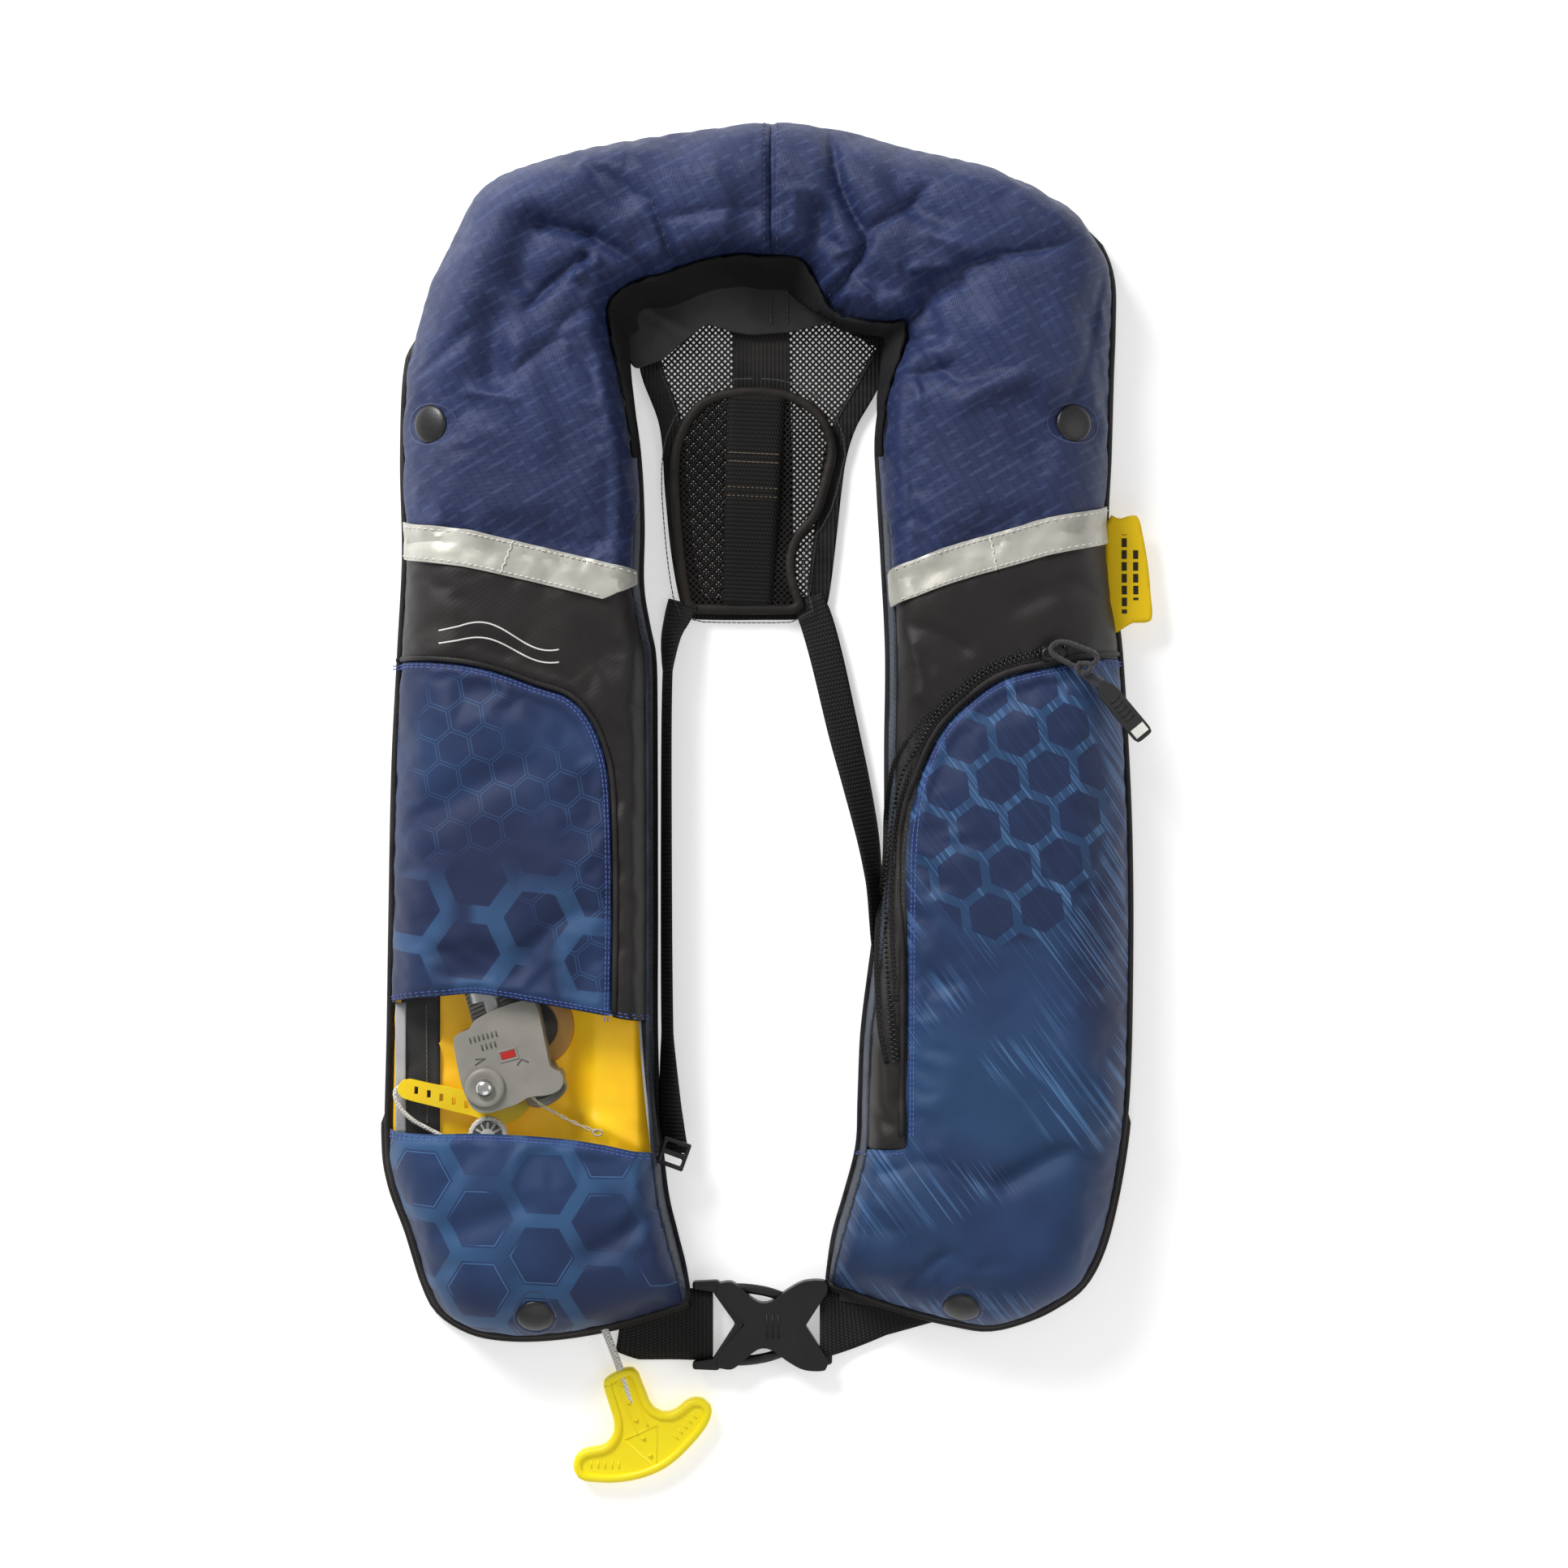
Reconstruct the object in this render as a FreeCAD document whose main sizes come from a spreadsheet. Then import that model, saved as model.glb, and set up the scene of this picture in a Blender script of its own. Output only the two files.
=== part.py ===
import FreeCAD, Part
import math
import os

# Inflatable life jacket, lying flat on its back.  Millimetres, +X across to the lobe with the
# zipped pocket, +Y towards the collar, +Z up from the surface it lies on.  The origin is the centre of
# the jacket's box, on that surface.  Plan positions are measured from the jacket's own axis.

doc = FreeCAD.newDocument("life_jacket")
V = FreeCAD.Vector

# ---------------------------------------------------------------- driving dimensions
DIMENSIONS = {
    # overall
    "jacket_width": 390.0, "jacket_length": 632.0, "lobe_height": 48.0, "fabric_wall": 1.6,
    "back_panel_thick": 2.0, "edge_lift": 6.0, "edge_roll": 34.0, "inner_roll": 7.0,
    # plan outline
    "shoulder_inset": 46.0, "shoulder_drop": 34.0, "shoulder_radius": 58.0, "upper_arm_inset": 9.0,
    "upper_arm_drop": 123.0, "hem_corner_rise": 98.0, "hem_bevel_side": 20.0,
    "hem_bevel_rise": 22.0, "hem_bevel_run": 56.0, "hem_rise": 24.5, "hem_radius": 26.0,
    "crown_rise": 8.0, "crown_radius": 240.0,
    # opening between the lobes
    "collar_depth": 71.0, "neck_top_half": 27.0, "neck_half": 73.5, "neck_drop": 30.0,
    "throat_half": 65.0, "throat_drop": 70.0, "chest_gap_half": 61.0, "waist_gap_half": 57.0,
    "belly_gap_half": 51.0, "hem_gap_half": 39.5,
    # fabric seams
    "tape_left_inner": 238.0, "tape_left_rise": 29.0, "tape_right_inner": 247.0,
    "tape_right_rise": 46.0, "tape_width": 19.0, "tape_thick": 0.8,
    "pocket_top_drop": 281.0, "pocket_inner_margin": 18.0, "pocket_corner": 76.0,
    "window_top_rise": 172.0, "window_bottom_rise": 106.0, "piping_width": 2.4,
    "piping_proud": 1.8, "edge_piping_size": 2.4, "edge_piping_tall": 4.8,
    "lining_thick": 2.6, "facing_reach": 38.0, "facing_thick": 1.6,
    # zip
    "zip_top_drop": 277.0, "zip_margin": 11.0, "zip_radius": 86.0, "zip_bottom_rise": 139.0,
    "zip_end_rise": 101.0, "zip_tape_width": 12.0, "zip_tape_thick": 0.6, "zip_chain_width": 4.2,
    "zip_chain_proud": 2.2, "slider_length": 11.0, "slider_width": 8.0, "slider_thick": 1.2,
    "slider_clearance": 0.3, "pull_cord_thick": 2.6, "pull_tag_length": 37.0,
    "pull_tag_width": 10.5, "pull_tag_thick": 2.6,
    # warning tag and snaps
    "tag_reach": 8.4, "tag_length": 54.0, "tag_inside": 7.0, "tag_thick": 0.8, "tag_drop": 210.0,
    "snap_diameter": 19.5, "snap_thick": 2.6, "snap_post": 5.0, "snap_socket": 13.0,
    "snap_socket_thick": 2.0, "snap_edge_margin": 22.0, "snap_collar_drop": 160.0,
    "snap_hem_rise": 21.0, "snap_hem_side": 76.0,
    # yoke and back flap
    "yoke_shift": -5.0, "yoke_top_half": 62.0, "yoke_waist_half": 47.0, "yoke_bottom_half": 40.0,
    "yoke_bottom_drop": 257.0, "yoke_border": 13.0, "yoke_thick": 3.0, "mesh_thick": 1.2,
    "yoke_strip_width": 30.0, "flap_half_top": 43.0, "flap_half_bottom": 32.0,
    "flap_top_drop": 136.0, "flap_thick": 4.0, "flap_gap": 0.4, "flap_binding_width": 5.0,
    "flap_webbing_width": 29.0, "flap_webbing_thick": 1.8,
    # straps and belt
    "strap_width": 20.0, "strap_thick": 1.6, "strap_tilt": 62.0, "strap_side": 47.5,
    "strap_lift": 4.4, "strap_bottom_rise": 88.0, "strap_run": 150.0, "adjuster_length": 14.0,
    "adjuster_margin": 3.5, "adjuster_thick": 5.2, "adjuster_rise": 92.0,
    "belt_width": 38.0, "belt_thick": 2.0, "belt_drop": 14.0, "belt_lift": 0.4,
    "belt_channel": 3.4, "belt_reach_left": 74.0, "belt_reach_right": 98.0,
    "belt_fold_side": 36.0, "belt_fold_width": 15.0, "belt_travel": 28.0,
    "sleeve_wall": 1.6, "plug_channel": 11.2,
    # buckle
    "buckle_width": 46.0, "buckle_thick": 10.0, "buckle_bar": 13.0, "socket_length": 48.0,
    "socket_wall": 2.0, "prong_length": 34.0, "prong_width": 7.0, "prong_thick": 4.4,
    "prong_gap": 0.4, "buckle_centre": 2.0,
    # bladder and inflator
    "bladder_margin": 9.0, "bladder_top": 40.0, "bladder_low_top": 11.0,
    "bladder_hem_margin": 36.0, "bladder_left_margin": 52.0,
    "inflator_tilt": 15.0, "inflator_side": 143.0, "inflator_rise": 132.0,
    "housing_width": 46.0, "housing_length": 42.0, "housing_bottom": 18.0,
    "housing_top": 40.0, "housing_left": 9.0, "housing_below": 12.0, "housing_round": 5.0,
    "neck_width": 34.0, "neck_length": 14.0, "chamber_radius": 5.5, "pin_clearance": 0.05,
    "pin_collar": 6.0, "pin_point": 1.5, "pin_point_length": 18.0, "cylinder_radius": 11.0,
    "cylinder_length": 104.0, "flange_radius": 26.0, "flange_thick": 1.4, "stem_radius": 7.5,
    "lever_length": 43.0, "lever_width": 8.4, "lever_bottom": 12.8, "lever_thick": 4.8,
    "lever_hub": 8.5, "lever_slots": 5.0, "lever_slot_pitch": 6.4, "ball_radius": 4.6,
    "boss_radius": 9.4, "boss_proud": 1.6, "indicator_length": 7.6, "indicator_width": 3.8,
    "indicator_travel": 4.0, "cap_nut_radius": 7.0,
    "oral_radius": 6.5, "oral_length": 48.0, "oral_side": 142.0, "oral_level": 29.0,
    "oral_cap_radius": 10.0, "oral_cap_length": 11.0, "oral_rise": 104.0,
    # pull cord and handle
    "cord_diameter": 4.0, "cord_exit_side": 83.0, "cord_level": 5.4, "grommet_radius": 2.9,
    "grommet_hole": 2.5, "grommet_length": 6.0, "lever_cord_diameter": 2.4,
    "string_diameter": 0.9, "handle_thick": 8.0, "handle_span": 62.0, "handle_bow": 33.0,
    "handle_stem": 16.0, "cord_in_handle": 10.0,
}

sheet = doc.addObject("Spreadsheet::Sheet", "Dims")
for row, (alias, value) in enumerate(DIMENSIONS.items(), start=1):
    sheet.set(f"A{row}", alias)
    sheet.set(f"B{row}", str(value))
    sheet.setAlias(f"B{row}", alias)
doc.recompute()


def dim(alias):
    return float(sheet.get(alias))


# ---------------------------------------------------------------- shared places
AXIS_X = -(dim("tag_reach") - dim("edge_piping_size")) / 2
HALF_WIDTH = dim("jacket_width") / 2
BUCKLE_DROP = dim("belt_drop") + (dim("buckle_width") - dim("belt_width")) / 2
CROWN_SLOPE = math.atan2(dim("crown_rise") + dim("shoulder_drop"), HALF_WIDTH - dim("shoulder_inset"))
CROWN_FALL = dim("crown_radius") * (1 / math.cos(CROWN_SLOPE) - 1) - dim("crown_rise")
TOP = (dim("jacket_length") + BUCKLE_DROP + CROWN_FALL - dim("edge_piping_size")) / 2
HEM = TOP - dim("jacket_length")
HEIGHT = dim("lobe_height")
WALL = dim("fabric_wall")
FLOOR = dim("back_panel_thick")
NECK_TOP = TOP - dim("collar_depth")
FAR = 900.0
NODES = {}


def at(x, y, z=0.0):
    """A point in the row frame from a plan position measured from the jacket's axis."""
    return V(x + AXIS_X, y, z)


def keep(label, obj):
    """Registers a document object as the sub-part with this label."""
    obj.Label = label
    NODES[label] = obj
    return obj


def feature(label, shape, place=None):
    """A sub-part whose shape comes from Part functions, with its own Placement."""
    obj = doc.addObject("Part::Feature", label + "_shape")
    obj.Shape = shape
    obj.Placement = place or FreeCAD.Placement()
    return keep(label, obj)


def bound(kind, name, sizes, base, rotation=None):
    """A Part primitive whose sizes are bound to the sheet, at a place in the row frame."""
    obj = doc.addObject(kind, name)
    for prop, expression in sizes.items():
        obj.setExpression(prop, expression)
    obj.Placement = FreeCAD.Placement(base, rotation or FreeCAD.Rotation())
    return obj


def disc(name, radius, height, base, rotation=None):
    return bound("Part::Cylinder", name, {"Radius": radius, "Height": height}, base, rotation)


def block(name, length, width, height, base, rotation=None):
    sizes = {"Length": length, "Width": width, "Height": height}
    return bound("Part::Box", name, sizes, base, rotation)


def cut(name, base, tool):
    obj = doc.addObject("Part::Cut", name)
    obj.Base = base
    obj.Tool = tool
    return obj


def fuse(name, *shapes):
    obj = doc.addObject("Part::MultiFuse", name)
    obj.Shapes = list(shapes)
    obj.Refine = True
    return obj


# ---------------------------------------------------------------- plan geometry
def outline(corners, inset=0.0, z=0.0):
    """Closed wire of straight sides and tangent arcs through (x, y, radius) corners, given
    counter-clockwise, with every side moved inwards by inset."""
    count = len(corners)
    points = [V(c[0], c[1], 0) for c in corners]
    heads = [(points[(i + 1) % count] - points[i]).normalize() for i in range(count)]
    normals = [V(-h.y, h.x, 0) for h in heads]
    moved = []
    turns = []
    for i in range(count):
        before, after = heads[i - 1], heads[i]
        turn = math.atan2(before.x * after.y - before.y * after.x, before.dot(after))
        bisector = (normals[i - 1] + normals[i]).normalize()
        moved.append(points[i] + bisector * (inset / math.cos(turn / 2)))
        turns.append(turn)
    sides = [(moved[(i + 1) % count] - moved[i]).Length for i in range(count)]
    edges = []
    ends = []
    for i in range(count):
        sign = 1 if turns[i] > 0 else -1
        tangent = abs(math.tan(turns[i] / 2))
        radius = max(corners[i][2] - sign * inset, 0.8)
        radius = min(radius, 0.45 * min(sides[i - 1], sides[i]) / tangent)
        length = radius * tangent
        start = moved[i] - heads[i - 1] * length
        end = moved[i] + heads[i] * length
        bisector = (normals[i - 1] + normals[i]).normalize() * sign
        centre = moved[i] + bisector * (radius / math.cos(turns[i] / 2))
        middle = centre - bisector * radius
        ends.append((start, middle, end))
    shift = V(AXIS_X, 0, z)
    for i in range(count):
        start, middle, end = [p + shift for p in ends[i]]
        edges.append(Part.Arc(start, middle, end).toShape())
        edges.append(Part.LineSegment(end, ends[(i + 1) % count][0] + shift).toShape())
    return Part.Wire(edges)


def prism(corners, low, high, inset=0.0):
    face = Part.Face(outline(corners, inset, low))
    return face.extrude(V(0, 0, high - low))


def strip(x_low, y_low, z_low, x_high, y_high, z_high):
    """A box between two corners, in plan positions from the jacket's axis."""
    size = (x_high - x_low, y_high - y_low, z_high - z_low)
    return Part.makeBox(*size, at(x_low, y_low, z_low))


def mirrored(half):
    """A closed counter-clockwise outline from its right half, listed from the bottom up."""
    left = [(-x, y, r) for x, y, r in reversed(half) if abs(x) > 1e-6]
    return half + left


OUTER = mirrored([
    (0.0, HEM + dim("hem_rise"), 5.0),
    (HALF_WIDTH - dim("hem_bevel_run"), HEM, dim("hem_radius")),
    (HALF_WIDTH - dim("hem_bevel_side"), HEM + dim("hem_bevel_rise"), dim("hem_radius")),
    (HALF_WIDTH, HEM + dim("hem_corner_rise"), 110.0),
    (HALF_WIDTH - dim("upper_arm_inset"), TOP - dim("upper_arm_drop"), 150.0),
    (HALF_WIDTH - dim("shoulder_inset"), TOP - dim("shoulder_drop"), dim("shoulder_radius")),
    (0.0, TOP + dim("crown_rise"), dim("crown_radius")),
])

OPENING = mirrored([
    (dim("hem_gap_half") - 4, HEM - 60, 1.0),
    (dim("hem_gap_half"), HEM + 18, 40.0),
    (dim("belly_gap_half"), HEM + 70, 120.0),
    (dim("waist_gap_half"), HEM + 148, 200.0),
    (dim("chest_gap_half"), TOP - 232, 200.0),
    (dim("throat_half"), NECK_TOP - dim("throat_drop"), 60.0),
    (dim("neck_half"), NECK_TOP - dim("neck_drop"), 16.0),
    (dim("neck_top_half"), NECK_TOP, 24.0),
])


def rolled(low, grow=0.0):
    """The filled outer form from z = low up, with a rolled outer edge, grown by grow."""
    lift = dim("edge_lift")
    wires = [outline(OUTER, -grow, low)]
    for degrees in range(0, 91, 15):
        angle = math.radians(degrees)
        inset = dim("edge_roll") * (1 - math.cos(angle)) - grow
        z = lift + (HEIGHT - lift) * math.sin(angle) + grow
        wires.append(outline(OUTER, inset, z))
    return Part.makeLoft(wires, True, True)


def opening_tool(grow=0.0, low=-1.0):
    """The space between the lobes and inside the collar, flared at its top, grown by grow."""
    roll = dim("inner_roll")
    wires = [outline(OPENING, -grow, low)]
    for degrees in (0, 45, 90):
        angle = math.radians(degrees)
        flare = roll * (1 - math.cos(angle)) + grow
        wires.append(outline(OPENING, -flare, HEIGHT - roll + roll * math.sin(angle)))
    wires.append(outline(OPENING, -roll - grow, HEIGHT + 12))
    return Part.makeLoft(wires, True, True)


PIPING_LOW = dim("belt_channel") + dim("sleeve_wall") + 0.2
SKIN_START = PIPING_LOW + dim("edge_piping_tall") + 2


def skin(low, high, mask):
    """A layer that lies on the cover between two heights above it, inside a plan mask."""
    layer = rolled(FLOOR, high).common(mask)
    layer = layer.cut(rolled(FLOOR - 1, low))
    layer = layer.common(strip(-FAR, -FAR, SKIN_START, FAR, FAR, FAR))
    return layer.cut(opening_tool())


def surface_at(distance):
    """Height and outward tilt in degrees of the cover, at a distance from its outer edge."""
    angle = math.acos(1 - min(distance / dim("edge_roll"), 1.0))
    lift = dim("edge_lift")
    z = lift + (HEIGHT - lift) * math.sin(angle)
    slope = (HEIGHT - lift) * math.cos(angle) / (dim("edge_roll") * max(math.sin(angle), 1e-6))
    return z, math.degrees(math.atan(slope))


# ---------------------------------------------------------------- belt channel and shell
BELT_Y = HEM - dim("belt_drop") + dim("belt_width") / 2
CHANNEL_TOP_Y = BELT_Y + dim("belt_width") / 2 + 1
SLEEVE_IN = dim("hem_gap_half") - 10
SLEEVE_OUT = {-1: dim("belt_reach_left") + dim("belt_travel") + 12, 1: dim("belt_reach_right") + 12}
SOCKET_LEFT = dim("buckle_centre") - dim("socket_length") / 2
SOCKET_RIGHT = dim("buckle_centre") + dim("socket_length") / 2
PLUG_FACE = SOCKET_LEFT - 0.4
BUCKLE_LOW = 0.5


def sleeve_block(side, wall):
    """The belt's channel under a lobe, taller on the left where the buckle's plug draws back."""
    x_low, x_high = sorted((side * SLEEVE_IN, side * (SLEEVE_OUT[side] + wall)))
    block_shape = strip(x_low, HEM - 40, -1, x_high, CHANNEL_TOP_Y + wall, dim("belt_channel") + wall)
    if side < 0:
        plug_end = PLUG_FACE - dim("buckle_bar") - dim("belt_travel") - 1 - wall
        plug_top = BELT_Y + dim("buckle_width") / 2 + 1 + wall
        tall = strip(plug_end, HEM - 40, -1, -SLEEVE_IN, plug_top, dim("plug_channel") + wall)
        block_shape = block_shape.fuse(tall).removeSplitter()
    return block_shape


body_form = rolled(0.0).cut(opening_tool())
cavity = rolled(FLOOR, -WALL).cut(opening_tool(WALL, 0.0))
shell = body_form.cut(cavity)
for side in (-1, 1):
    shell = shell.cut(sleeve_block(side, dim("sleeve_wall")))

back_slab = shell.common(strip(-FAR, -FAR, -1, FAR, FAR, FLOOR))
cover = shell.common(strip(-FAR, -FAR, FLOOR, FAR, FAR, FAR))
wall_ring = prism(OPENING, FLOOR, HEIGHT - dim("inner_roll"), -WALL)
inner_wall = cover.common(wall_ring)
cover = cover.cut(wall_ring)


# ---------------------------------------------------------------- seam regions
def tape_line(side):
    """Two points of the reflective tape's centre line, at the opening and at the outer edge."""
    key = "left" if side < 0 else "right"
    inner_y = TOP - dim(f"tape_{key}_inner")
    inner = V(side * dim("throat_half"), inner_y, 0)
    outer = V(side * HALF_WIDTH, inner_y + dim(f"tape_{key}_rise"), 0)
    return inner, outer


def above_tape(side):
    """Everything on one side of the jacket above the middle of its tape."""
    inner, outer = tape_line(side)
    slope = (outer.y - inner.y) / (outer.x - inner.x)
    far_x = side * FAR
    points = [at(0, inner.y - slope * inner.x), at(far_x, inner.y + slope * (far_x - inner.x)),
              at(far_x, FAR), at(0, FAR)]
    face = Part.Face(Part.makePolygon(points + points[:1]))
    solid = face.extrude(V(0, 0, FAR))
    solid.translate(V(0, 0, -1))
    return solid


def tape_mask(side):
    inner, outer = tape_line(side)
    along = (outer - inner).normalize()
    across = V(-along.y, along.x, 0) * (dim("tape_width") / 2)
    start = inner - along * 20
    end = outer + along * 20
    points = [p + V(AXIS_X, 0, 0) for p in (start - across, end - across, end + across, start + across)]
    return Part.Face(Part.makePolygon(points + points[:1])).extrude(V(0, 0, FAR))


WINDOW_TOP = HEM + dim("window_top_rise")
WINDOW_BOTTOM = HEM + dim("window_bottom_rise")
POCKET_X = -(dim("waist_gap_half") + dim("pocket_inner_margin"))
POCKET_TOP = TOP - dim("pocket_top_drop")
LEFT_POCKET = [
    (-FAR, WINDOW_TOP, 1.0), (POCKET_X, WINDOW_TOP, 0.8),
    (POCKET_X, POCKET_TOP, dim("pocket_corner")), (-FAR, POCKET_TOP, 1.0),
]
ZIP_X = dim("waist_gap_half") + dim("zip_margin")
ZIP_TOP = TOP - dim("zip_top_drop")
ZIP_BOTTOM = HEM + dim("zip_bottom_rise")
ZIP_END = HEM + dim("zip_end_rise")
RIGHT_POCKET = [
    (5.0, -FAR, 1.0), (FAR, -FAR, 1.0), (FAR, ZIP_TOP, 1.0), (ZIP_X, ZIP_TOP, dim("zip_radius")),
    (ZIP_X, ZIP_END, 1.0), (5.0, ZIP_END, 1.0),
]
left_half = strip(-FAR, -FAR, -1, 0, FAR, FAR)
right_half = strip(0, -FAR, -1, FAR, FAR, FAR)


def make_cover():
    """Cover panels, cut from one form along their seams so that they meet edge to edge."""
    collar = {-1: above_tape(-1), 1: above_tape(1)}
    left = cover.common(left_half)
    right = cover.common(right_half)
    feature("collar_cover_left", left.common(collar[-1]))
    feature("collar_cover_right", right.common(collar[1]))
    left = left.cut(collar[-1])
    right = right.cut(collar[1])
    pocket = prism(LEFT_POCKET, -1, FAR)
    lower = strip(-FAR, -FAR, -1, 0, WINDOW_BOTTOM, FAR)
    window = strip(-FAR, WINDOW_BOTTOM, -1, 0, WINDOW_TOP, FAR)
    feature("pocket_panel_left", left.common(pocket))
    feature("inflator_window", left.common(window))
    feature("lower_panel_left", left.common(lower))
    feature("chest_panel_left", left.cut(pocket).cut(window).cut(lower))
    pocket_right = prism(RIGHT_POCKET, -1, FAR)
    feature("pocket_panel_right", right.common(pocket_right))
    feature("chest_panel_right", right.cut(pocket_right))


def make_walls_and_back():
    neck_zone = strip(-FAR, NECK_TOP - dim("throat_drop") - 34, -1, FAR, FAR, FAR)
    band = prism(OPENING, 6, HEIGHT - 9).cut(prism(OPENING, 5, HEIGHT, dim("lining_thick")))
    band = band.common(neck_zone).fuse(inner_wall.common(neck_zone)).removeSplitter()
    feature("neck_band", band)
    sides = inner_wall.cut(neck_zone)
    feature("side_gusset_left", sides.common(left_half))
    feature("side_gusset_right", sides.common(right_half))
    collar_zone = strip(-FAR, TOP - dim("tape_left_inner"), -1, FAR, FAR, FAR)
    feature("back_panel_collar", back_slab.common(collar_zone))
    feature("back_panel_left", back_slab.common(left_half).cut(collar_zone))
    feature("back_panel_right", back_slab.common(right_half).cut(collar_zone))
    sleeves = []
    for side in (-1, 1):
        roof = sleeve_block(side, dim("sleeve_wall")).cut(sleeve_block(side, 0))
        sleeves += roof.common(prism(OUTER, 0, HEIGHT)).cut(opening_tool()).Solids
    feature("belt_sleeves", Part.makeCompound(sleeves))


def make_neck_facing():
    """Satin facing inside the collar, from the neck's edge to the top of the yoke."""
    lip = prism(OPENING, 0.0, FLOOR + dim("facing_thick"))
    feature("neck_facing", lip.common(strip(-FAR, YOKE_TOP, -1, FAR, FAR, FAR)))


def make_trims():
    """Edge piping, pocket piping and the reflective tapes."""
    size = dim("edge_piping_size")
    ring = prism(OUTER, PIPING_LOW, PIPING_LOW + dim("edge_piping_tall"), -size)
    ring = ring.cut(prism(OUTER, 0, HEIGHT))
    ring = ring.cut(prism(OPENING, -1, HEIGHT, -2))
    feature("edge_piping", ring)
    half = dim("piping_width") / 2
    clear = strip(-FAR, WINDOW_TOP, -1, 0, FAR, FAR)
    band = prism(LEFT_POCKET, 0, FAR, -half).cut(prism(LEFT_POCKET, -1, FAR + 1, half)).common(clear)
    feature("pocket_piping_left", skin(0, dim("piping_proud"), band))
    tapes = [solid for side in (-1, 1) for solid in skin(0, dim("tape_thick"), tape_mask(side)).Solids]
    feature("reflective_tapes", Part.makeCompound(tapes))


# ---------------------------------------------------------------- zip
ARC_X = ZIP_X + dim("zip_radius")
ARC_Y = ZIP_TOP - dim("zip_radius")


def zip_band(width):
    """Plan region of this width along the zip: up the straight run and round the arc."""
    half = width / 2
    ring = Part.makeCylinder(dim("zip_radius") + half, FAR, at(ARC_X, ARC_Y))
    ring = ring.cut(Part.makeCylinder(dim("zip_radius") - half, FAR, at(ARC_X, ARC_Y)))
    ring = ring.common(strip(-FAR, ARC_Y, -1, ARC_X, FAR, FAR))
    return ring.fuse(strip(ZIP_X - half, ZIP_BOTTOM, 0, ZIP_X + half, ARC_Y, FAR)).removeSplitter()


def make_zip():
    tape = dim("zip_tape_thick")
    feature("zip_tape", skin(0, tape, zip_band(dim("zip_tape_width"))))
    chain = skin(tape, dim("zip_chain_proud"), zip_band(dim("zip_chain_width")))
    width = dim("zip_chain_width") * 1.6
    stop = Part.makeBox(width, 5, dim("zip_chain_proud"), at(ZIP_X - width / 2, ZIP_BOTTOM - 5, HEIGHT))
    feature("zip_chain", Part.makeCompound(chain.Solids + [stop]))


SLIDER_LOW = HEIGHT + dim("zip_tape_thick") + dim("slider_clearance")
SLIDER_TOP = HEIGHT + dim("zip_chain_proud") + dim("slider_clearance") + dim("slider_thick")
BAIL_Z = SLIDER_TOP + 1.6


def make_slider():
    """Slider body that straddles the chain at the top end of the arc, with a bail bridge."""
    x_low = ARC_X - dim("slider_length")
    y_low = ZIP_TOP - dim("slider_width") / 2
    body = block("slider_outer", "Dims.slider_length", "Dims.slider_width",
                 f"{SLIDER_TOP - SLIDER_LOW}", at(x_low, y_low, SLIDER_LOW))
    gap = dim("slider_clearance") + 0.75
    tunnel = block("slider_tunnel", "Dims.slider_length + 4", f"Dims.zip_chain_width + {2 * gap}",
                   f"{SLIDER_TOP - SLIDER_LOW - dim('slider_thick') + 1}",
                   at(x_low - 2, ZIP_TOP - dim("zip_chain_width") / 2 - gap, SLIDER_LOW - 1))
    post = block("slider_bridge", "Dims.slider_length - 5", "2.2", "3.2",
                 at(x_low + 2.5, ZIP_TOP - 1.1, SLIDER_TOP - 0.1))
    hole = disc("slider_eye", "1", "6", at(ARC_X - dim("slider_length") / 2, ZIP_TOP - 3, BAIL_Z),
                FreeCAD.Rotation(V(1, 0, 0), -90))
    keep("zip_slider", cut("slider_done", fuse("slider_solid", cut("slider_u", body, tunnel), post), hole))


PULL_TURN = FreeCAD.Rotation(V(0, 0, 1), -47)


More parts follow.
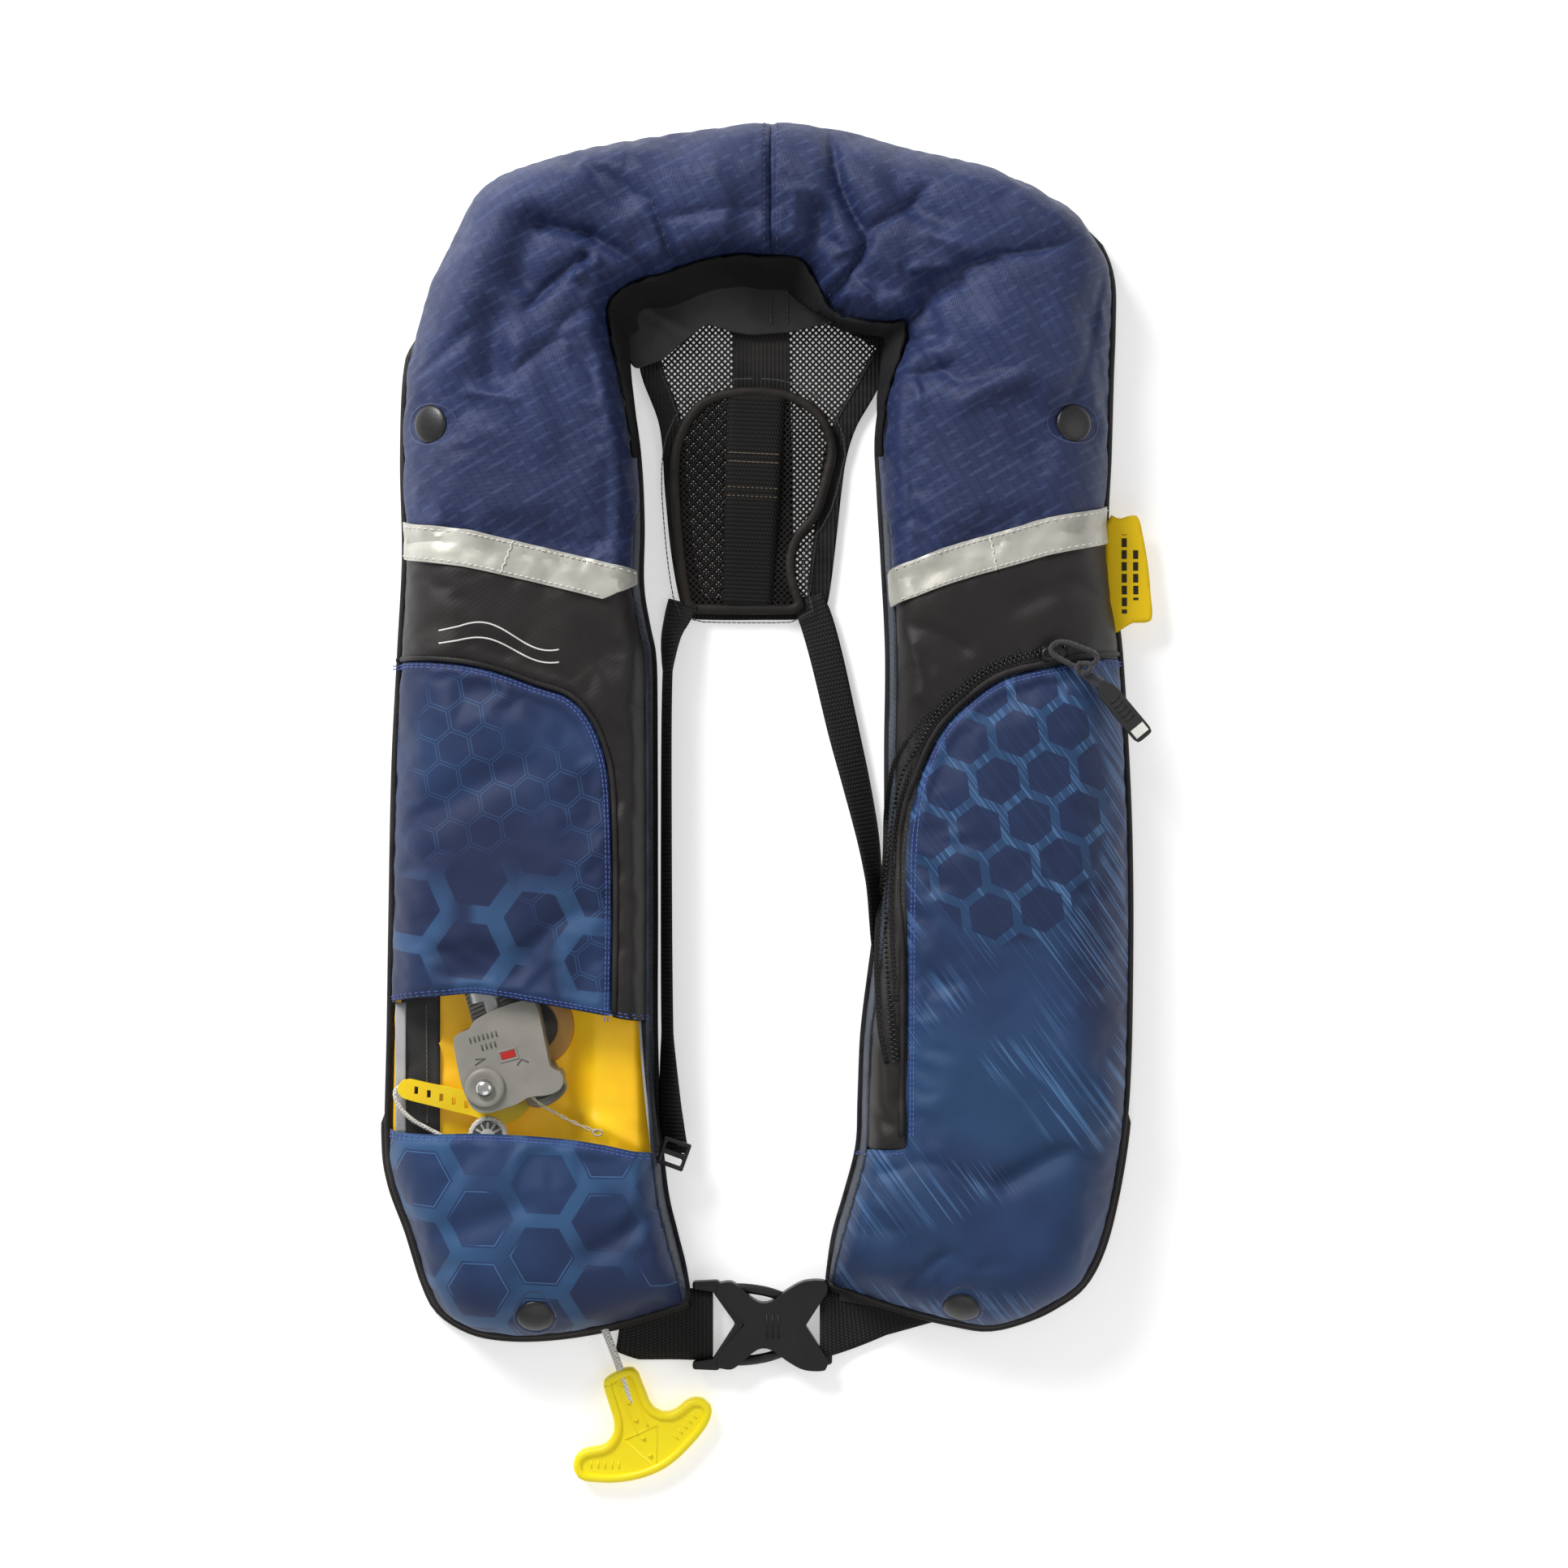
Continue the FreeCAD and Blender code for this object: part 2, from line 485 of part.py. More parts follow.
def make_zip_pull():
    """Wire bail through the slider's eye, a knotted cord loop and a moulded tag."""
    eye = at(ARC_X - dim("slider_length") / 2, ZIP_TOP, BAIL_Z)
    wire = 0.8
    pin = Part.makeCylinder(wire, 7.6, eye + V(0, -3.8, 0), V(0, 1, 0))
    front = Part.makeCylinder(wire, 7.6, eye + V(9, -3.8, 0), V(0, 1, 0))
    arms = [Part.makeCylinder(wire, 9, eye + V(0, dy, 0), V(1, 0, 0)) for dy in (-3.8, 3.8)]
    corners = [Part.makeSphere(wire, eye + V(dx, dy, 0)) for dx in (0, 9) for dy in (-3.8, 3.8)]
    bail = pin.fuse([front] + arms + corners)
    feature("zip_bail", bail)
    radius = dim("pull_cord_thick") / 2
    start = eye + V(9 + wire + radius, 0, 0)
    along = PULL_TURN.multVec(V(1, 0, 0))
    across = V(-along.y, along.x, 0)
    knot = start + along * 9
    knot.z = HEIGHT + 4.4
    tag_start = knot + along * 13
    strands = []
    for sign in (-1, 1):
        side_point = start + V(0, sign * 3.2, 0)
        run = knot - side_point
        strands.append(Part.makeCylinder(radius, run.Length, side_point, run))
        strands.append(Part.makeSphere(radius, side_point))
        leg = tag_start + across * sign * 1.6 - knot
        strands.append(Part.makeCylinder(radius, leg.Length, knot, leg))
    strands.append(Part.makeCylinder(radius, 6.4, start + V(0, -3.2, 0), V(0, 1, 0)))
    cord = Part.makeSphere(radius * 2.2, knot).fuse(strands)
    feature("zip_pull_cord", cord)
    base = tag_start - across * (dim("pull_tag_width") / 2) + V(0, 0, -dim("pull_tag_thick") / 2)
    tag = block("pull_tag_block", "Dims.pull_tag_length", "Dims.pull_tag_width",
                "Dims.pull_tag_thick", base, PULL_TURN)
    doc.recompute()
    rounded = doc.addObject("Part::Fillet", "pull_tag_rounded")
    rounded.Base = tag
    rounded.Edges = [(n + 1, 1.2, 1.2) for n in range(12)]
    keep("zip_pull_tag", rounded)


# ---------------------------------------------------------------- snaps and warning tag
def snap_places():
    """Each snap's plan position, height, tilt in degrees and tilt axis."""
    margin = dim("snap_edge_margin")
    z, tilt = surface_at(margin)
    places = []
    for side in (-1, 1):
        edge = HALF_WIDTH - dim("upper_arm_inset")
        places.append((at(side * (edge - margin + 3), TOP - dim("snap_collar_drop"), z),
                       FreeCAD.Rotation(V(0, 1, 0), side * tilt)))
        z_hem, tilt_hem = surface_at(dim("snap_hem_rise"))
        places.append((at(side * (HALF_WIDTH - dim("snap_hem_side")), HEM + dim("snap_hem_rise") + 4, z_hem),
                       FreeCAD.Rotation(V(1, 0, 0), tilt_hem)))
    return places


SNAP_SINK = 1.0


def make_snaps():
    """Domed caps on the outside, posts through the fabric, and sockets on its inside."""
    caps = []
    sockets = []
    holes = []
    for base, turn in snap_places():
        radius = dim("snap_diameter") / 2
        thick = dim("snap_thick")
        cap = Part.makeCylinder(radius, thick, V(0, 0, -SNAP_SINK))
        rim = [e for e in cap.Edges if e.BoundBox.ZMin > thick - SNAP_SINK - 0.01]
        cap = cap.makeFillet(thick * 0.45, rim)
        post = Part.makeCylinder(dim("snap_post") / 2, 4, V(0, 0, -SNAP_SINK - 4))
        socket = Part.makeCylinder(dim("snap_socket") / 2, dim("snap_socket_thick"), V(0, 0, -SNAP_SINK - 4))
        socket = socket.cut(Part.makeCylinder(dim("snap_post") / 2, 6, V(0, 0, -SNAP_SINK - 5)))
        seat = Part.makeCylinder(radius, 12, V(0, 0, -SNAP_SINK))
        seat = seat.fuse(Part.makeCylinder(dim("snap_post") / 2, 6, V(0, 0, -SNAP_SINK - 5)))
        seat = seat.fuse(Part.makeCylinder(dim("snap_socket") / 2 + 0.4, 4, V(0, 0, -SNAP_SINK - 6)))
        for shape, group in ((cap.fuse(post), caps), (socket, sockets), (seat, holes)):
            placed = shape.copy()
            placed.Placement = FreeCAD.Placement(base, turn)
            group.append(placed)
    feature("snap_caps", Part.makeCompound(caps))
    feature("snap_sockets", Part.makeCompound(sockets))
    return holes


def make_warning_tag():
    top = TOP - dim("tag_drop")
    low = HALF_WIDTH - dim("tag_inside")
    lift = 11.0
    tag = strip(HALF_WIDTH, top - dim("tag_length"), lift,
                HALF_WIDTH + dim("tag_reach"), top, lift + dim("tag_thick"))
    tag = tag.fuse(strip(low, top - dim("tag_length"), lift, HALF_WIDTH, top, lift + dim("tag_thick")))
    tag = tag.removeSplitter().cut(rolled(0.0))
    feature("warning_tag", tag)


# ---------------------------------------------------------------- yoke, flap and straps
YOKE_TOP = NECK_TOP - dim("facing_reach")
YOKE_BOTTOM = TOP - dim("yoke_bottom_drop")


def yoke_corners():
    c = dim("yoke_shift")
    waist = (YOKE_TOP + YOKE_BOTTOM) / 2 + 14
    right = [(dim("yoke_bottom_half"), YOKE_BOTTOM, 8.0), (dim("yoke_waist_half"), waist, 90.0),
             (dim("yoke_top_half"), YOKE_TOP, 1.0)]
    return [(c + x, y, r) for x, y, r in right] + [(c - x, y, r) for x, y, r in reversed(right)]


def make_yoke():
    thick = dim("yoke_thick")
    plate = prism(yoke_corners(), 0.0, thick).cut(prism(OPENING, -1, HEIGHT).cut(
        prism(OPENING, -1, HEIGHT, 1.0)))
    window = prism(yoke_corners(), -1, thick + 1, dim("yoke_border"))
    half = dim("yoke_strip_width") / 2
    c = dim("yoke_shift")
    bar = strip(c - half, YOKE_BOTTOM + dim("yoke_border"), 0, c + half, YOKE_TOP, thick)
    feature("yoke_border", plate.cut(window).cut(bar))
    bar = bar.common(prism(yoke_corners(), 0, thick))
    feature("yoke_centre_strip", bar)
    level = (thick - dim("mesh_thick")) / 2
    mesh = prism(yoke_corners(), level, level + dim("mesh_thick"), dim("yoke_border")).cut(bar)
    feature("yoke_mesh", mesh)


def flap_corners():
    c = dim("yoke_shift") + 1
    top = TOP - dim("flap_top_drop")
    bottom = YOKE_BOTTOM + 3
    mid = top - 46
    half = [(dim("flap_half_bottom"), bottom, 4.0), (dim("flap_half_top") - 10, mid - 30, 60.0),
            (dim("flap_half_top"), mid, 40.0), (dim("flap_half_top") - 12, top, 22.0)]
    return [(c + x, y, r) for x, y, r in half] + [(c - x, y, r) for x, y, r in reversed(half)]


def make_flap():
    low = dim("yoke_thick") + dim("flap_gap")
    high = low + dim("flap_thick")
    border = dim("flap_binding_width")
    pad = prism(flap_corners(), low, high, border)
    feature("back_flap", pad)
    ring = prism(flap_corners(), low, high + 0.4).cut(prism(flap_corners(), low - 1, high + 1, border))
    feature("flap_binding", ring)
    half = dim("flap_webbing_width") / 2
    c = dim("yoke_shift") + 1
    top = TOP - dim("flap_top_drop") - border
    web = strip(c - half, YOKE_BOTTOM + 3 + border, high, c + half, top, high + dim("flap_webbing_thick"))
    feature("flap_webbing", web.common(prism(flap_corners(), 0, FAR, border)))


def strap_frame(x, y, lift):
    """Placement of a strap section: local X across the webbing, Y along it, Z its thickness."""
    turn = FreeCAD.Rotation(V(0, 1, 0), -dim("strap_tilt"))
    return FreeCAD.Placement(at(x, y, lift), turn)


def make_straps():
    """Left webbing strap standing nearly on edge, and the right one that crosses the gap."""
    bottom = HEM + dim("strap_bottom_rise")
    side = -dim("strap_side")
    lift = dim("strap_lift")
    thick = dim("strap_thick")
    web = Part.makeBox(dim("strap_width"), YOKE_BOTTOM - bottom, thick)
    web.Placement = strap_frame(side, bottom, lift)
    tab = strip(side, YOKE_BOTTOM - 3, dim("yoke_thick"), side + 9, YOKE_BOTTOM + 8, lift + 0.5)
    tail = strip(side - 20, bottom, lift - 1.2, side + 1.5, bottom + 4, lift + 0.4)
    left = web.fuse([tab, tail.cut(beside_opening())])
    feature("back_strap_left", left)
    start = V(dim("yoke_shift") + dim("yoke_bottom_half") - 12, YOKE_BOTTOM + 8, 0)
    end = V(dim("waist_gap_half") + 1.5, YOKE_BOTTOM - dim("strap_run"), 0)
    run = end - start
    across = V(-run.y, run.x, 0).normalize()
    widths = ((start, 8.5), (start + run * 0.75, 6.0), (end, 2.0))
    edge_a = [at(p.x, p.y) + across * w for p, w in widths]
    edge_b = [at(p.x, p.y) - across * w for p, w in reversed(widths)]
    points = edge_a + edge_b
    right = Part.Face(Part.makePolygon(points + points[:1])).extrude(V(0, 0, dim("strap_thick")))
    right.translate(V(0, 0, 0.2))
    right = right.cut(beside_opening()).cut(strip(-FAR, YOKE_BOTTOM, -1, FAR, FAR, FAR))
    feature("back_strap_right", right)
    frame_thick = dim("adjuster_thick")
    margin = dim("adjuster_margin")
    frame = block("adjuster_outer", "Dims.strap_width + 2 * Dims.adjuster_margin",
                  "Dims.adjuster_length", "Dims.adjuster_thick", V())
    frame.Placement = FreeCAD.Placement(V(-margin, 0, -(frame_thick - thick) / 2), FreeCAD.Rotation())
    slot = block("adjuster_slot", "Dims.strap_width + 0.8", "Dims.adjuster_length + 2",
                 "Dims.strap_thick + 0.8", V(-0.4, -1, -0.4))
    ladder = [block(f"adjuster_window_{n}", "Dims.strap_width - 1", "3", "Dims.adjuster_thick + 2",
                    V(0.5, y, -frame_thick)) for n, y in ((1, 2.5), (2, dim("adjuster_length") - 5.5))]
    done = cut("adjuster_done", frame, fuse("adjuster_holes", slot, *ladder))
    done.Placement = strap_frame(side, HEM + dim("adjuster_rise"), lift)
    keep("strap_adjuster", done)


def beside_opening():
    """Everything outside the opening, low down, to trim what must stay between the lobes."""
    return strip(-FAR, -FAR, -2, FAR, FAR, 12).cut(prism(OPENING, -3, 13))


# ---------------------------------------------------------------- belt and buckle
def make_belt():
    """Waist belt: a straight end on the plug, and an end folded in behind the other lobe."""
    low = dim("belt_lift")
    half = dim("belt_width") / 2
    end = PLUG_FACE - dim("buckle_bar") + 3
    web = block("belt_left_block", f"{end + dim('belt_reach_left')}", "Dims.belt_width",
                "Dims.belt_thick", at(-dim("belt_reach_left"), BELT_Y - half, low))
    keep("belt_webbing_left", web)
    start = SOCKET_RIGHT + 3
    fold = dim("belt_fold_side")
    inner = BELT_Y + half - dim("belt_fold_width")
    reach = dim("belt_reach_right")
    plan = [(start, BELT_Y - half), (fold, BELT_Y - half), (fold + 1.1 * (inner - BELT_Y + half), inner),
            (reach, inner), (reach, BELT_Y + half), (start, BELT_Y + half)]
    points = [at(x, y, low) for x, y in plan]
    face = Part.Face(Part.makePolygon(points + points[:1]))
    feature("belt_webbing_right", face.extrude(V(0, 0, dim("belt_thick"))))


def make_buckle():
    """Side-release buckle: a socket with waisted sides, and a plug with two sprung prongs."""
    half = dim("buckle_width") / 2
    wall = dim("socket_wall")
    top = BUCKLE_LOW + dim("buckle_thick")
    waist = half - 9
    mid = (SOCKET_LEFT + SOCKET_RIGHT) / 2 - 2
    plan = [
        (SOCKET_LEFT, BELT_Y - half, 2.0), (mid - 8, BELT_Y - waist, 14.0), (mid + 8, BELT_Y - waist, 14.0),
        (SOCKET_RIGHT + 9, BELT_Y - half, 3.0), (SOCKET_RIGHT, BELT_Y, 8.0),
        (SOCKET_RIGHT + 9, BELT_Y + half, 3.0),
        (mid + 8, BELT_Y + waist, 14.0), (mid - 8, BELT_Y + waist, 14.0), (SOCKET_LEFT, BELT_Y + half, 2.0),
        (SOCKET_LEFT + 10, BELT_Y, 10.0),
    ]
    socket = prism(plan, BUCKLE_LOW, top)
    hollow = strip(SOCKET_LEFT - 2, BELT_Y - FAR, BUCKLE_LOW + wall,
                   SOCKET_RIGHT - 7, BELT_Y + FAR, top - wall)
    socket = socket.cut(hollow.common(strip(-FAR, BELT_Y - half - 5, 0, FAR, BELT_Y + half + 5, FAR)))
    slot_half = dim("belt_width") / 2 + 0.5
    slot = strip(SOCKET_RIGHT - 6, BELT_Y - slot_half, -1, FAR, BELT_Y + slot_half,
                 dim("belt_lift") + dim("belt_thick"))
    feature("buckle_socket", socket.cut(slot))
    bar = dim("buckle_bar")
    plug = prism([
        (PLUG_FACE - bar, BELT_Y - half, 3.0), (PLUG_FACE, BELT_Y - half, 1.0),
        (PLUG_FACE + 9.6, BELT_Y, 10.0), (PLUG_FACE, BELT_Y + half, 1.0),
        (PLUG_FACE - bar, BELT_Y + half, 3.0), (PLUG_FACE - bar - 0.1, BELT_Y, 1.0),
    ], BUCKLE_LOW, top)
    for sign in (-1, 1):
        root = BELT_Y + sign * (half - dim("prong_width") * 0.5 - 1)
        reach = dim("prong_width") * 0.5 + 0.6
        level = BUCKLE_LOW + wall + 0.6
        plug = plug.cut(strip(PLUG_FACE, root - reach, level - 0.4, PLUG_FACE + 14, root + reach,
                              level + dim("prong_thick") + 0.4))
    plug = plug.cut(strip(-FAR, BELT_Y - slot_half, -1, PLUG_FACE - bar + 9, BELT_Y + slot_half,
                          dim("belt_lift") + dim("belt_thick")))
    tongue = strip(PLUG_FACE - 2, BELT_Y - 5, BUCKLE_LOW + wall + 0.5,
                   SOCKET_RIGHT - 12, BELT_Y + 5, top - wall - 0.5)
    feature("buckle_plug", plug.fuse(tongue).removeSplitter())
    for sign, name in ((1, "upper"), (-1, "lower")):
        feature(f"buckle_prong_{name}", prong(sign))


def prong(sign):
    """Side prong: a slim arm with a barbed shoulder that fills the socket's waist."""
    root_y = BELT_Y + sign * (dim("buckle_width") / 2 - dim("prong_width") - 1)
    tip_y = BELT_Y + sign * (dim("buckle_width") / 2 - 10.5)
    x_root = PLUG_FACE + dim("prong_gap")
    x_tip = x_root + dim("prong_length")
    width = dim("prong_width") * sign
    low = BUCKLE_LOW + dim("socket_wall") + 0.6
    points = [
        V(x_root, root_y + width * 0.25, 0), V(x_tip - 8, tip_y - width * 0.55, 0),
        V(x_tip, tip_y - width * 0.4, 0), V(x_tip - 3, tip_y + width * 0.6, 0),
        V(x_tip - 16, tip_y + width * 0.75, 0), V(x_root, root_y + width * 0.9, 0),
    ]
    points = [at(p.x, p.y, low) for p in points]
    return Part.Face(Part.makePolygon(points + points[:1])).extrude(V(0, 0, dim("prong_thick")))


# ---------------------------------------------------------------- cords
HEM_SLOPE = dim("hem_rise") / (HALF_WIDTH - dim("hem_bevel_run"))
CORD_EXIT = at(-dim("cord_exit_side"),
               HEM + HEM_SLOPE * (HALF_WIDTH - dim("hem_bevel_run") - dim("cord_exit_side")),
               dim("cord_level"))
PULL = V(0.35, -0.9367, 0)
# The cord's route, chosen by hand: inside the hem, out of it and down to the handle.
CORD_ROUTE = [
    CORD_EXIT + V(-12.9, 33.0, 0.3),
    CORD_EXIT + V(-6.6, 18.4, -0.2),
    CORD_EXIT + V(-1.3, 4.0, 0.1),
    CORD_EXIT + V(4.4, -10.2, -0.1),
    CORD_EXIT + V(9.3, -24.0, 0.1),
    CORD_EXIT + V(13.5, -36.6, -0.3),
]


def cord_tube(points, radius):
    """A tube of straight runs joined by tangent arcs, each as large as its two runs allow."""
    runs = [(b - a).Length for a, b in zip(points, points[1:])]
    edges = []
    start = points[0]
    for i in range(1, len(points) - 1):
        before = (points[i] - points[i - 1]).normalize()
        after = (points[i + 1] - points[i]).normalize()
        half_turn = before.getAngle(after) / 2
        reach = 0.45 * min(runs[i - 1], runs[i])
        arc_radius = reach / math.tan(half_turn)
        arc_start = points[i] - before * reach
        arc_end = points[i] + after * reach
        to_centre = (after - before).normalize()
        centre = points[i] + to_centre * (arc_radius / math.cos(half_turn))
        edges.append(Part.LineSegment(start, arc_start).toShape())
        edges.append(Part.Arc(arc_start, centre - to_centre * arc_radius, arc_end).toShape())
        start = arc_end
        print(f"cord arc radius {arc_radius:.1f}")
    edges.append(Part.LineSegment(start, points[-1]).toShape())
    path = Part.Wire(edges)
    profile = Part.Wire(Part.makeCircle(radius, points[0], points[1] - points[0]))
    tube = path.makePipeShell([profile], True, False)
    section = math.pi * radius ** 2 * path.Length
    print(f"cord length {path.Length:.1f}, volume {tube.Volume:.1f}, section times length {section:.1f}")
    return tube


# ---------------------------------------------------------------- bladder and inflator
PIVOT = V(-dim("inflator_side"), HEM + dim("inflator_rise"), 0)
TILT = FreeCAD.Rotation(V(0, 0, 1), dim("inflator_tilt"))


def in_housing(v, u, z):
    """A row-frame point from the inflator's own axes: v across it, u along it, from its pivot."""
    local = TILT.multVec(V(v, u, 0))
    return at(PIVOT.x + local.x, PIVOT.y + local.y, z)


def make_bladder():
    margin = dim("bladder_margin")
    lift = FLOOR
    wires = [outline(OUTER, margin, lift), outline(OUTER, margin + 2, 22.0),
             outline(OUTER, margin + 14, dim("bladder_top"))]
    solid = Part.makeLoft(wires, True, True).cut(prism(OPENING, 0, HEIGHT, -margin))
    solid = solid.cut(strip(-FAR, -FAR, -1, FAR, HEM + dim("bladder_hem_margin"), FAR))
    solid = solid.cut(strip(-FAR, -FAR, -1, 0, HEM + dim("bladder_left_margin"), FAR))
    solid = solid.cut(strip(-FAR, -FAR, dim("bladder_low_top"), 0, WINDOW_TOP + 150, FAR))
    feature("bladder", solid)


CORE_V = dim("housing_width") / 2 - dim("housing_left")
HOUSING_TOP_U = dim("housing_length") - dim("housing_below")
CORE_Z = (dim("housing_bottom") + dim("housing_top")) / 2
ALONG_U = FreeCAD.Rotation(V(0, 0, 1), dim("inflator_tilt")) * FreeCAD.Rotation(V(1, 0, 0), -90)


def make_inflator():
    """Housing with its neck, chamber, indicator slot, pivot boss and open manual port."""
    case = block("housing_case", "Dims.housing_width", "Dims.housing_length",
                 "Dims.housing_top - Dims.housing_bottom",
                 in_housing(-dim("housing_left"), -dim("housing_below"), dim("housing_bottom")), TILT)
    doc.recompute()
    rounded = doc.addObject("Part::Fillet", "housing_rounded")
    rounded.Base = case
    rounded.Edges = [(n + 1, dim("housing_round"), dim("housing_round")) for n in range(12)]
    core = in_housing(CORE_V, HOUSING_TOP_U - 1, CORE_Z)
    neck = disc("housing_neck", "Dims.neck_width / 2 - 5.5", "Dims.neck_length", core, ALONG_U)
    ribs = [disc(f"neck_rib_{n}", "Dims.neck_width / 2 - 4", "2",
                 in_housing(CORE_V, HOUSING_TOP_U + 1 + n * 4, CORE_Z), ALONG_U) for n in range(3)]
    boss = disc("pivot_boss", "Dims.boss_radius", "Dims.boss_proud + 1",
                in_housing(0, 0, dim("housing_top") - 1))
    solid = fuse("housing_solid", rounded, neck, boss, *ribs)
    chamber = disc("housing_chamber", "Dims.chamber_radius", "Dims.housing_length + Dims.neck_length",
                   in_housing(CORE_V, -2, CORE_Z), ALONG_U)
    port = disc("manual_port", "Dims.cap_nut_radius", "9",
                in_housing(CORE_V + 13.6, -dim("housing_below") - 1, CORE_Z + 1), ALONG_U)
    slot = block("indicator_slot", "Dims.indicator_length + Dims.indicator_travel + 0.6",
                 "Dims.indicator_width + 0.4", "6",
                 in_housing(CORE_V - 1.8, 11.8, dim("housing_top") - 3), TILT)
    pivot = disc("pivot_hole", "2.55", "40", in_housing(0, 0, 5))
    keep("inflator_housing", cut("housing_done", solid, fuse("housing_holes", chamber, port, slot, pivot)))
    indicator = block("indicator_block", "Dims.indicator_length", "Dims.indicator_width", "3.4",
                      in_housing(CORE_V - 1.6, 12.0, dim("housing_top") - 2.8), TILT)
    keep("status_indicator", indicator)


def make_firing_parts():
    collar_u = 6.0
    collar = disc("pin_collar_disc", "Dims.chamber_radius - Dims.pin_clearance", "Dims.pin_collar",
                  in_housing(CORE_V, collar_u, CORE_Z), ALONG_U)
    point = disc("pin_point_rod", "Dims.pin_point", "Dims.pin_point_length + 1",
                 in_housing(CORE_V, collar_u + dim("pin_collar") - 1, CORE_Z), ALONG_U)
    keep("firing_pin", fuse("firing_pin_done", collar, point))
    turns = []
    start_u = collar_u + dim("pin_collar") + 0.8
    pitch = 2.6
    for n in range(5):
        ring = Part.makeTorus(4.2, 0.7, in_housing(CORE_V, start_u + n * pitch, CORE_Z),
                              ALONG_U.multVec(V(0, 0, 1)))
        turns.append(ring)
    feature("firing_spring", Part.makeCompound(turns))
    base_u = HOUSING_TOP_U + dim("neck_length") - 1 + 0.2
    body = disc("gas_body", "Dims.cylinder_radius", "Dims.cylinder_length",
                in_housing(CORE_V, base_u, CORE_Z), ALONG_U)
    nose = disc("gas_nose", "Dims.chamber_radius - 0.3", "9",
                in_housing(CORE_V, base_u - 8, CORE_Z), ALONG_U)
    keep("gas_cylinder", fuse("gas_cylinder_done", body, nose))
    flange = disc("manifold_flange", "Dims.flange_radius", "Dims.flange_thick",
                  in_housing(CORE_V + 4, 12, dim("bladder_low_top")))
    stem = disc("manifold_stem", "Dims.stem_radius",
                "Dims.housing_bottom - Dims.bladder_low_top - Dims.flange_thick + 0.01",
                in_housing(CORE_V + 8, 16, dim("bladder_low_top") + dim("flange_thick") - 0.01))
    keep("manifold", fuse("manifold_done", flange, stem))
    axle = disc("pivot_axle", "2.5", "Dims.housing_top + Dims.boss_proud - Dims.bladder_low_top - 1.5",
                in_housing(0, 0, dim("bladder_low_top") + 1.5))
    ball = bound("Part::Sphere", "pivot_ball", {"Radius": "Dims.ball_radius"},
                 in_housing(0, 0, dim("housing_top") + dim("boss_proud")))
    half = block("pivot_ball_keep", "30", "30", "30",
                 in_housing(0, 0, dim("housing_top") + dim("boss_proud")) - V(15, 15, 0))
    dome = doc.addObject("Part::Common", "pivot_dome")
    dome.Base = ball
    dome.Tool = half
    keep("lever_pivot_pin", fuse("pivot_pin_done", axle, dome))


def make_lever():
    """Yellow arm with a row of slots, a hub on the pivot pin and a short cam tail."""
    low = dim("lever_bottom")
    thick = dim("lever_thick")
    half = dim("lever_width") / 2
    centre = in_housing(0, 0, low)
    length = dim("lever_length")
    arm = Part.makeBox(length, 2 * half, thick, V(-length, -half, 0))
    tip = Part.makeCylinder(half, thick, V(-length, 0, 0))
    hub = Part.makeCylinder(dim("lever_hub"), thick)
    tail = Part.makeBox(14, 6, thick, V(0, -3, 0))
    tail.rotate(V(), V(0, 0, 1), -42)
    solid = arm.fuse([tip, hub, tail]).removeSplitter()
    for n in range(int(dim("lever_slots"))):
        x = -length + 8 + n * dim("lever_slot_pitch")
        solid = solid.cut(Part.makeBox(1.6, half, thick, V(x, -half / 2, thick - 1.4)))
    solid = solid.cut(Part.makeCylinder(2.56, thick * 3, V(0, 0, -thick)))
    place = FreeCAD.Placement(centre, FreeCAD.Rotation(V(0, 0, 1), 2.6))
    lever = feature("inflator_lever", solid, place)
    tip_x = -dim("inflator_side") - length
    tip_y = PIVOT.y - 2.0
    level = low + thick / 2
    route = [at(tip_x - 1, tip_y - 2, level), at(tip_x + 0.2, tip_y - 11, level + 0.6),
             at(tip_x + 6.5, tip_y - 18, level + 0.4), at(tip_x + 16, tip_y - 21, level),
             at(tip_x + 26, tip_y - 24.5, level - 0.5)]
    cord = cord_tube(route, dim("lever_cord_diameter") / 2)
    feature("lever_cord", cord.cut(lever.Shape))
    port = in_housing(CORE_V + 13.6, -dim("housing_below") - 1, CORE_Z + 1)
    inside = in_housing(CORE_V + 13.2, -dim("housing_below") + 8, CORE_Z + 1.2)
    string_route = [inside, port, port + V(7.5, -10.5, -3), port + V(21, -17.5, -5), port + V(32, -24.5, -6)]
    feature("indicator_string", cord_tube(string_route, dim("string_diameter") / 2))


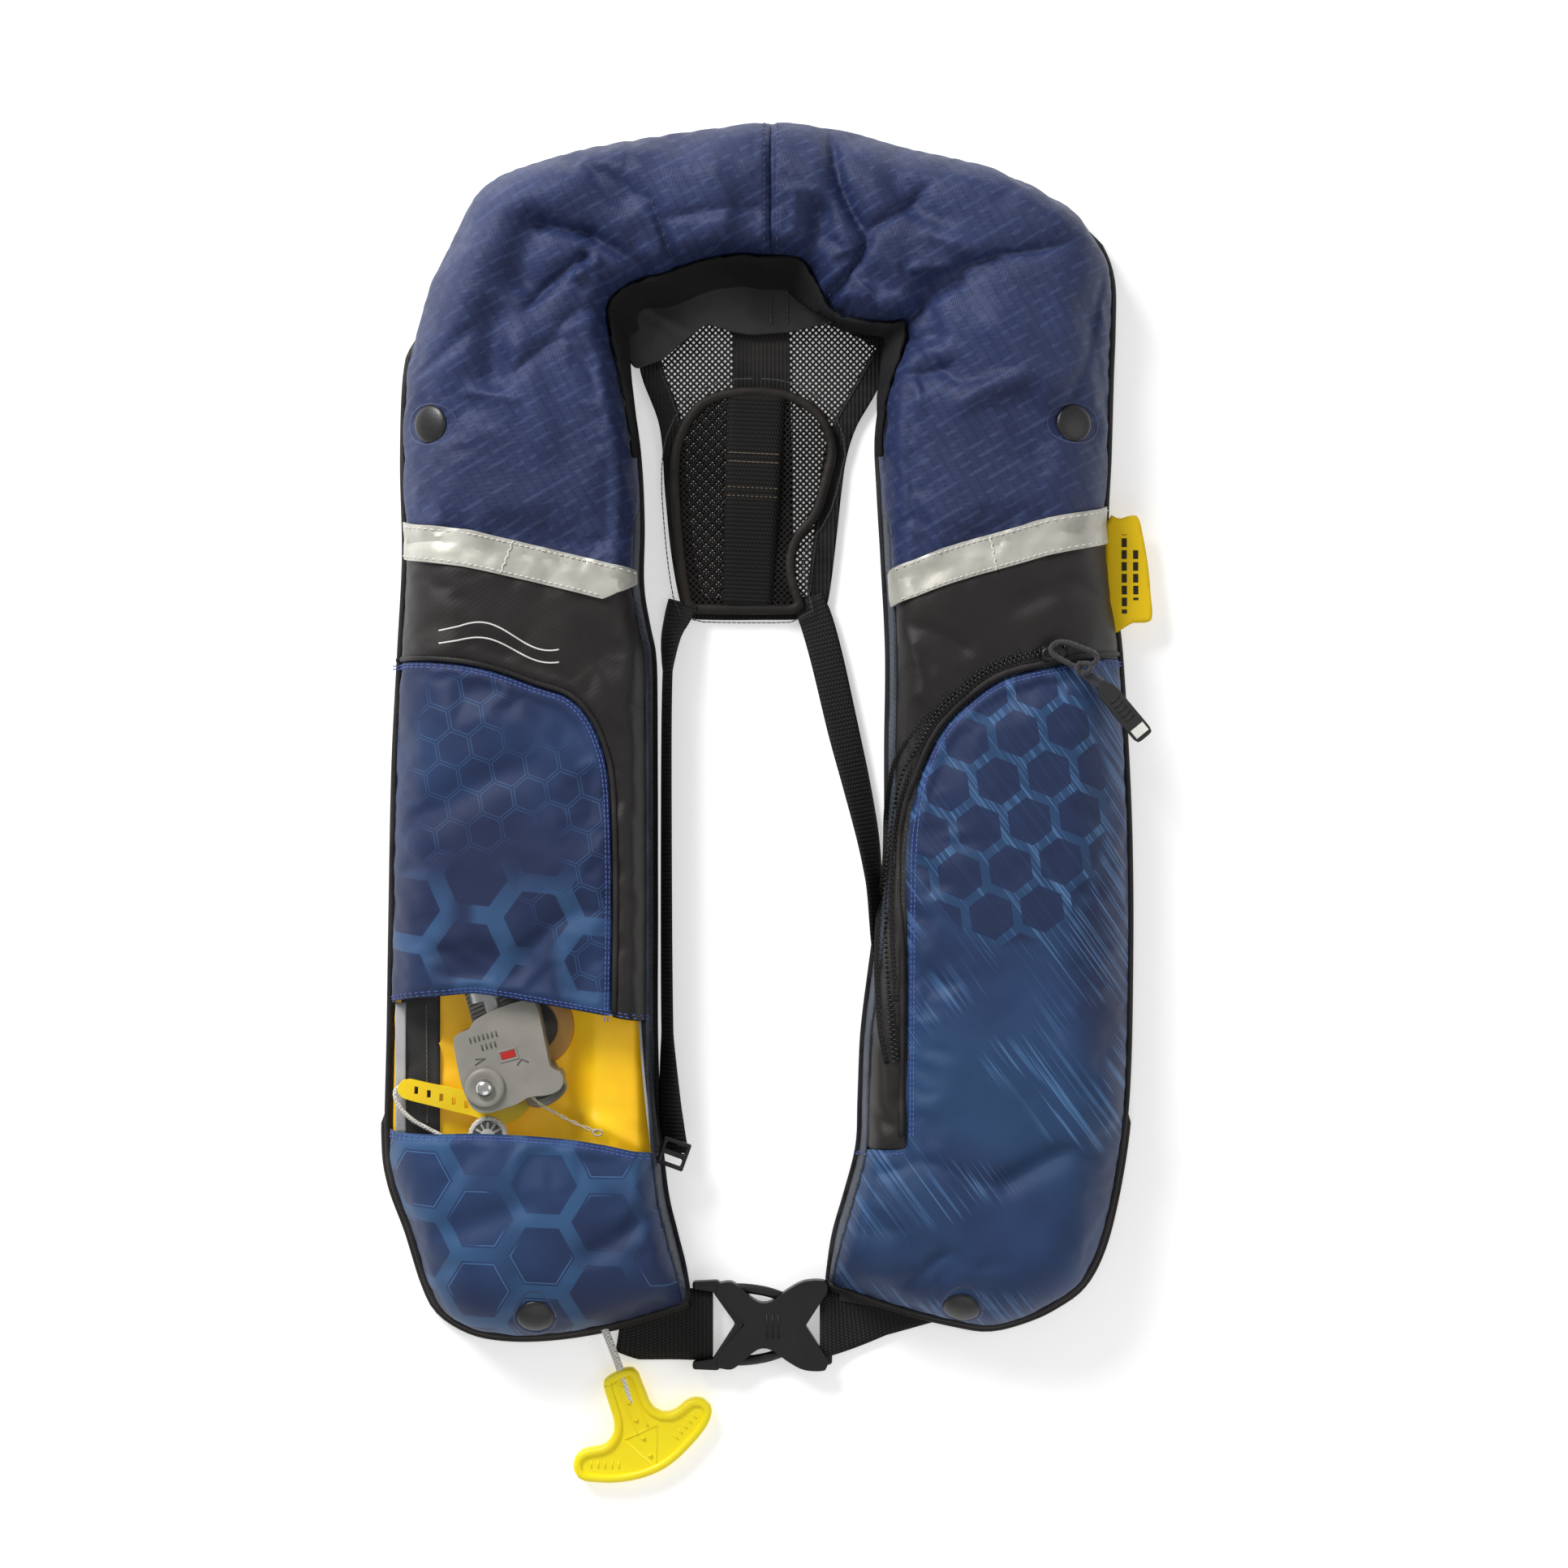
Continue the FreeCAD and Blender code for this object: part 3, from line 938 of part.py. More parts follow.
def make_oral_tube():
    """Oral inflation tube on the bladder, with its sprung valve and a ribbed dust cap."""
    end_y = HEM + dim("oral_rise")
    level = dim("oral_level")
    back = FreeCAD.Rotation(V(1, 0, 0), 90)
    x = -dim("oral_side")
    tube = disc("oral_tube_rod", "Dims.oral_radius", "Dims.oral_length", at(x, end_y, level), back)
    elbow = disc("oral_elbow", "Dims.oral_radius", "Dims.oral_level - Dims.bladder_low_top",
                 at(x, end_y - dim("oral_length") + dim("oral_radius"), dim("bladder_low_top")))
    bore = disc("oral_bore", "Dims.oral_radius - 2", "Dims.oral_length - 8", at(x, end_y + 1, level), back)
    keep("oral_tube", cut("oral_tube_done", fuse("oral_solid", tube, elbow), bore))
    stem = disc("poppet_stem", "1.2", "18", at(x, end_y - 1, level), back)
    head = disc("poppet_head", "Dims.oral_radius - 2.06", "3", at(x, end_y - 16, level), back)
    keep("oral_valve_poppet", fuse("poppet_done", stem, head))
    shell_cap = disc("cap_outer", "Dims.oral_cap_radius", "Dims.oral_cap_length",
                     at(x, end_y + 2.6, level), back)
    inside = disc("cap_inner", "Dims.oral_radius + 0.3", "Dims.oral_cap_length",
                  at(x, end_y + 0.6, level), back)
    keep("oral_dust_cap", cut("cap_done", shell_cap, inside))


# ---------------------------------------------------------------- pull handle
def make_pull_handle():
    """Braided cord out of the hem, and the moulded T-handle that hangs on it."""
    radius = dim("cord_diameter") / 2
    feature("pull_cord", cord_tube(CORD_ROUTE, radius))
    end = CORD_ROUTE[-1]
    thick = dim("handle_thick")
    low = max(end.z - thick / 2, 0.6)
    span = dim("handle_span") / 2
    bow = dim("handle_bow")
    stem = dim("handle_stem")
    # in the handle's own axes: x across it, y from the cord's end out to the bowed grip
    plan = [
        (-8.0, 1.0, 3.0), (8.0, 1.0, 3.0), (8.0, -stem, 10.0), (span - 12, -stem - 6, 9.0),
        (span, -stem - 1, 6.0), (span + 4, -stem - 9, 6.0), (span - 12, -stem - bow + 6, 22.0),
        (0.0, -stem - bow - 3, 60.0), (12 - span, -stem - bow + 6, 22.0), (-span - 4, -stem - 9, 6.0),
        (-span, -stem - 1, 6.0), (12 - span, -stem - 6, 9.0), (-8.0, -stem, 10.0),
    ]
    plan = list(reversed(plan))
    solid = Part.Face(outline(plan, 0, 0)).extrude(V(0, 0, thick))
    solid.translate(V(-AXIS_X, 0, 0))
    rim = [e for e in solid.Edges if abs(e.BoundBox.ZMax - e.BoundBox.ZMin) < 1e-6]
    solid = solid.makeFillet(1.6, rim)
    turn = FreeCAD.Rotation(V(0, 0, 1), 22)
    base = V(end.x, end.y, low) - turn.multVec(V(0, -dim("cord_in_handle"), 0))
    solid.Placement = FreeCAD.Placement(base, turn)
    feature("pull_handle", solid.cut(NODES["pull_cord"].Shape))
    grommet = passage(dim("grommet_radius")).cut(passage(dim("grommet_hole")))
    feature("cord_grommet", grommet)


def cord_clearance():
    """The space that the cord needs inside the hem."""
    radius = dim("grommet_hole")
    return Part.makeCylinder(radius, 40, CORD_EXIT, -PULL)


def plug_travel_space():
    """The space that the buckle's plug sweeps as it is drawn out of the socket."""
    half = dim("buckle_width") / 2 + 0.5
    reach = PLUG_FACE - dim("buckle_bar") - dim("belt_travel") - 4
    return strip(reach, BELT_Y - half, 0.1, 0, BELT_Y + half, dim("plug_channel"))


def passage(radius):
    """A cylinder along the cord where it leaves the hem."""
    length = dim("grommet_length")
    return Part.makeCylinder(radius, length, CORD_EXIT - PULL * (length / 2), PULL)


def pierce(labels, tools):
    """Cuts holes for snaps and other fittings through the panels that they pass."""
    for label in labels:
        shape = NODES[label].Shape
        for tool in tools:
            if shape.BoundBox.intersect(tool.BoundBox):
                shape = shape.cut(tool)
        NODES[label].Shape = shape


make_cover()
make_walls_and_back()
make_neck_facing()
make_trims()
make_zip()
make_slider()
make_zip_pull()
snap_holes = make_snaps()
make_warning_tag()
make_yoke()
make_flap()
make_straps()
make_belt()
make_buckle()
make_bladder()
make_inflator()
make_firing_parts()
make_lever()
make_oral_tube()
make_pull_handle()
pierce(["collar_cover_left", "collar_cover_right", "lower_panel_left", "pocket_panel_right", "bladder"],
       snap_holes)
pierce(["lower_panel_left", "edge_piping", "belt_sleeves", "back_panel_left"],
       [passage(dim("grommet_radius"))])
pierce(["belt_sleeves", "back_panel_left"], [cord_clearance()])
pierce(["edge_piping"], [plug_travel_space()])
doc.recompute()

# ---------------------------------------------------------------- checks and export
os.makedirs("parts", exist_ok=True)
for obj in doc.Objects:
    if "Invalid" in obj.State or "Error" in obj.State:
        raise RuntimeError(f"{obj.Name} failed: {obj.State}")
for label, obj in NODES.items():
    shape = obj.Shape
    if shape.isNull() or not shape.isValid() or not shape.Solids:
        raise RuntimeError(f"{label} has no valid solid")
for label, obj in NODES.items():
    obj.Shape.exportStep(f"parts/{label}.step")
print(f"{len(NODES)} sub-parts written")
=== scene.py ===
import math

import bpy
import numpy as np
from mathutils import Matrix, Vector, noise
from mathutils.bvhtree import BVHTree


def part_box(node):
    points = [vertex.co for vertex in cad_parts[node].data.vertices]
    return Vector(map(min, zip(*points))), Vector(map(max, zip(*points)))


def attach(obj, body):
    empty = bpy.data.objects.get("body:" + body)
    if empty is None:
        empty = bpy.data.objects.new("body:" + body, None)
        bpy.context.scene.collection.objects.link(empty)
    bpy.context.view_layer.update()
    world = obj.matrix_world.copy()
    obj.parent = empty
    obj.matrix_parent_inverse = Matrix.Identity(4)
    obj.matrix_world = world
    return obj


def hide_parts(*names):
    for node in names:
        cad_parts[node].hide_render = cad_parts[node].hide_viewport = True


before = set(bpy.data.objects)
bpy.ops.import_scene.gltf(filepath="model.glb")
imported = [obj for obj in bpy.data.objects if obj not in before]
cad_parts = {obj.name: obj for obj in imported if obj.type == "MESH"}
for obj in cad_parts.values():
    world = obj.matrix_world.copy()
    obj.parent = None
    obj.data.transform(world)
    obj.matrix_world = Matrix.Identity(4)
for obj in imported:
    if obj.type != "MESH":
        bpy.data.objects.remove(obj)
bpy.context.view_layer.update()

# Looks of an inflatable life jacket lying on its back panels.  Plan positions and sizes are written in
# millimetres in the frame's own axes and turned into metres by MM where a mesh is made.
MM = 0.001
TAU = 2 * math.pi


def node_box(node):
    """Lowest and highest corner of a CAD node, in millimetres."""
    low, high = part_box(node)
    return np.array(low) / MM, np.array(high) / MM


def middle(node):
    """Middle of a CAD node's box, in millimetres."""
    low, high = node_box(node)
    return (low + high) / 2


# ---------------------------------------------------------------- heights taken from the frame
LOBE_TOP = node_box("chest_panel_left")[1][2]
COVER_LOW = 4.0
CAMERA_HEIGHT = 1.87
FRAME_WIDTH = 0.8114


# ---------------------------------------------------------------- shader graphs
class Graph:
    """A material whose colour, roughness and bump are built up from small node calls."""

    def __init__(self, name, color=(0.5, 0.5, 0.5), rough=0.6, metal=0.0, **sockets):
        self.material = bpy.data.materials.new(name)
        self.material.use_nodes = True
        self.tree = self.material.node_tree
        self.shader = self.tree.nodes["Principled BSDF"]
        self.shader.inputs["Base Color"].default_value = (*color, 1)
        self.shader.inputs["Roughness"].default_value = rough
        self.shader.inputs["Metallic"].default_value = metal
        for key, value in sockets.items():
            socket = self.shader.inputs[key.replace("_", " ")]
            socket.default_value = value
        self.place = self.node("ShaderNodeTexCoord").outputs["Object"]
        parts = self.node("ShaderNodeSeparateXYZ")
        self.link(self.place, parts.inputs[0])
        self.x, self.y, self.z = parts.outputs
        self.heights = []

    def node(self, kind):
        return self.tree.nodes.new(kind)

    def link(self, source, socket):
        if isinstance(source, (int, float)):
            socket.default_value = source
        else:
            self.tree.links.new(source, socket)

    def math(self, operation, *values):
        node = self.node("ShaderNodeMath")
        node.operation = operation
        for value, socket in zip(values, node.inputs):
            self.link(value, socket)
        return node.outputs[0]

    def add(self, a, b):
        return self.math("ADD", a, b)

    def mul(self, a, b):
        return self.math("MULTIPLY", a, b)

    def step(self, value, low, high):
        """0 below low, 1 above high, smooth between; low may be above high."""
        node = self.node("ShaderNodeMapRange")
        node.interpolation_type = "SMOOTHSTEP"
        flip = low > high
        self.link(value, node.inputs[0])
        node.inputs[1].default_value = min(low, high)
        node.inputs[2].default_value = max(low, high)
        node.inputs[3].default_value = 1.0 if flip else 0.0
        node.inputs[4].default_value = 0.0 if flip else 1.0
        return node.outputs[0]

    def vector(self, x, y, z=0.0):
        node = self.node("ShaderNodeCombineXYZ")
        for value, socket in zip((x, y, z), node.inputs):
            self.link(value, socket)
        return node.outputs[0]

    def turned(self, degrees):
        """Plan coordinates turned by an angle, so that a pattern runs on the bias."""
        c, s = math.cos(math.radians(degrees)), math.sin(math.radians(degrees))
        u = self.add(self.mul(self.x, c), self.mul(self.y, s))
        v = self.add(self.mul(self.y, c), self.mul(self.x, -s))
        return u, v

    def noise(self, scale, detail=2.0, vector=None, rough=0.5):
        node = self.node("ShaderNodeTexNoise")
        self.link(self.place if vector is None else vector, node.inputs["Vector"])
        node.inputs["Scale"].default_value = scale
        node.inputs["Detail"].default_value = detail
        node.inputs["Roughness"].default_value = rough
        return node.outputs[0]

    def wave(self, value, period):
        """0 to 1 sine of a length, in metres."""
        turns = self.mul(value, TAU / period)
        return self.add(self.mul(self.math("SINE", turns), 0.5), 0.5)

    def lines(self, value, period, width):
        """1 on thin lines a period apart, 0 between."""
        part = self.math("FRACT", self.mul(value, 1 / period))
        off = self.math("ABSOLUTE", self.math("SUBTRACT", part, 0.5))
        return self.step(off, width / period, width / period * 0.4)

    def mix(self, factor, low, high):
        node = self.node("ShaderNodeMix")
        node.data_type = "RGBA"
        self.link(factor, node.inputs["Factor"])
        for value, socket in ((low, node.inputs[6]), (high, node.inputs[7])):
            if isinstance(value, tuple):
                socket.default_value = (*value, 1)
            else:
                self.link(value, socket)
        return node.outputs[2]

    def color(self, value):
        self.link(value, self.shader.inputs["Base Color"])

    def rough(self, value):
        self.link(value, self.shader.inputs["Roughness"])

    def bump(self, height, size):
        """Adds relief of a size in metres."""
        node = self.node("ShaderNodeBump")
        node.inputs["Strength"].default_value = 1.0
        node.inputs["Distance"].default_value = size
        self.link(height, node.inputs["Height"])
        if self.heights:
            self.link(self.heights[-1], node.inputs["Normal"])
        self.heights.append(node.outputs[0])
        self.link(node.outputs[0], self.shader.inputs["Normal"])

    def hexes(self, size, degrees, shift=(0.0, 0.0)):
        """Distance from the nearest hexagon side, 0 at the side and 0.5 at a cell's middle."""
        u, v = self.turned(degrees)
        u = self.mul(self.add(u, shift[0]), 1 / size)
        v = self.mul(self.add(v, shift[1]), 1 / size)
        tall = math.sqrt(3)
        spans = []
        for du, dv in ((0.0, 0.0), (0.5, tall / 2)):
            a = self.math("SUBTRACT", self.math("FLOORED_MODULO", self.add(u, du), 1.0), 0.5)
            b = self.math("SUBTRACT", self.math("FLOORED_MODULO", self.add(v, dv), tall), tall / 2)
            a = self.math("ABSOLUTE", a)
            b = self.math("ABSOLUTE", b)
            slant = self.add(self.mul(a, 0.5), self.mul(b, tall / 2))
            spans.append(self.math("MAXIMUM", a, slant))
        nearest = self.math("MINIMUM", spans[0], spans[1])
        return self.math("SUBTRACT", 0.5, nearest)


def worn(g, low, high, scale=14.0):
    """Slow colour variation between two shades."""
    cloud = g.noise(scale, 3.0)
    return g.mix(g.step(cloud, 0.35, 0.68), low, high)


def twill(g, period=0.0009, depth=0.00012, degrees=35.0):
    """Fine diagonal ribs of a twill weave with the odd slub."""
    u, v = g.turned(degrees)
    ribs = g.wave(u, period)
    cross = g.wave(v, period * 2.6)
    grain = g.noise(900.0, 1.0)
    weave = g.add(g.mul(ribs, 0.6), g.add(g.mul(cross, 0.2), g.mul(grain, 0.2)))
    g.bump(weave, depth)
    return weave


def ripstop():
    """Blue ripstop: a fine weave with doubled reinforcing threads in a bias grid."""
    g = Graph("ripstop_blue", (0.05, 0.09, 0.25), 0.52, Specular_IOR_Level=0.32)
    u, v = g.turned(30.0)
    u = g.add(u, g.mul(g.noise(16.0, 2.0), 0.006))
    warp = g.math("MAXIMUM", g.lines(u, 0.0052, 0.00028), g.lines(g.add(u, 0.0009), 0.0052, 0.00028))
    weft = g.math("MAXIMUM", g.lines(v, 0.0060, 0.00028), g.lines(g.add(v, 0.0009), 0.0060, 0.00028))
    dashes = g.step(g.noise(160.0, 1.0), 0.42, 0.58)
    base = worn(g, (0.015, 0.024, 0.078), (0.024, 0.037, 0.108))
    shade = g.mix(g.mul(warp, 0.45), base, (0.008, 0.013, 0.050))
    shade = g.mix(g.mul(g.mul(weft, dashes), 0.42), shade, (0.085, 0.130, 0.300))
    g.color(shade)
    g.rough(g.add(0.50, g.mul(g.noise(600.0, 2.0), 0.12)))
    g.bump(g.math("MAXIMUM", warp, weft), 0.00006)
    twill(g, 0.0009, 0.00016, 8.0)
    return g.material


def satin_black():
    """Black satin with a faint twill."""
    g = Graph("satin_black", (0.017, 0.014, 0.013), 0.50, Specular_IOR_Level=0.30)
    weave = twill(g)
    base = worn(g, (0.011, 0.009, 0.009), (0.020, 0.017, 0.016))
    g.color(g.mix(g.mul(weave, 0.35), base, (0.032, 0.028, 0.027)))
    return g.material


def print_base(g, degrees=-40.0):
    """Navy cloud ground shared by the printed panels."""
    u, v = g.turned(degrees)
    cloud = g.noise(9.0, 2.0, g.vector(u, g.mul(v, 1.5), g.z))
    return g.mix(g.step(cloud, 0.34, 0.76), (0.010, 0.018, 0.062), (0.018, 0.045, 0.128))


def print_hex_lines():
    """Left pocket: thin doubled hexagon outlines that fade in and out, and struts low down."""
    g = Graph("print_navy_hex", (0.02, 0.05, 0.15), 0.56, Specular_IOR_Level=0.26)
    base = print_base(g)
    edge = g.hexes(0.0172, 10.0, (0.004, 0.003))
    band = g.math("ABSOLUTE", g.math("SUBTRACT", edge, 0.045))
    fade = g.step(g.noise(17.0, 1.0), 0.44, 0.60)
    line = g.mul(g.step(band, 0.020, 0.008), fade)
    big = g.hexes(0.038, 24.0, (0.012, 0.0))
    strut = g.mul(g.step(big, 0.13, 0.115), g.step(g.y, -0.055, -0.085))
    broken = g.step(g.noise(24.0, 1.0, g.vector(g.x, g.mul(g.y, 0.3))), 0.42, 0.50)
    strut = g.mul(strut, broken)
    shade = g.mix(g.mul(line, 0.5), base, (0.050, 0.13, 0.29))
    shade = g.mix(g.mul(strut, 0.7), shade, (0.036, 0.100, 0.225))
    weave = twill(g, 0.0008, 0.00010, -42.0)
    g.color(g.mix(g.mul(weave, 0.10), shade, (0.07, 0.11, 0.24)))
    return g.material


def print_struts():
    """Lower panel: large dark hexagons parted by lighter struts."""
    g = Graph("print_navy_struts", (0.02, 0.05, 0.15), 0.56, Specular_IOR_Level=0.26)
    base = print_base(g)
    edge = g.hexes(0.0370, 88.0, (0.006, 0.021))
    strut = g.step(edge, 0.105, 0.088)
    cloud = g.step(g.noise(20.0, 1.0), 0.36, 0.58)
    light = g.mix(g.noise(30.0), (0.020, 0.065, 0.165), (0.042, 0.120, 0.255))
    plain = g.step(g.add(g.x, g.mul(g.add(g.y, 0.25), -0.6)), -0.052, -0.082)
    shade = g.mix(g.mul(g.mul(strut, plain), g.add(0.25, g.mul(cloud, 0.65))), base, light)
    inner = g.math("ABSOLUTE", g.math("SUBTRACT", edge, 0.128))
    line = g.mul(g.step(inner, 0.012, 0.004), g.step(g.noise(26.0, 1.0), 0.52, 0.60))
    shade = g.mix(g.mul(line, 0.6), shade, (0.08, 0.20, 0.42))
    weave = twill(g, 0.0008, 0.00010, -42.0)
    g.color(g.mix(g.mul(weave, 0.10), shade, (0.07, 0.11, 0.24)))
    return g.material


def print_streaks():
    """Right pocket: dark hexagons on a lighter ground that breaks into slanting brushed streaks."""
    g = Graph("print_navy_streaks", (0.02, 0.05, 0.15), 0.56, Specular_IOR_Level=0.26)
    base = print_base(g, -50.0)
    u, v = g.turned(-54.0)
    glow_place = g.vector(g.mul(u, 7.0), g.mul(v, 13.0), g.z)
    glow = g.step(g.noise(1.0, 1.0, glow_place), 0.44, 0.72)
    off_x = g.mul(g.add(g.x, -0.122), 1 / 0.056)
    off_y = g.mul(g.add(g.y, 0.028), 1 / 0.078)
    spread = g.add(g.mul(off_x, off_x), g.mul(off_y, off_y))
    zone = g.step(spread, 1.15, 0.75)
    shade = g.mix(g.mul(g.math("MAXIMUM", glow, zone), 0.62), base, (0.021, 0.068, 0.162))
    for scale, bound, light in ((430.0, 0.54, (0.070, 0.170, 0.35)), (820.0, 0.60, (0.110, 0.240, 0.46))):
        streak = g.noise(1.0, 1.0, g.vector(g.mul(u, 11.0), g.mul(v, scale), 0.3), 0.6)
        patch = g.math("MAXIMUM", g.step(g.noise(17.0, 1.0), 0.46, 0.58), zone)
        shade = g.mix(g.mul(g.mul(g.step(streak, bound, bound + 0.06), patch), 0.5), shade, light)
    edge = g.hexes(0.0262, 8.0, (0.004, 0.011))
    island = g.mul(g.step(edge, 0.082, 0.092), g.step(spread, 1.0, 0.8))
    shade = g.mix(g.mul(island, 0.92), shade, (0.011, 0.021, 0.070))
    weave = twill(g, 0.0008, 0.00010, -42.0)
    g.color(g.mix(g.mul(weave, 0.10), shade, (0.07, 0.11, 0.24)))
    return g.material


def cloth(name, low, high, rough=0.75, period=0.0010, depth=0.00015, degrees=45.0, sheen=0.0):
    """A plain woven cloth between two shades."""
    g = Graph(name, low, rough, Specular_IOR_Level=0.25, Sheen_Weight=sheen, Sheen_Roughness=0.5)
    weave = twill(g, period, depth, degrees)
    g.color(g.mix(g.mul(weave, 0.4), worn(g, low, high, 30.0), high))
    return g.material


def tag_cloth():
    """Yellow label cloth with two rows of plain dark bars."""
    g = Graph("tag_yellow", (0.95, 0.64, 0.004), 0.6, Specular_IOR_Level=0.25)
    weave = twill(g, 0.0007, 0.00008, 45.0)
    bars = []
    for x, half in ((0.1856, 0.021), (0.1916, 0.014)):
        across = g.math("ABSOLUTE", g.add(g.x, -x))
        along_bar = g.math("ABSOLUTE", g.add(g.y, -0.0905))
        bar = g.mul(g.step(across, 0.0016, 0.0012), g.step(along_bar, half, half - 0.0006))
        bars.append(g.mul(bar, g.step(g.wave(g.y, 0.0062), 0.10, 0.20)))
    ground = g.mix(g.mul(weave, 0.4), (0.95, 0.62, 0.004), (1.0, 0.72, 0.010))
    g.color(g.mix(g.math("MAXIMUM", bars[0], bars[1]), ground, (0.03, 0.025, 0.01)))
    return g.material


def webbing(name, low, high):
    """Ribbed webbing: rows of small raised picks across the strap."""
    g = Graph(name, low, 0.7, Specular_IOR_Level=0.25)
    uv = g.node("ShaderNodeUVMap").outputs[0]
    parts = g.node("ShaderNodeSeparateXYZ")
    g.link(uv, parts.inputs[0])
    along, across = parts.outputs[0], parts.outputs[1]
    picks = g.mul(g.wave(along, 0.0022), g.wave(g.add(across, g.mul(along, 0.35)), 0.0016))
    g.color(g.mix(picks, low, high))
    g.bump(picks, 0.0005)
    return g.material


def moulded(name, color, dark, rough=0.35, grain=0.00004):
    """Injection-moulded plastic with a fine grain, slight mottling and scuffs."""
    g = Graph(name, color, rough)
    g.color(g.mix(g.step(g.noise(60.0, 4.0), 0.3, 0.75), dark, color))
    g.rough(g.add(rough - 0.05, g.mul(g.noise(420.0, 3.0), 0.16)))
    g.bump(g.noise(1500.0, 2.0), grain)
    return g.material


def metal(name, color, rough=0.28):
    """Metal with a brushed sheen."""
    g = Graph(name, color, rough, 1.0)
    g.color(g.mix(g.noise(90.0, 3.0), color, tuple(0.8 * c for c in color)))
    brushed = g.noise(300.0, 2.0, g.vector(g.mul(g.x, 8.0), g.y, g.z))
    g.rough(g.add(rough - 0.06, g.mul(brushed, 0.18)))
    g.bump(brushed, 0.00002)
    return g.material


def braid(name, low, high, period=0.0022):
    """Braided cord: crossing diagonal strands."""
    g = Graph(name, low, 0.72, Sheen_Weight=0.2, Sheen_Roughness=0.5)
    left = g.wave(g.add(g.add(g.x, g.y), g.z), period)
    right = g.wave(g.add(g.math("SUBTRACT", g.y, g.x), g.mul(g.z, -1.0)), period)
    strands = g.math("MAXIMUM", left, right)
    g.color(g.mix(strands, low, high))
    g.bump(strands, 0.0004)
    return g.material


def thread(name, color, light):
    """Twisted sewing thread."""
    g = Graph(name, color, 0.6, Sheen_Weight=0.2)
    twist = g.wave(g.add(g.x, g.y), 0.0007)
    g.color(g.mix(twist, color, light))
    g.bump(twist, 0.00015)
    return g.material


def reflective():
    """Glass-bead tape: silver beige with a fine bead grain and handling creases."""
    g = Graph("reflective_silver", (0.47, 0.46, 0.40), 0.42, 0.25)
    beads = g.noise(1600.0, 1.0)
    crease = g.noise(45.0, 3.0)
    g.color(g.mix(g.step(crease, 0.3, 0.7), (0.39, 0.38, 0.33), (0.55, 0.54, 0.48)))
    g.bump(beads, 0.00005)
    g.bump(crease, 0.0006)
    return g.material


def bladder_cloth():
    # The emission is painted light: a faint glow that brightens the amber bladder where it lies in shade
    # under the cover.
    g = Graph("bladder_amber", (0.93, 0.42, 0.008), 0.42, Emission_Color=(1.0, 0.55, 0.0, 1.0),
              Emission_Strength=0.16)
    g.color(worn(g, (0.96, 0.52, 0.0), (1.0, 0.66, 0.002), 22.0))
    g.bump(g.noise(38.0, 3.0), 0.0012)
    g.bump(g.noise(1300.0, 1.0), 0.00004)
    return g.material


def clear_film():
    """Clear vinyl: nearly invisible but for its gloss and faint milky scuffs."""
    g = Graph("clear_vinyl", (0.30, 0.31, 0.33), 0.05, IOR=1.12, Specular_IOR_Level=0.3)
    scuff = g.step(g.noise(34.0, 4.0), 0.50, 0.80)
    g.link(g.add(0.01, g.mul(scuff, 0.02)), g.shader.inputs["Alpha"])
    g.rough(g.add(0.04, g.mul(scuff, 0.2)))
    g.bump(g.noise(20.0, 2.0), 0.0012)
    return g.material


BLUE_THREAD = thread("thread_blue", (0.035, 0.075, 0.36), (0.10, 0.18, 0.62))
WHITE_THREAD = thread("thread_white", (0.72, 0.71, 0.68), (0.92, 0.91, 0.88))
DARK_THREAD = thread("thread_dark", (0.012, 0.012, 0.014), (0.035, 0.035, 0.04))
NAVY_THREAD = thread("thread_navy", (0.012, 0.022, 0.085), (0.03, 0.05, 0.15))
TAN_THREAD = thread("thread_tan", (0.11, 0.075, 0.042), (0.20, 0.14, 0.08))
RIPSTOP = ripstop()
SATIN = satin_black()
HEX_LINES = print_hex_lines()
STRUTS = print_struts()
STREAKS = print_streaks()
PIPING = cloth("piping_black", (0.010, 0.009, 0.009), (0.030, 0.027, 0.026), 0.55, 0.0012)
NEOPRENE = cloth("neoprene_black", (0.006, 0.006, 0.007), (0.014, 0.013, 0.014), 0.85, 0.0014)
FACING = cloth("facing_charcoal", (0.012, 0.0115, 0.0115), (0.034, 0.033, 0.033), 0.45, 0.0012)
GUSSET = cloth("gusset_charcoal", (0.015, 0.020, 0.034), (0.052, 0.062, 0.085), 0.6, 0.0022, 0.0004)
BACKING = cloth("back_fabric", (0.010, 0.010, 0.012), (0.024, 0.024, 0.028), 0.7, 0.0012)
SPACER = cloth("spacer_mesh", (0.004, 0.004, 0.004), (0.022, 0.020, 0.019), 0.8, 0.0021, 0.0006, 0.0)
MESH = cloth("open_mesh", (0.006, 0.0055, 0.005), (0.016, 0.014, 0.013), 0.6, 0.0011)
BINDING = cloth("binding_brown_black", (0.009, 0.007, 0.006), (0.021, 0.017, 0.014), 0.6, 0.0010)
WEBBING = webbing("webbing_black", (0.006, 0.006, 0.006), (0.040, 0.037, 0.034))
FLAP_WEBBING = webbing("webbing_flap", (0.002, 0.002, 0.002), (0.012, 0.010, 0.008))
TAPE_SILVER = reflective()
BLADDER = bladder_cloth()
FILM = clear_film()
GREY = moulded("inflator_grey", (0.31, 0.295, 0.26), (0.25, 0.24, 0.21), 0.40)
YELLOW = moulded("handle_yellow", (1.0, 0.84, 0.0), (1.0, 0.78, 0.0), 0.38)
LEVER_YELLOW = moulded("lever_yellow", (1.0, 0.74, 0.0), (1.0, 0.66, 0.0), 0.36)
TAG_YELLOW = tag_cloth()
BLACK_PLASTIC = moulded("buckle_plastic", (0.006, 0.006, 0.006), (0.003, 0.003, 0.003), 0.42)
SNAP_BLACK = moulded("snap_black", (0.016, 0.015, 0.015), (0.010, 0.010, 0.010), 0.34, 0.00009)
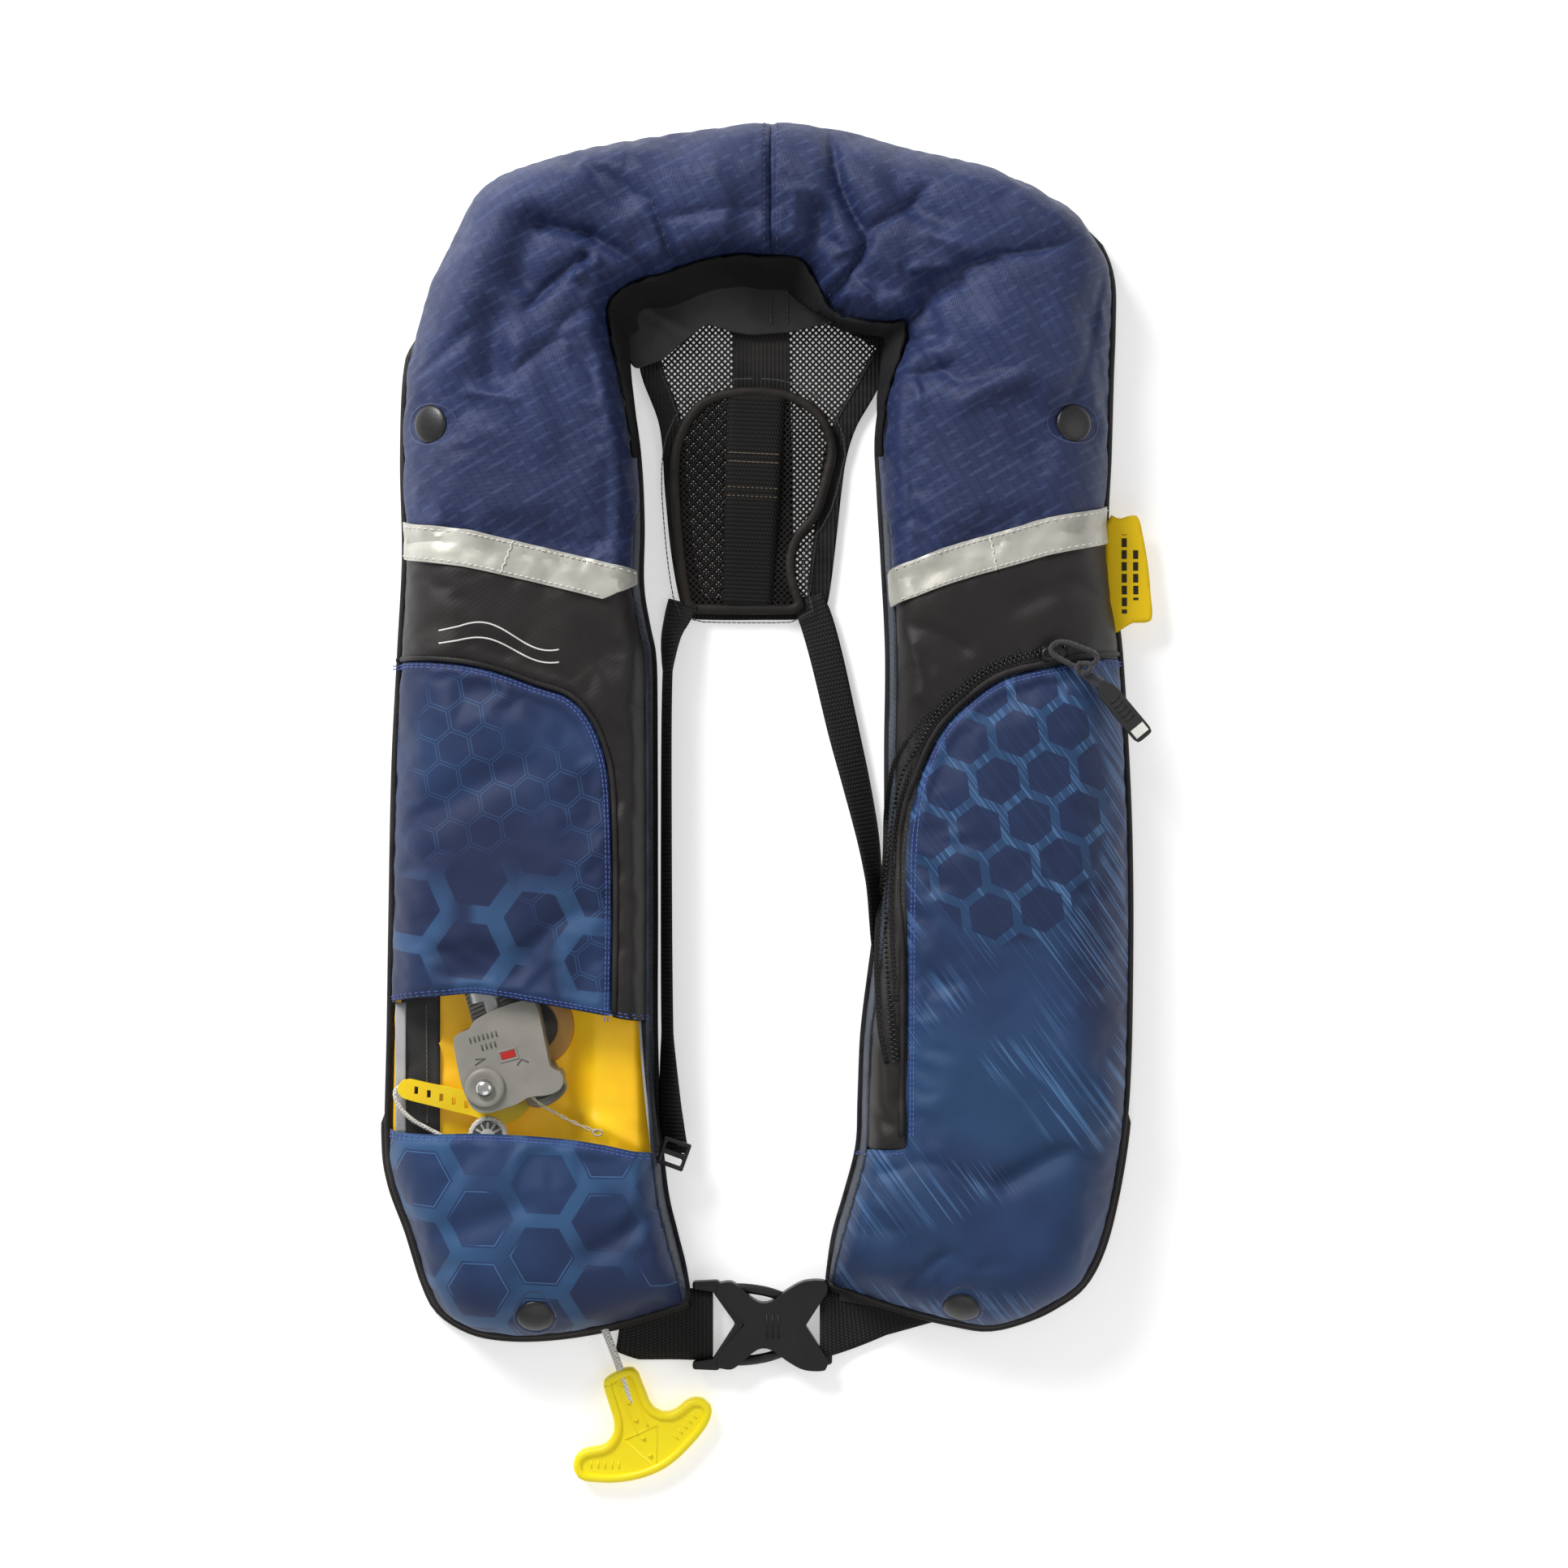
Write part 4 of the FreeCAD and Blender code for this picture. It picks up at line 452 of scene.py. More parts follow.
RUBBER = moulded("puller_rubber", (0.016, 0.016, 0.017), (0.011, 0.011, 0.012), 0.55, 0.00010)
COIL = moulded("zip_coil_black", (0.020, 0.020, 0.021), (0.010, 0.010, 0.011), 0.32)
RED = moulded("indicator_red", (0.62, 0.012, 0.012), (0.45, 0.010, 0.010), 0.30)
CAP_WHITE = moulded("cap_white", (0.86, 0.85, 0.80), (0.74, 0.73, 0.68), 0.40)
STEEL = metal("steel_bright", (0.80, 0.80, 0.78), 0.16)
ZINC = metal("cylinder_zinc", (0.52, 0.52, 0.52), 0.34)
SLIDER_BLACK = moulded("slider_black", (0.014, 0.014, 0.015), (0.008, 0.008, 0.009), 0.25)
CORD_WHITE = braid("cord_white", (0.52, 0.49, 0.43), (0.88, 0.86, 0.80))
STRING_TAN = braid("string_beige", (0.52, 0.44, 0.28), (0.84, 0.76, 0.56), 0.0012)
CORD_BLACK = braid("puller_cord_black", (0.008, 0.008, 0.009), (0.040, 0.040, 0.045), 0.0018)
CLOTH_GREY = cloth("edge_tape_grey", (0.36, 0.36, 0.37), (0.52, 0.52, 0.53), 0.6)
DARK_GREY = moulded("mark_grey", (0.10, 0.10, 0.09), (0.07, 0.07, 0.06), 0.5)
RING_AMBER = moulded("ring_amber", (0.62, 0.33, 0.05), (0.50, 0.26, 0.03), 0.22)


# ---------------------------------------------------------------- plan curves
def smooth(points, closed=False, step=4.0):
    """A curve through given points, as evenly spread positions about a step apart."""
    points = np.array(points, float)
    count = len(points)
    rows = []
    for i in range(count if closed else count - 1):
        if closed:
            a, b, c, d = (points[(i + k) % count] for k in (-1, 0, 1, 2))
        else:
            b, c = points[i], points[i + 1]
            a = points[i - 1] if i else 2 * b - c
            d = points[i + 2] if i + 2 < count else 2 * c - b
        n = max(1, int(np.linalg.norm(c - b) / step))
        for t in np.arange(n) / n:
            t2, t3 = t * t, t * t * t
            rows.append(0.5 * (2 * b + (c - a) * t + (2 * a - 5 * b + 4 * c - d) * t2
                               + (3 * b - a - 3 * c + d) * t3))
    if not closed:
        rows.append(points[-1])
    return np.array(rows)


def along(line, spacing, closed=False):
    """Positions and headings every spacing along a polyline."""
    line = np.vstack([line, line[:1]]) if closed else line
    steps = np.diff(line, axis=0)
    lengths = np.linalg.norm(steps, axis=1)
    ends = np.concatenate([[0], np.cumsum(lengths)])
    marks = np.arange(spacing / 2, ends[-1], spacing)
    index = np.clip(np.searchsorted(ends, marks) - 1, 0, len(steps) - 1)
    part = (marks - ends[index]) / np.maximum(lengths[index], 1e-9)
    return line[index] + steps[index] * part[:, None], steps[index] / lengths[index][:, None]


def line_distance(P, line):
    """Distance of every point to an open polyline, and its nearest position along it."""
    best = np.full(len(P), 1e9)
    place = np.zeros(len(P))
    run = 0.0
    for a, b in zip(line[:-1], line[1:]):
        d = b - a
        size = math.hypot(*d)
        t = np.clip(((P - a) @ d) / max(size * size, 1e-9), 0, 1)
        gap = np.hypot(P[:, 0] - a[0] - t * d[0], P[:, 1] - a[1] - t * d[1])
        nearer = gap < best
        best = np.where(nearer, gap, best)
        place = np.where(nearer, run + t * size, place)
        run += size
    return best, place


def inside(P, loop):
    """Whether each point lies inside a closed polyline."""
    result = np.zeros(len(P), bool)
    x, y = P[:, 0], P[:, 1]
    for a, b in zip(loop, np.roll(loop, -1, axis=0)):
        if a[1] == b[1]:
            continue
        crosses = (a[1] > y) != (b[1] > y)
        result ^= crosses & (x < (b[0] - a[0]) * (y - a[1]) / (b[1] - a[1]) + a[0])
    return result


def signed(P, loop):
    """Distance inwards from a closed polyline, negative outside."""
    gap, _ = line_distance(P, np.vstack([loop, loop[:1]]))
    return np.where(inside(P, loop), gap, -gap)


# The jacket's outer edge from the left hem round the collar to the right hem, and its inner edge
# back again: up the right lobe, round the neck and down the left lobe.
OUTER_LINE = smooth([
    (-42.5, -290), (-66, -297.5), (-91, -303.5), (-117, -307), (-139, -307), (-156, -303.5),
    (-171, -294), (-178.5, -280), (-187, -253), (-196, -228), (-199, -204), (-198, -150),
    (-197, -85), (-195.5, -10), (-192.5, 50), (-190, 100), (-191, 150), (-189.5, 194),
    (-184, 219), (-176.5, 244), (-167, 262), (-157, 282), (-145, 294.5), (-124, 303),
    (-93, 311.4), (-38, 320), (0, 324), (39, 320), (72, 311.4), (108, 303), (131, 294.6),
    (148, 286), (161, 278), (173, 261), (179, 244), (179.3, 219), (178.4, 194), (177.2, 152),
    (175.8, 118), (178.4, 85), (183, 51), (187, -16), (188.5, -66), (188.5, -117),
    (187.5, -167), (185, -201), (179.5, -235), (172.5, -262), (163, -280), (150, -290),
    (135.6, -297), (116.3, -302), (98, -299.7), (65, -291.7), (31.4, -280.4)])
OUTER_LINE[:, 1] += 2.8 * np.clip((OUTER_LINE[:, 1] - 240) / 60, 0, 1)
RIGHT_INNER = smooth([
    (31.4, -280.4), (35, -255.6), (41, -234.6), (47.5, -209), (48.6, -184), (50, -150),
    (54, -117), (57.5, -92), (61, -70), (62.5, -50), (62.5, 0), (63, 50), (60.5, 100),
    (58.5, 135), (57.5, 162), (61, 186), (67, 204), (70, 220)])
NECK_LINE = smooth([
    (70, 220), (61, 217.5), (52.4, 219), (42, 220), (34, 223.2), (28, 229), (25, 236),
    (20.1, 244.5), (15, 251.5), (8, 252.5), (-2, 252), (-12, 253.5), (-22, 252.5), (-33.2, 250.5),
    (-48, 245.5), (-60, 241.5), (-69, 239), (-78, 234), (-82, 227)])
LEFT_INNER = smooth([
    (-82, 227), (-79.5, 210), (-73, 180), (-69, 152), (-67.3, 118), (-67.6, 85), (-64, 62),
    (-61, 45), (-60.5, 0), (-60.3, -80), (-60.3, -150), (-58.5, -195), (-55, -232), (-50, -254),
    (-45.5, -272), (-42.5, -290)])
INNER_LINE = np.vstack([RIGHT_INNER, NECK_LINE[1:], LEFT_INNER[1:]])
JACKET = np.vstack([OUTER_LINE, INNER_LINE[1:-1]])
SEAM_X = 1.0
SNAP_SPOTS = ((-169.5, 166.0), (153.2, 166.3), (-120.6, -288.0), (100.8, -283.8))
PANELS = []
TAPE_LEFT = smooth([(-194, 108), (-160, 102.5), (-132, 96.5), (-98, 88.5), (-60, 79)])
TAPE_RIGHT = smooth([(56, 76.5), (66, 82.5), (84, 90), (103, 96.2), (124, 102), (150, 109.5), (182, 117)])
WINDOW_TOP = smooth([(-204, -136), (-180, -130), (-158, -127), (-146, -127), (-116, -132), (-84, -138),
                     (-64, -142)])
WINDOW_BOTTOM = smooth([(-206, -199.5), (-172, -199), (-148, -198.5), (-112, -200.5), (-84, -204.5),
                        (-50, -213)])
POCKET_LEFT = smooth([
    (-200, 44.5), (-168, 44), (-143, 39.8), (-119, 31.5), (-103, 26), (-92, 15), (-84.5, -2), (-81, -23),
    (-79.7, -72), (-80.5, -142)])
POCKET_RIGHT = smooth([
    (186, 46.5), (165, 45), (148, 41.8), (123, 36), (106, 25.8), (89.4, 9), (79, -12), (73.4, -37),
    (71.6, -70), (71.2, -96), (71, -140), (70.6, -200)])
ZIP_LINE = smooth([
    (152, 50.2), (142.7, 48.3), (127, 45), (111.7, 38.4), (98.6, 28.2), (88, 18.6), (79.4, 6),
    (72.2, -9), (67, -33), (64.3, -60), (62.9, -93), (63.4, -142), (65.6, -162)])


# ---------------------------------------------------------------- cover height and folds
EDGE_ROLL = 33.0
INNER_ROLL = 13.0
GUSSET_WIDTH = 5.0
# Each fold is (start, end, height, half width): ridges are positive, creases negative.
FOLDS = [
    ((-138, 268), (-58, 309), 4.5, 12.0), ((-144, 263), (-162, 190), 4.5, 11.0),
    ((-122, 270), (-88, 262), -6.5, 4.5), ((-94, 263), (-54, 241), -6.0, 4.5),
    ((-121, 272), (-124, 232), -5.0, 9.0), ((-124, 224), (-90, 252), -6.0, 4.0),
    ((-100, 240), (-86, 249), 4.5, 5.0), ((-54, 270), (0, 276), -2.5, 3.0),
    ((-92, 292), (-60, 279), -2.5, 4.0), ((-156, 181), (-128, 177), 3.0, 4.0),
    ((-130, 190), (-106, 210), -3.5, 4.0), ((-144, 226), (-141, 182), -4.0, 8.0),
    ((-46, 254), (-22, 262), 3.0, 4.0), ((-132, 214), (-112, 150), 3.0, 9.0),
    ((-60, 280), (-49, 248), -4.0, 3.2), ((-96, 252), (-78, 240), -3.5, 3.0),
    ((-90, 226), (-108, 214), -3.0, 3.0), ((-150, 214), (-176, 190), -2.5, 5.0),
    ((-30, 300), (-24, 262), 2.5, 7.0), ((-104, 296), (-70, 276), -3.0, 6.0),
    ((30, 318), (50, 262), -8.0, 4.8), ((26, 280), (22, 240), -5.5, 6.0),
    ((52, 262), (30, 230), -7.0, 4.0), ((50, 264), (82, 284), -4.5, 4.0),
    ((72, 244), (96, 246), 4.0, 5.0), ((80, 240), (86, 206), -5.5, 6.0),
    ((66, 214), (80, 208), -5.0, 3.0), ((62, 190), (96, 196), -3.5, 5.0),
    ((148, 166), (166, 244), -3.0, 4.0), ((130, 190), (96, 172), 2.5, 6.0), ((44, 238), (62, 222), 3.0, 4.0),
    ((78, 306), (157, 262), 4.5, 11.0), ((77, 236), (148, 255), -4.0, 5.0),
    ((70, 221), (102, 241), -4.5, 4.0), ((74, 214), (98, 186), -3.0, 4.0),
    ((110, 222), (150, 176), 3.0, 9.0), ((80, 268), (112, 252), 3.0, 6.0),
    ((60, 292), (92, 262), -3.5, 6.0), ((160, 230), (166, 186), -2.5, 6.0),
    ((72, 206), (78, 170), 2.5, 4.0),
    ((116, -226), (155, -206), -3.4, 6.0), ((69, -272), (94, -259), -3.6, 5.0),
    ((78, -212), (112, -226), -2.2, 5.0), ((50, -222), (74, -214), -2.4, 4.0),
    ((150, -150), (186, -190), 2.0, 9.0), ((58, -150), (66, -186), -2.6, 3.0),
    ((50, -180), (64, -196), -2.6, 3.0), ((54, -128), (64, -160), 2.0, 3.0),
    ((-180, -40), (-120, -8), -1.8, 8.0), ((-130, -110), (-90, -80), -2.0, 8.0),
    ((-170, -250), (-120, -232), -2.0, 7.0), ((-96, -262), (-60, -236), -2.2, 6.0),
    ((-96, 62), (-70, 20), -1.6, 5.0), ((-100, 78), (-68, 66), -2.0, 4.0),
    ((76, 62), (104, 48), -2.0, 5.0), ((70, 60), (80, 20), 2.0, 5.0),
    ((-74, 60), (-70, -120), 1.4, 4.0), ((120, 70), (160, 84), -1.8, 6.0),
]


def fold_height(P):
    """Sum of all the sculpted ridges and creases, tapering off at their ends."""
    total = np.zeros(len(P))
    for start, end, height, width in FOLDS:
        a, b = np.array(start, float), np.array(end, float)
        span = b - a
        size = math.hypot(*span)
        t = ((P - a) @ span) / size ** 2
        bow = math.sin(a[0]) * 0.06 * size * np.sin(math.pi * np.clip(t, 0, 1))
        off = (P - a) @ np.array([-span[1], span[0]]) / size - bow
        ends = np.clip(1 - np.maximum(0, np.abs(t - 0.5) - 0.32) / 0.32, 0, 1)
        narrow = np.exp(-np.abs(off) / (0.8 * width)) if width < 5.5 else np.exp(-(off / width) ** 2)
        total += height * narrow * ends ** 2 * (3 - 2 * ends)
    return 1.6 * total


def gathers(P, inner_gap, inner_place):
    """Puckers that radiate from the gathered neck edge of the collar."""
    wave = np.sin(inner_place / 2.1) + 0.7 * np.sin(inner_place / 1.25 + 1.3)
    neck = np.clip((P[:, 1] - 190) / 30, 0, 1)
    return 1.5 * wave * np.exp(-inner_gap / 10.0) * neck


def undulation(P, scale, seed):
    """Slow noise at plan positions, from -1 to 1."""
    return np.array([noise.noise(Vector((x / scale, y / scale, seed))) for x, y in P])


def cover_height(P, lift=COVER_LOW, top=None):
    """Plan positions and heights of the padded cover over flat positions P.  Near the two edges
    the positions gather outwards, so that the mesh follows the rolled sides evenly."""
    top = LOBE_TOP - 3.0 if top is None else top
    outer, _ = line_distance(P, OUTER_LINE)
    inner, place = line_distance(P, INNER_LINE)
    turn_out = np.clip(outer / EDGE_ROLL, 0, 1) * math.pi / 2
    turn_in = np.clip(inner / INNER_ROLL, 0, 1) * math.pi / 2
    crown = 4.0 * np.sin(np.clip(np.minimum(outer / 62, inner / 52), 0, 1) * math.pi / 2)
    height = lift + (top - lift) * np.sin(turn_out) ** 0.9 * np.sin(turn_in) ** 0.8 + crown
    full = np.clip(np.minimum(outer / 20, inner / 9), 0, 1)
    height += (fold_height(P) + 1.3 * undulation(P, 34.0, 2.0) + 0.5 * undulation(P, 11.0, 7.0)) * full
    height += gathers(P, inner, place) * np.clip(inner / 3, 0, 1)
    for spot in SNAP_SPOTS:
        height -= 3.0 * np.exp(-(np.hypot(P[:, 0] - spot[0], P[:, 1] - spot[1]) / 10.5) ** 2) * full
    moved = P.copy()
    for line, roll, gap, turn in ((OUTER_LINE, EDGE_ROLL, outer, turn_out),
                                  (INNER_LINE, INNER_ROLL, inner, turn_in)):
        pull = np.where(gap < roll, gap - roll * (1 - np.cos(turn)), 0) * 0.85
        near = pull > 0.01
        if near.any():
            moved[near] -= gradient(lambda Q: line_distance(Q, line)[0], P[near]) * pull[near][:, None]
    return moved, height


def gradient(field, P, step=0.3):
    """Unit direction in which a field grows."""
    dx = field(P + [step, 0]) - field(P - [step, 0])
    dy = field(P + [0, step]) - field(P - [0, step])
    G = np.stack([dx, dy], axis=1)
    return G / np.maximum(np.linalg.norm(G, axis=1), 1e-9)[:, None]


FINISHED = []


def finish_panels():
    """Keeps the finished panels' shapes, so that trims can be laid on top of them."""
    graph = bpy.context.evaluated_depsgraph_get()
    FINISHED.extend(BVHTree.FromObject(obj, graph) for obj in PANELS)


def top_height(x, y, spare):
    """Height of the highest finished panel at a plan position, or a spare height off them."""
    hits = [tree.ray_cast(Vector((x * MM, y * MM, 0.2)), Vector((0, 0, -1)))[0] for tree in FINISHED]
    levels = [hit.z / MM for hit in hits if hit is not None]
    return max(levels) if levels else spare


def surface_z(P, lift=0.0, reach=0.0):
    """Places flat positions on the cover, for things sewn on to it.  A reach, in millimetres,
    spans hollows that are narrower than the piece laid over them."""
    moved, height = cover_height(np.atleast_2d(np.array(P, float)))
    spread = [(0.0, 0.0)]
    if reach:
        spread += [(reach, 0.0), (-reach, 0.0), (0.0, reach), (0.0, -reach)]
    level = [max(top_height(x + dx, y + dy, z) if (dx, dy) == (0.0, 0.0) else top_height(x + dx, y + dy, -9.0)
                 for dx, dy in spread) for (x, y), z in zip(moved, height)]
    return np.column_stack([moved, np.array(level) + lift])


# ---------------------------------------------------------------- mesh makers
def make_object(name, verts, faces, material, body, smooth_shading=True):
    mesh = bpy.data.meshes.new(name)
    mesh.from_pydata((np.array(verts) * MM).tolist(), [], [tuple(f) for f in faces])
    mesh.materials.append(material)
    mesh.validate()
    mesh.update()
    if smooth_shading:
        mesh.polygons.foreach_set("use_smooth", [True] * len(mesh.polygons))
    obj = bpy.data.objects.new(name, mesh)
    bpy.context.scene.collection.objects.link(obj)
    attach(obj, body)
    return obj


def modifier(obj, kind, **values):
    added = obj.modifiers.new(kind.lower(), kind)
    for key, value in values.items():
        setattr(added, key, value)
    return added


def thicken(obj, thickness):
    """Smooths a sheet and gives it a thickness below its surface."""
    modifier(obj, "SUBSURF", levels=1, render_levels=1)
    modifier(obj, "SOLIDIFY", thickness=thickness * MM, offset=-1.0)


def dress(obj, slot, *nodes):
    """Hides the CAD nodes that a piece stands for; the material slot it is given is not used."""
    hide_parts(*nodes)


def sheet_grid(region, box, cell):
    """Grid of a plan region with its edge points moved on to the region's edge."""
    (x0, y0), (x1, y1) = box
    nx, ny = int((x1 - x0) / cell) + 2, int((y1 - y0) / cell) + 2
    X, Y = np.meshgrid(x0 + cell * np.arange(nx), y0 + cell * np.arange(ny), indexing="ij")
    P = np.column_stack([X.ravel(), Y.ravel()])
    s = region(P)
    near = np.abs(s) < 0.62 * cell
    for _ in range(2):
        Q = P[near]
        P[near] = Q - gradient(region, Q) * region(Q)[:, None]
    keep = (s > 0) | near
    index = np.arange(nx * ny).reshape(nx, ny)
    a, b, c, d = index[:-1, :-1], index[1:, :-1], index[1:, 1:], index[:-1, 1:]
    cells = np.stack([a.ravel(), b.ravel(), c.ravel(), d.ravel()], axis=1)
    count = keep[cells].sum(axis=1)
    faces = [tuple(f) for f in cells[count == 4]]
    faces += [tuple(v for v in f if keep[v]) for f in cells[count == 3]]
    centres = np.array([P[list(f)].mean(axis=0) for f in faces])
    good = region(centres) > 0.08 * cell
    faces = [f for f, ok in zip(faces, good) if ok]
    used = sorted({v for f in faces for v in f})
    remap = {v: i for i, v in enumerate(used)}
    return P[used], [tuple(remap[v] for v in f) for f in faces]


def puff(obj, pinned, pressure, cap, slack):
    """Blows the cloth up a little with its seams held, and keeps the wrinkles that form."""
    before = np.zeros(len(obj.data.vertices) * 3)
    obj.data.vertices.foreach_get("co", before)
    group = obj.vertex_groups.new(name="seams")
    group.add([int(i) for i in np.flatnonzero(pinned)], 1.0, "REPLACE")
    cloth_modifier = modifier(obj, "CLOTH")
    settings = cloth_modifier.settings
    settings.quality = 5
    settings.mass = 0.25
    settings.tension_stiffness = 25
    settings.compression_stiffness = 25
    settings.shear_stiffness = 12
    settings.bending_stiffness = 0.4
    settings.air_damping = 3
    settings.vertex_group_mass = "seams"
    settings.use_pressure = True
    settings.uniform_pressure_force = pressure
    settings.shrink_min = -slack
    settings.effector_weights.gravity = 0
    cloth_modifier.point_cache.frame_end = 20
    scene = bpy.context.scene
    for number in range(1, 21):
        scene.frame_set(number)
    shape = obj.evaluated_get(bpy.context.evaluated_depsgraph_get())
    after = np.zeros(len(before))
    shape.data.vertices.foreach_get("co", after)
    obj.modifiers.remove(cloth_modifier)
    scene.frame_set(1)
    shift = (after - before).reshape(-1, 3)
    shift[:, :2] *= 0.6
    size = np.linalg.norm(shift, axis=1)
    shift *= np.minimum(1, cap * MM / np.maximum(size, 1e-9))[:, None]
    obj.data.vertices.foreach_set("co", before + shift.ravel())
    obj.data.update()


def panel(name, region, box, material, body="jacket", cell=3.0, seam=2.6, cap=3.0, slack=0.035,
          pressure=3.0, edge_region=None, replaces=(), thick=0.9):
    """One sewn panel of the padded cover: a gridded sheet over a plan region, drawn down along
    its seams, puffed by the cloth solver, and given the cloth's thickness."""
    P, faces = sheet_grid(region, box, cell)
    moved, height = cover_height(P)
    seam_gap = region(P) if edge_region is None else edge_region(P)
    height = height - seam * np.exp(-(np.maximum(seam_gap, 0) / 3.2) ** 2) * np.clip(height / 30, 0, 1)
    obj = make_object(name, np.column_stack([moved, height]), faces, material, body)
    if cap:
        pinned = np.abs(region(P)) < 0.8 * cell
        for spot in SNAP_SPOTS:
            pinned |= np.hypot(P[:, 0] - spot[0], P[:, 1] - spot[1]) < 10.0
        puff(obj, pinned, pressure, cap, slack)
    thicken(obj, thick)
    if replaces:
        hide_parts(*replaces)
    PANELS.append(obj)
    return obj


def tube_mesh(points, radius, sides=8, flat=1.0):
    """Vertices and faces of a round tube along points, its ends closed."""
    points = np.array(points, float)
    steps = np.gradient(points, axis=0)
    steps /= np.linalg.norm(steps, axis=1)[:, None]
    side = np.cross(steps, [0, 0, 1.0])
    weak = np.linalg.norm(side, axis=1) < 0.05
    side[weak] = [1.0, 0, 0]
    side /= np.linalg.norm(side, axis=1)[:, None]
    up = np.cross(side, steps)
    turns = np.arange(sides) * TAU / sides
    rings = points[:, None, :] + radius * (np.cos(turns)[None, :, None] * side[:, None, :]
                                           + flat * np.sin(turns)[None, :, None] * up[:, None, :])
    verts = rings.reshape(-1, 3)
    faces = []
    for i in range(len(points) - 1):
        for k in range(sides):
            n = (k + 1) % sides
            faces.append((i * sides + k, i * sides + n, (i + 1) * sides + n, (i + 1) * sides + k))
    faces.append(tuple(range(sides - 1, -1, -1)))
    last = (len(points) - 1) * sides
    faces.append(tuple(range(last, last + sides)))
    return verts, faces


def tube(name, points, radius, material, body="jacket", sides=10, flat=1.0):
    """A round cord or bar along points."""
    verts, faces = tube_mesh(points, radius, sides, flat)
    return make_object(name, verts, faces, material, body)


def merged(parts):
    """Joins (vertices, faces) lists into one."""
    verts = []
    faces = []
    for v, f in parts:
        base = len(verts)
        verts.extend(v)
        faces.extend([tuple(i + base for i in face) for face in f])
    return verts, faces


def joined(name, parts, material, body):
    """One small trim made of several (vertices, faces) parts."""
    verts, faces = merged(parts)
    make_object(name, verts, faces, material, body)


def stitch_mesh(points, heading, length, radius):
    """One stitch: a thread that rises out of the cloth, and dives back in."""
    rise = np.array([0, 0, radius])
    half = heading * length / 2
    bead = [points - half - rise, points - half * 0.55 + rise * 0.5, points + half * 0.55 + rise * 0.5,
            points + half - rise]
    return tube_mesh(bead, radius, 5)


def stitches(name, line, material, body="jacket", spacing=2.6, length=2.0, radius=0.32, lift=-0.05,
             place=surface_z, sway=0.0):
    """A row of stitches along a plan line, laid on the cover or on another surface."""
    spots, headings = along(line, spacing)
    P = place(spots, lift)
    parts = []
    for n, (p, h) in enumerate(zip(P, headings)):
        tilt = sway * (1 if n % 2 else -1)
        turned = np.array([h[0] - tilt * h[1], h[1] + tilt * h[0], 0.0])
        parts.append(stitch_mesh(p, turned, length, radius))
    verts, faces = merged(parts)
    return make_object(name, verts, faces, material, body)


def offset_line(line, gap):
    """A plan line moved sideways, to its left for a positive gap."""
    steps = np.gradient(line, axis=0)
    steps /= np.maximum(np.linalg.norm(steps, axis=1), 1e-9)[:, None]
    return line + gap * np.column_stack([-steps[:, 1], steps[:, 0]])


def flat_surface(z):
    """A placing function for a level surface."""
    def place(P, lift=0.0):
        P = np.atleast_2d(np.array(P, float))
        return np.column_stack([P, np.full(len(P), z + lift)])
    return place


def plate(name, outline, low, high, material, body, bevel=0.8, holes=(), segments=3):
    """A moulded plate: an outline with holes, pulled up from low to high, its edges rounded."""
    curve = bpy.data.curves.new(name, "CURVE")
    curve.dimensions = "2D"
    curve.fill_mode = "BOTH"
    curve.extrude = (high - low) / 2 * MM
    for loop in (outline, *holes):
        loop = np.array(loop, float)
        spline = curve.splines.new("POLY")
        spline.points.add(len(loop) - 1)
        for point, (x, y) in zip(spline.points, loop):
            point.co = (x * MM, y * MM, 0, 1)
        spline.use_cyclic_u = True
    holder = bpy.data.objects.new(name + "_outline", curve)
    bpy.context.scene.collection.objects.link(holder)
    mesh = bpy.data.meshes.new_from_object(holder.evaluated_get(bpy.context.evaluated_depsgraph_get()))
    bpy.data.objects.remove(holder)
    mesh.transform(Matrix.Translation((0, 0, (low + high) / 2 * MM)))
    mesh.materials.clear()
    mesh.materials.append(material)
    mesh.name = name
    obj = bpy.data.objects.new(name, mesh)
    bpy.context.scene.collection.objects.link(obj)
    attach(obj, body)
    modifier(obj, "WELD", merge_threshold=0.00001)
    if bevel:
        modifier(obj, "BEVEL", width=bevel * MM, segments=segments, limit_method="ANGLE",
                 angle_limit=math.radians(50))
    modifier(obj, "WEIGHTED_NORMAL")
    return obj


def disc_outline(x, y, radius, count=40, flat=1.0, turn=0.0):
    """Outline of a circle or an ellipse."""
    angles = np.arange(count) * TAU / count
    c, s = math.cos(turn), math.sin(turn)
    u, v = radius * np.cos(angles), radius * flat * np.sin(angles)
    return np.column_stack([x + c * u - s * v, y + s * u + c * v])


def lathe(name, profile, centre, material, body, axis=(0, 0, 1), count=48):
    """A turned piece: (radius, height) pairs swept round an axis through a centre."""
    profile = np.array(profile, float)
    w = Vector(axis).normalized()
    u = w.orthogonal().normalized()
    v = w.cross(u)
    rings = []
    for radius, height in profile:
        for k in range(count):
            a = k * TAU / count
            spot = Vector(centre) + w * height + (u * math.cos(a) + v * math.sin(a)) * radius
            rings.append(tuple(spot))
    faces = []
    for i in range(len(profile) - 1):
        for k in range(count):
            n = (k + 1) % count
            faces.append((i * count + k, i * count + n, (i + 1) * count + n, (i + 1) * count + k))
    faces.append(tuple(range(count - 1, -1, -1)))
    last = (len(profile) - 1) * count
    faces.append(tuple(range(last, last + count)))
    return make_object(name, rings, faces, material, body)


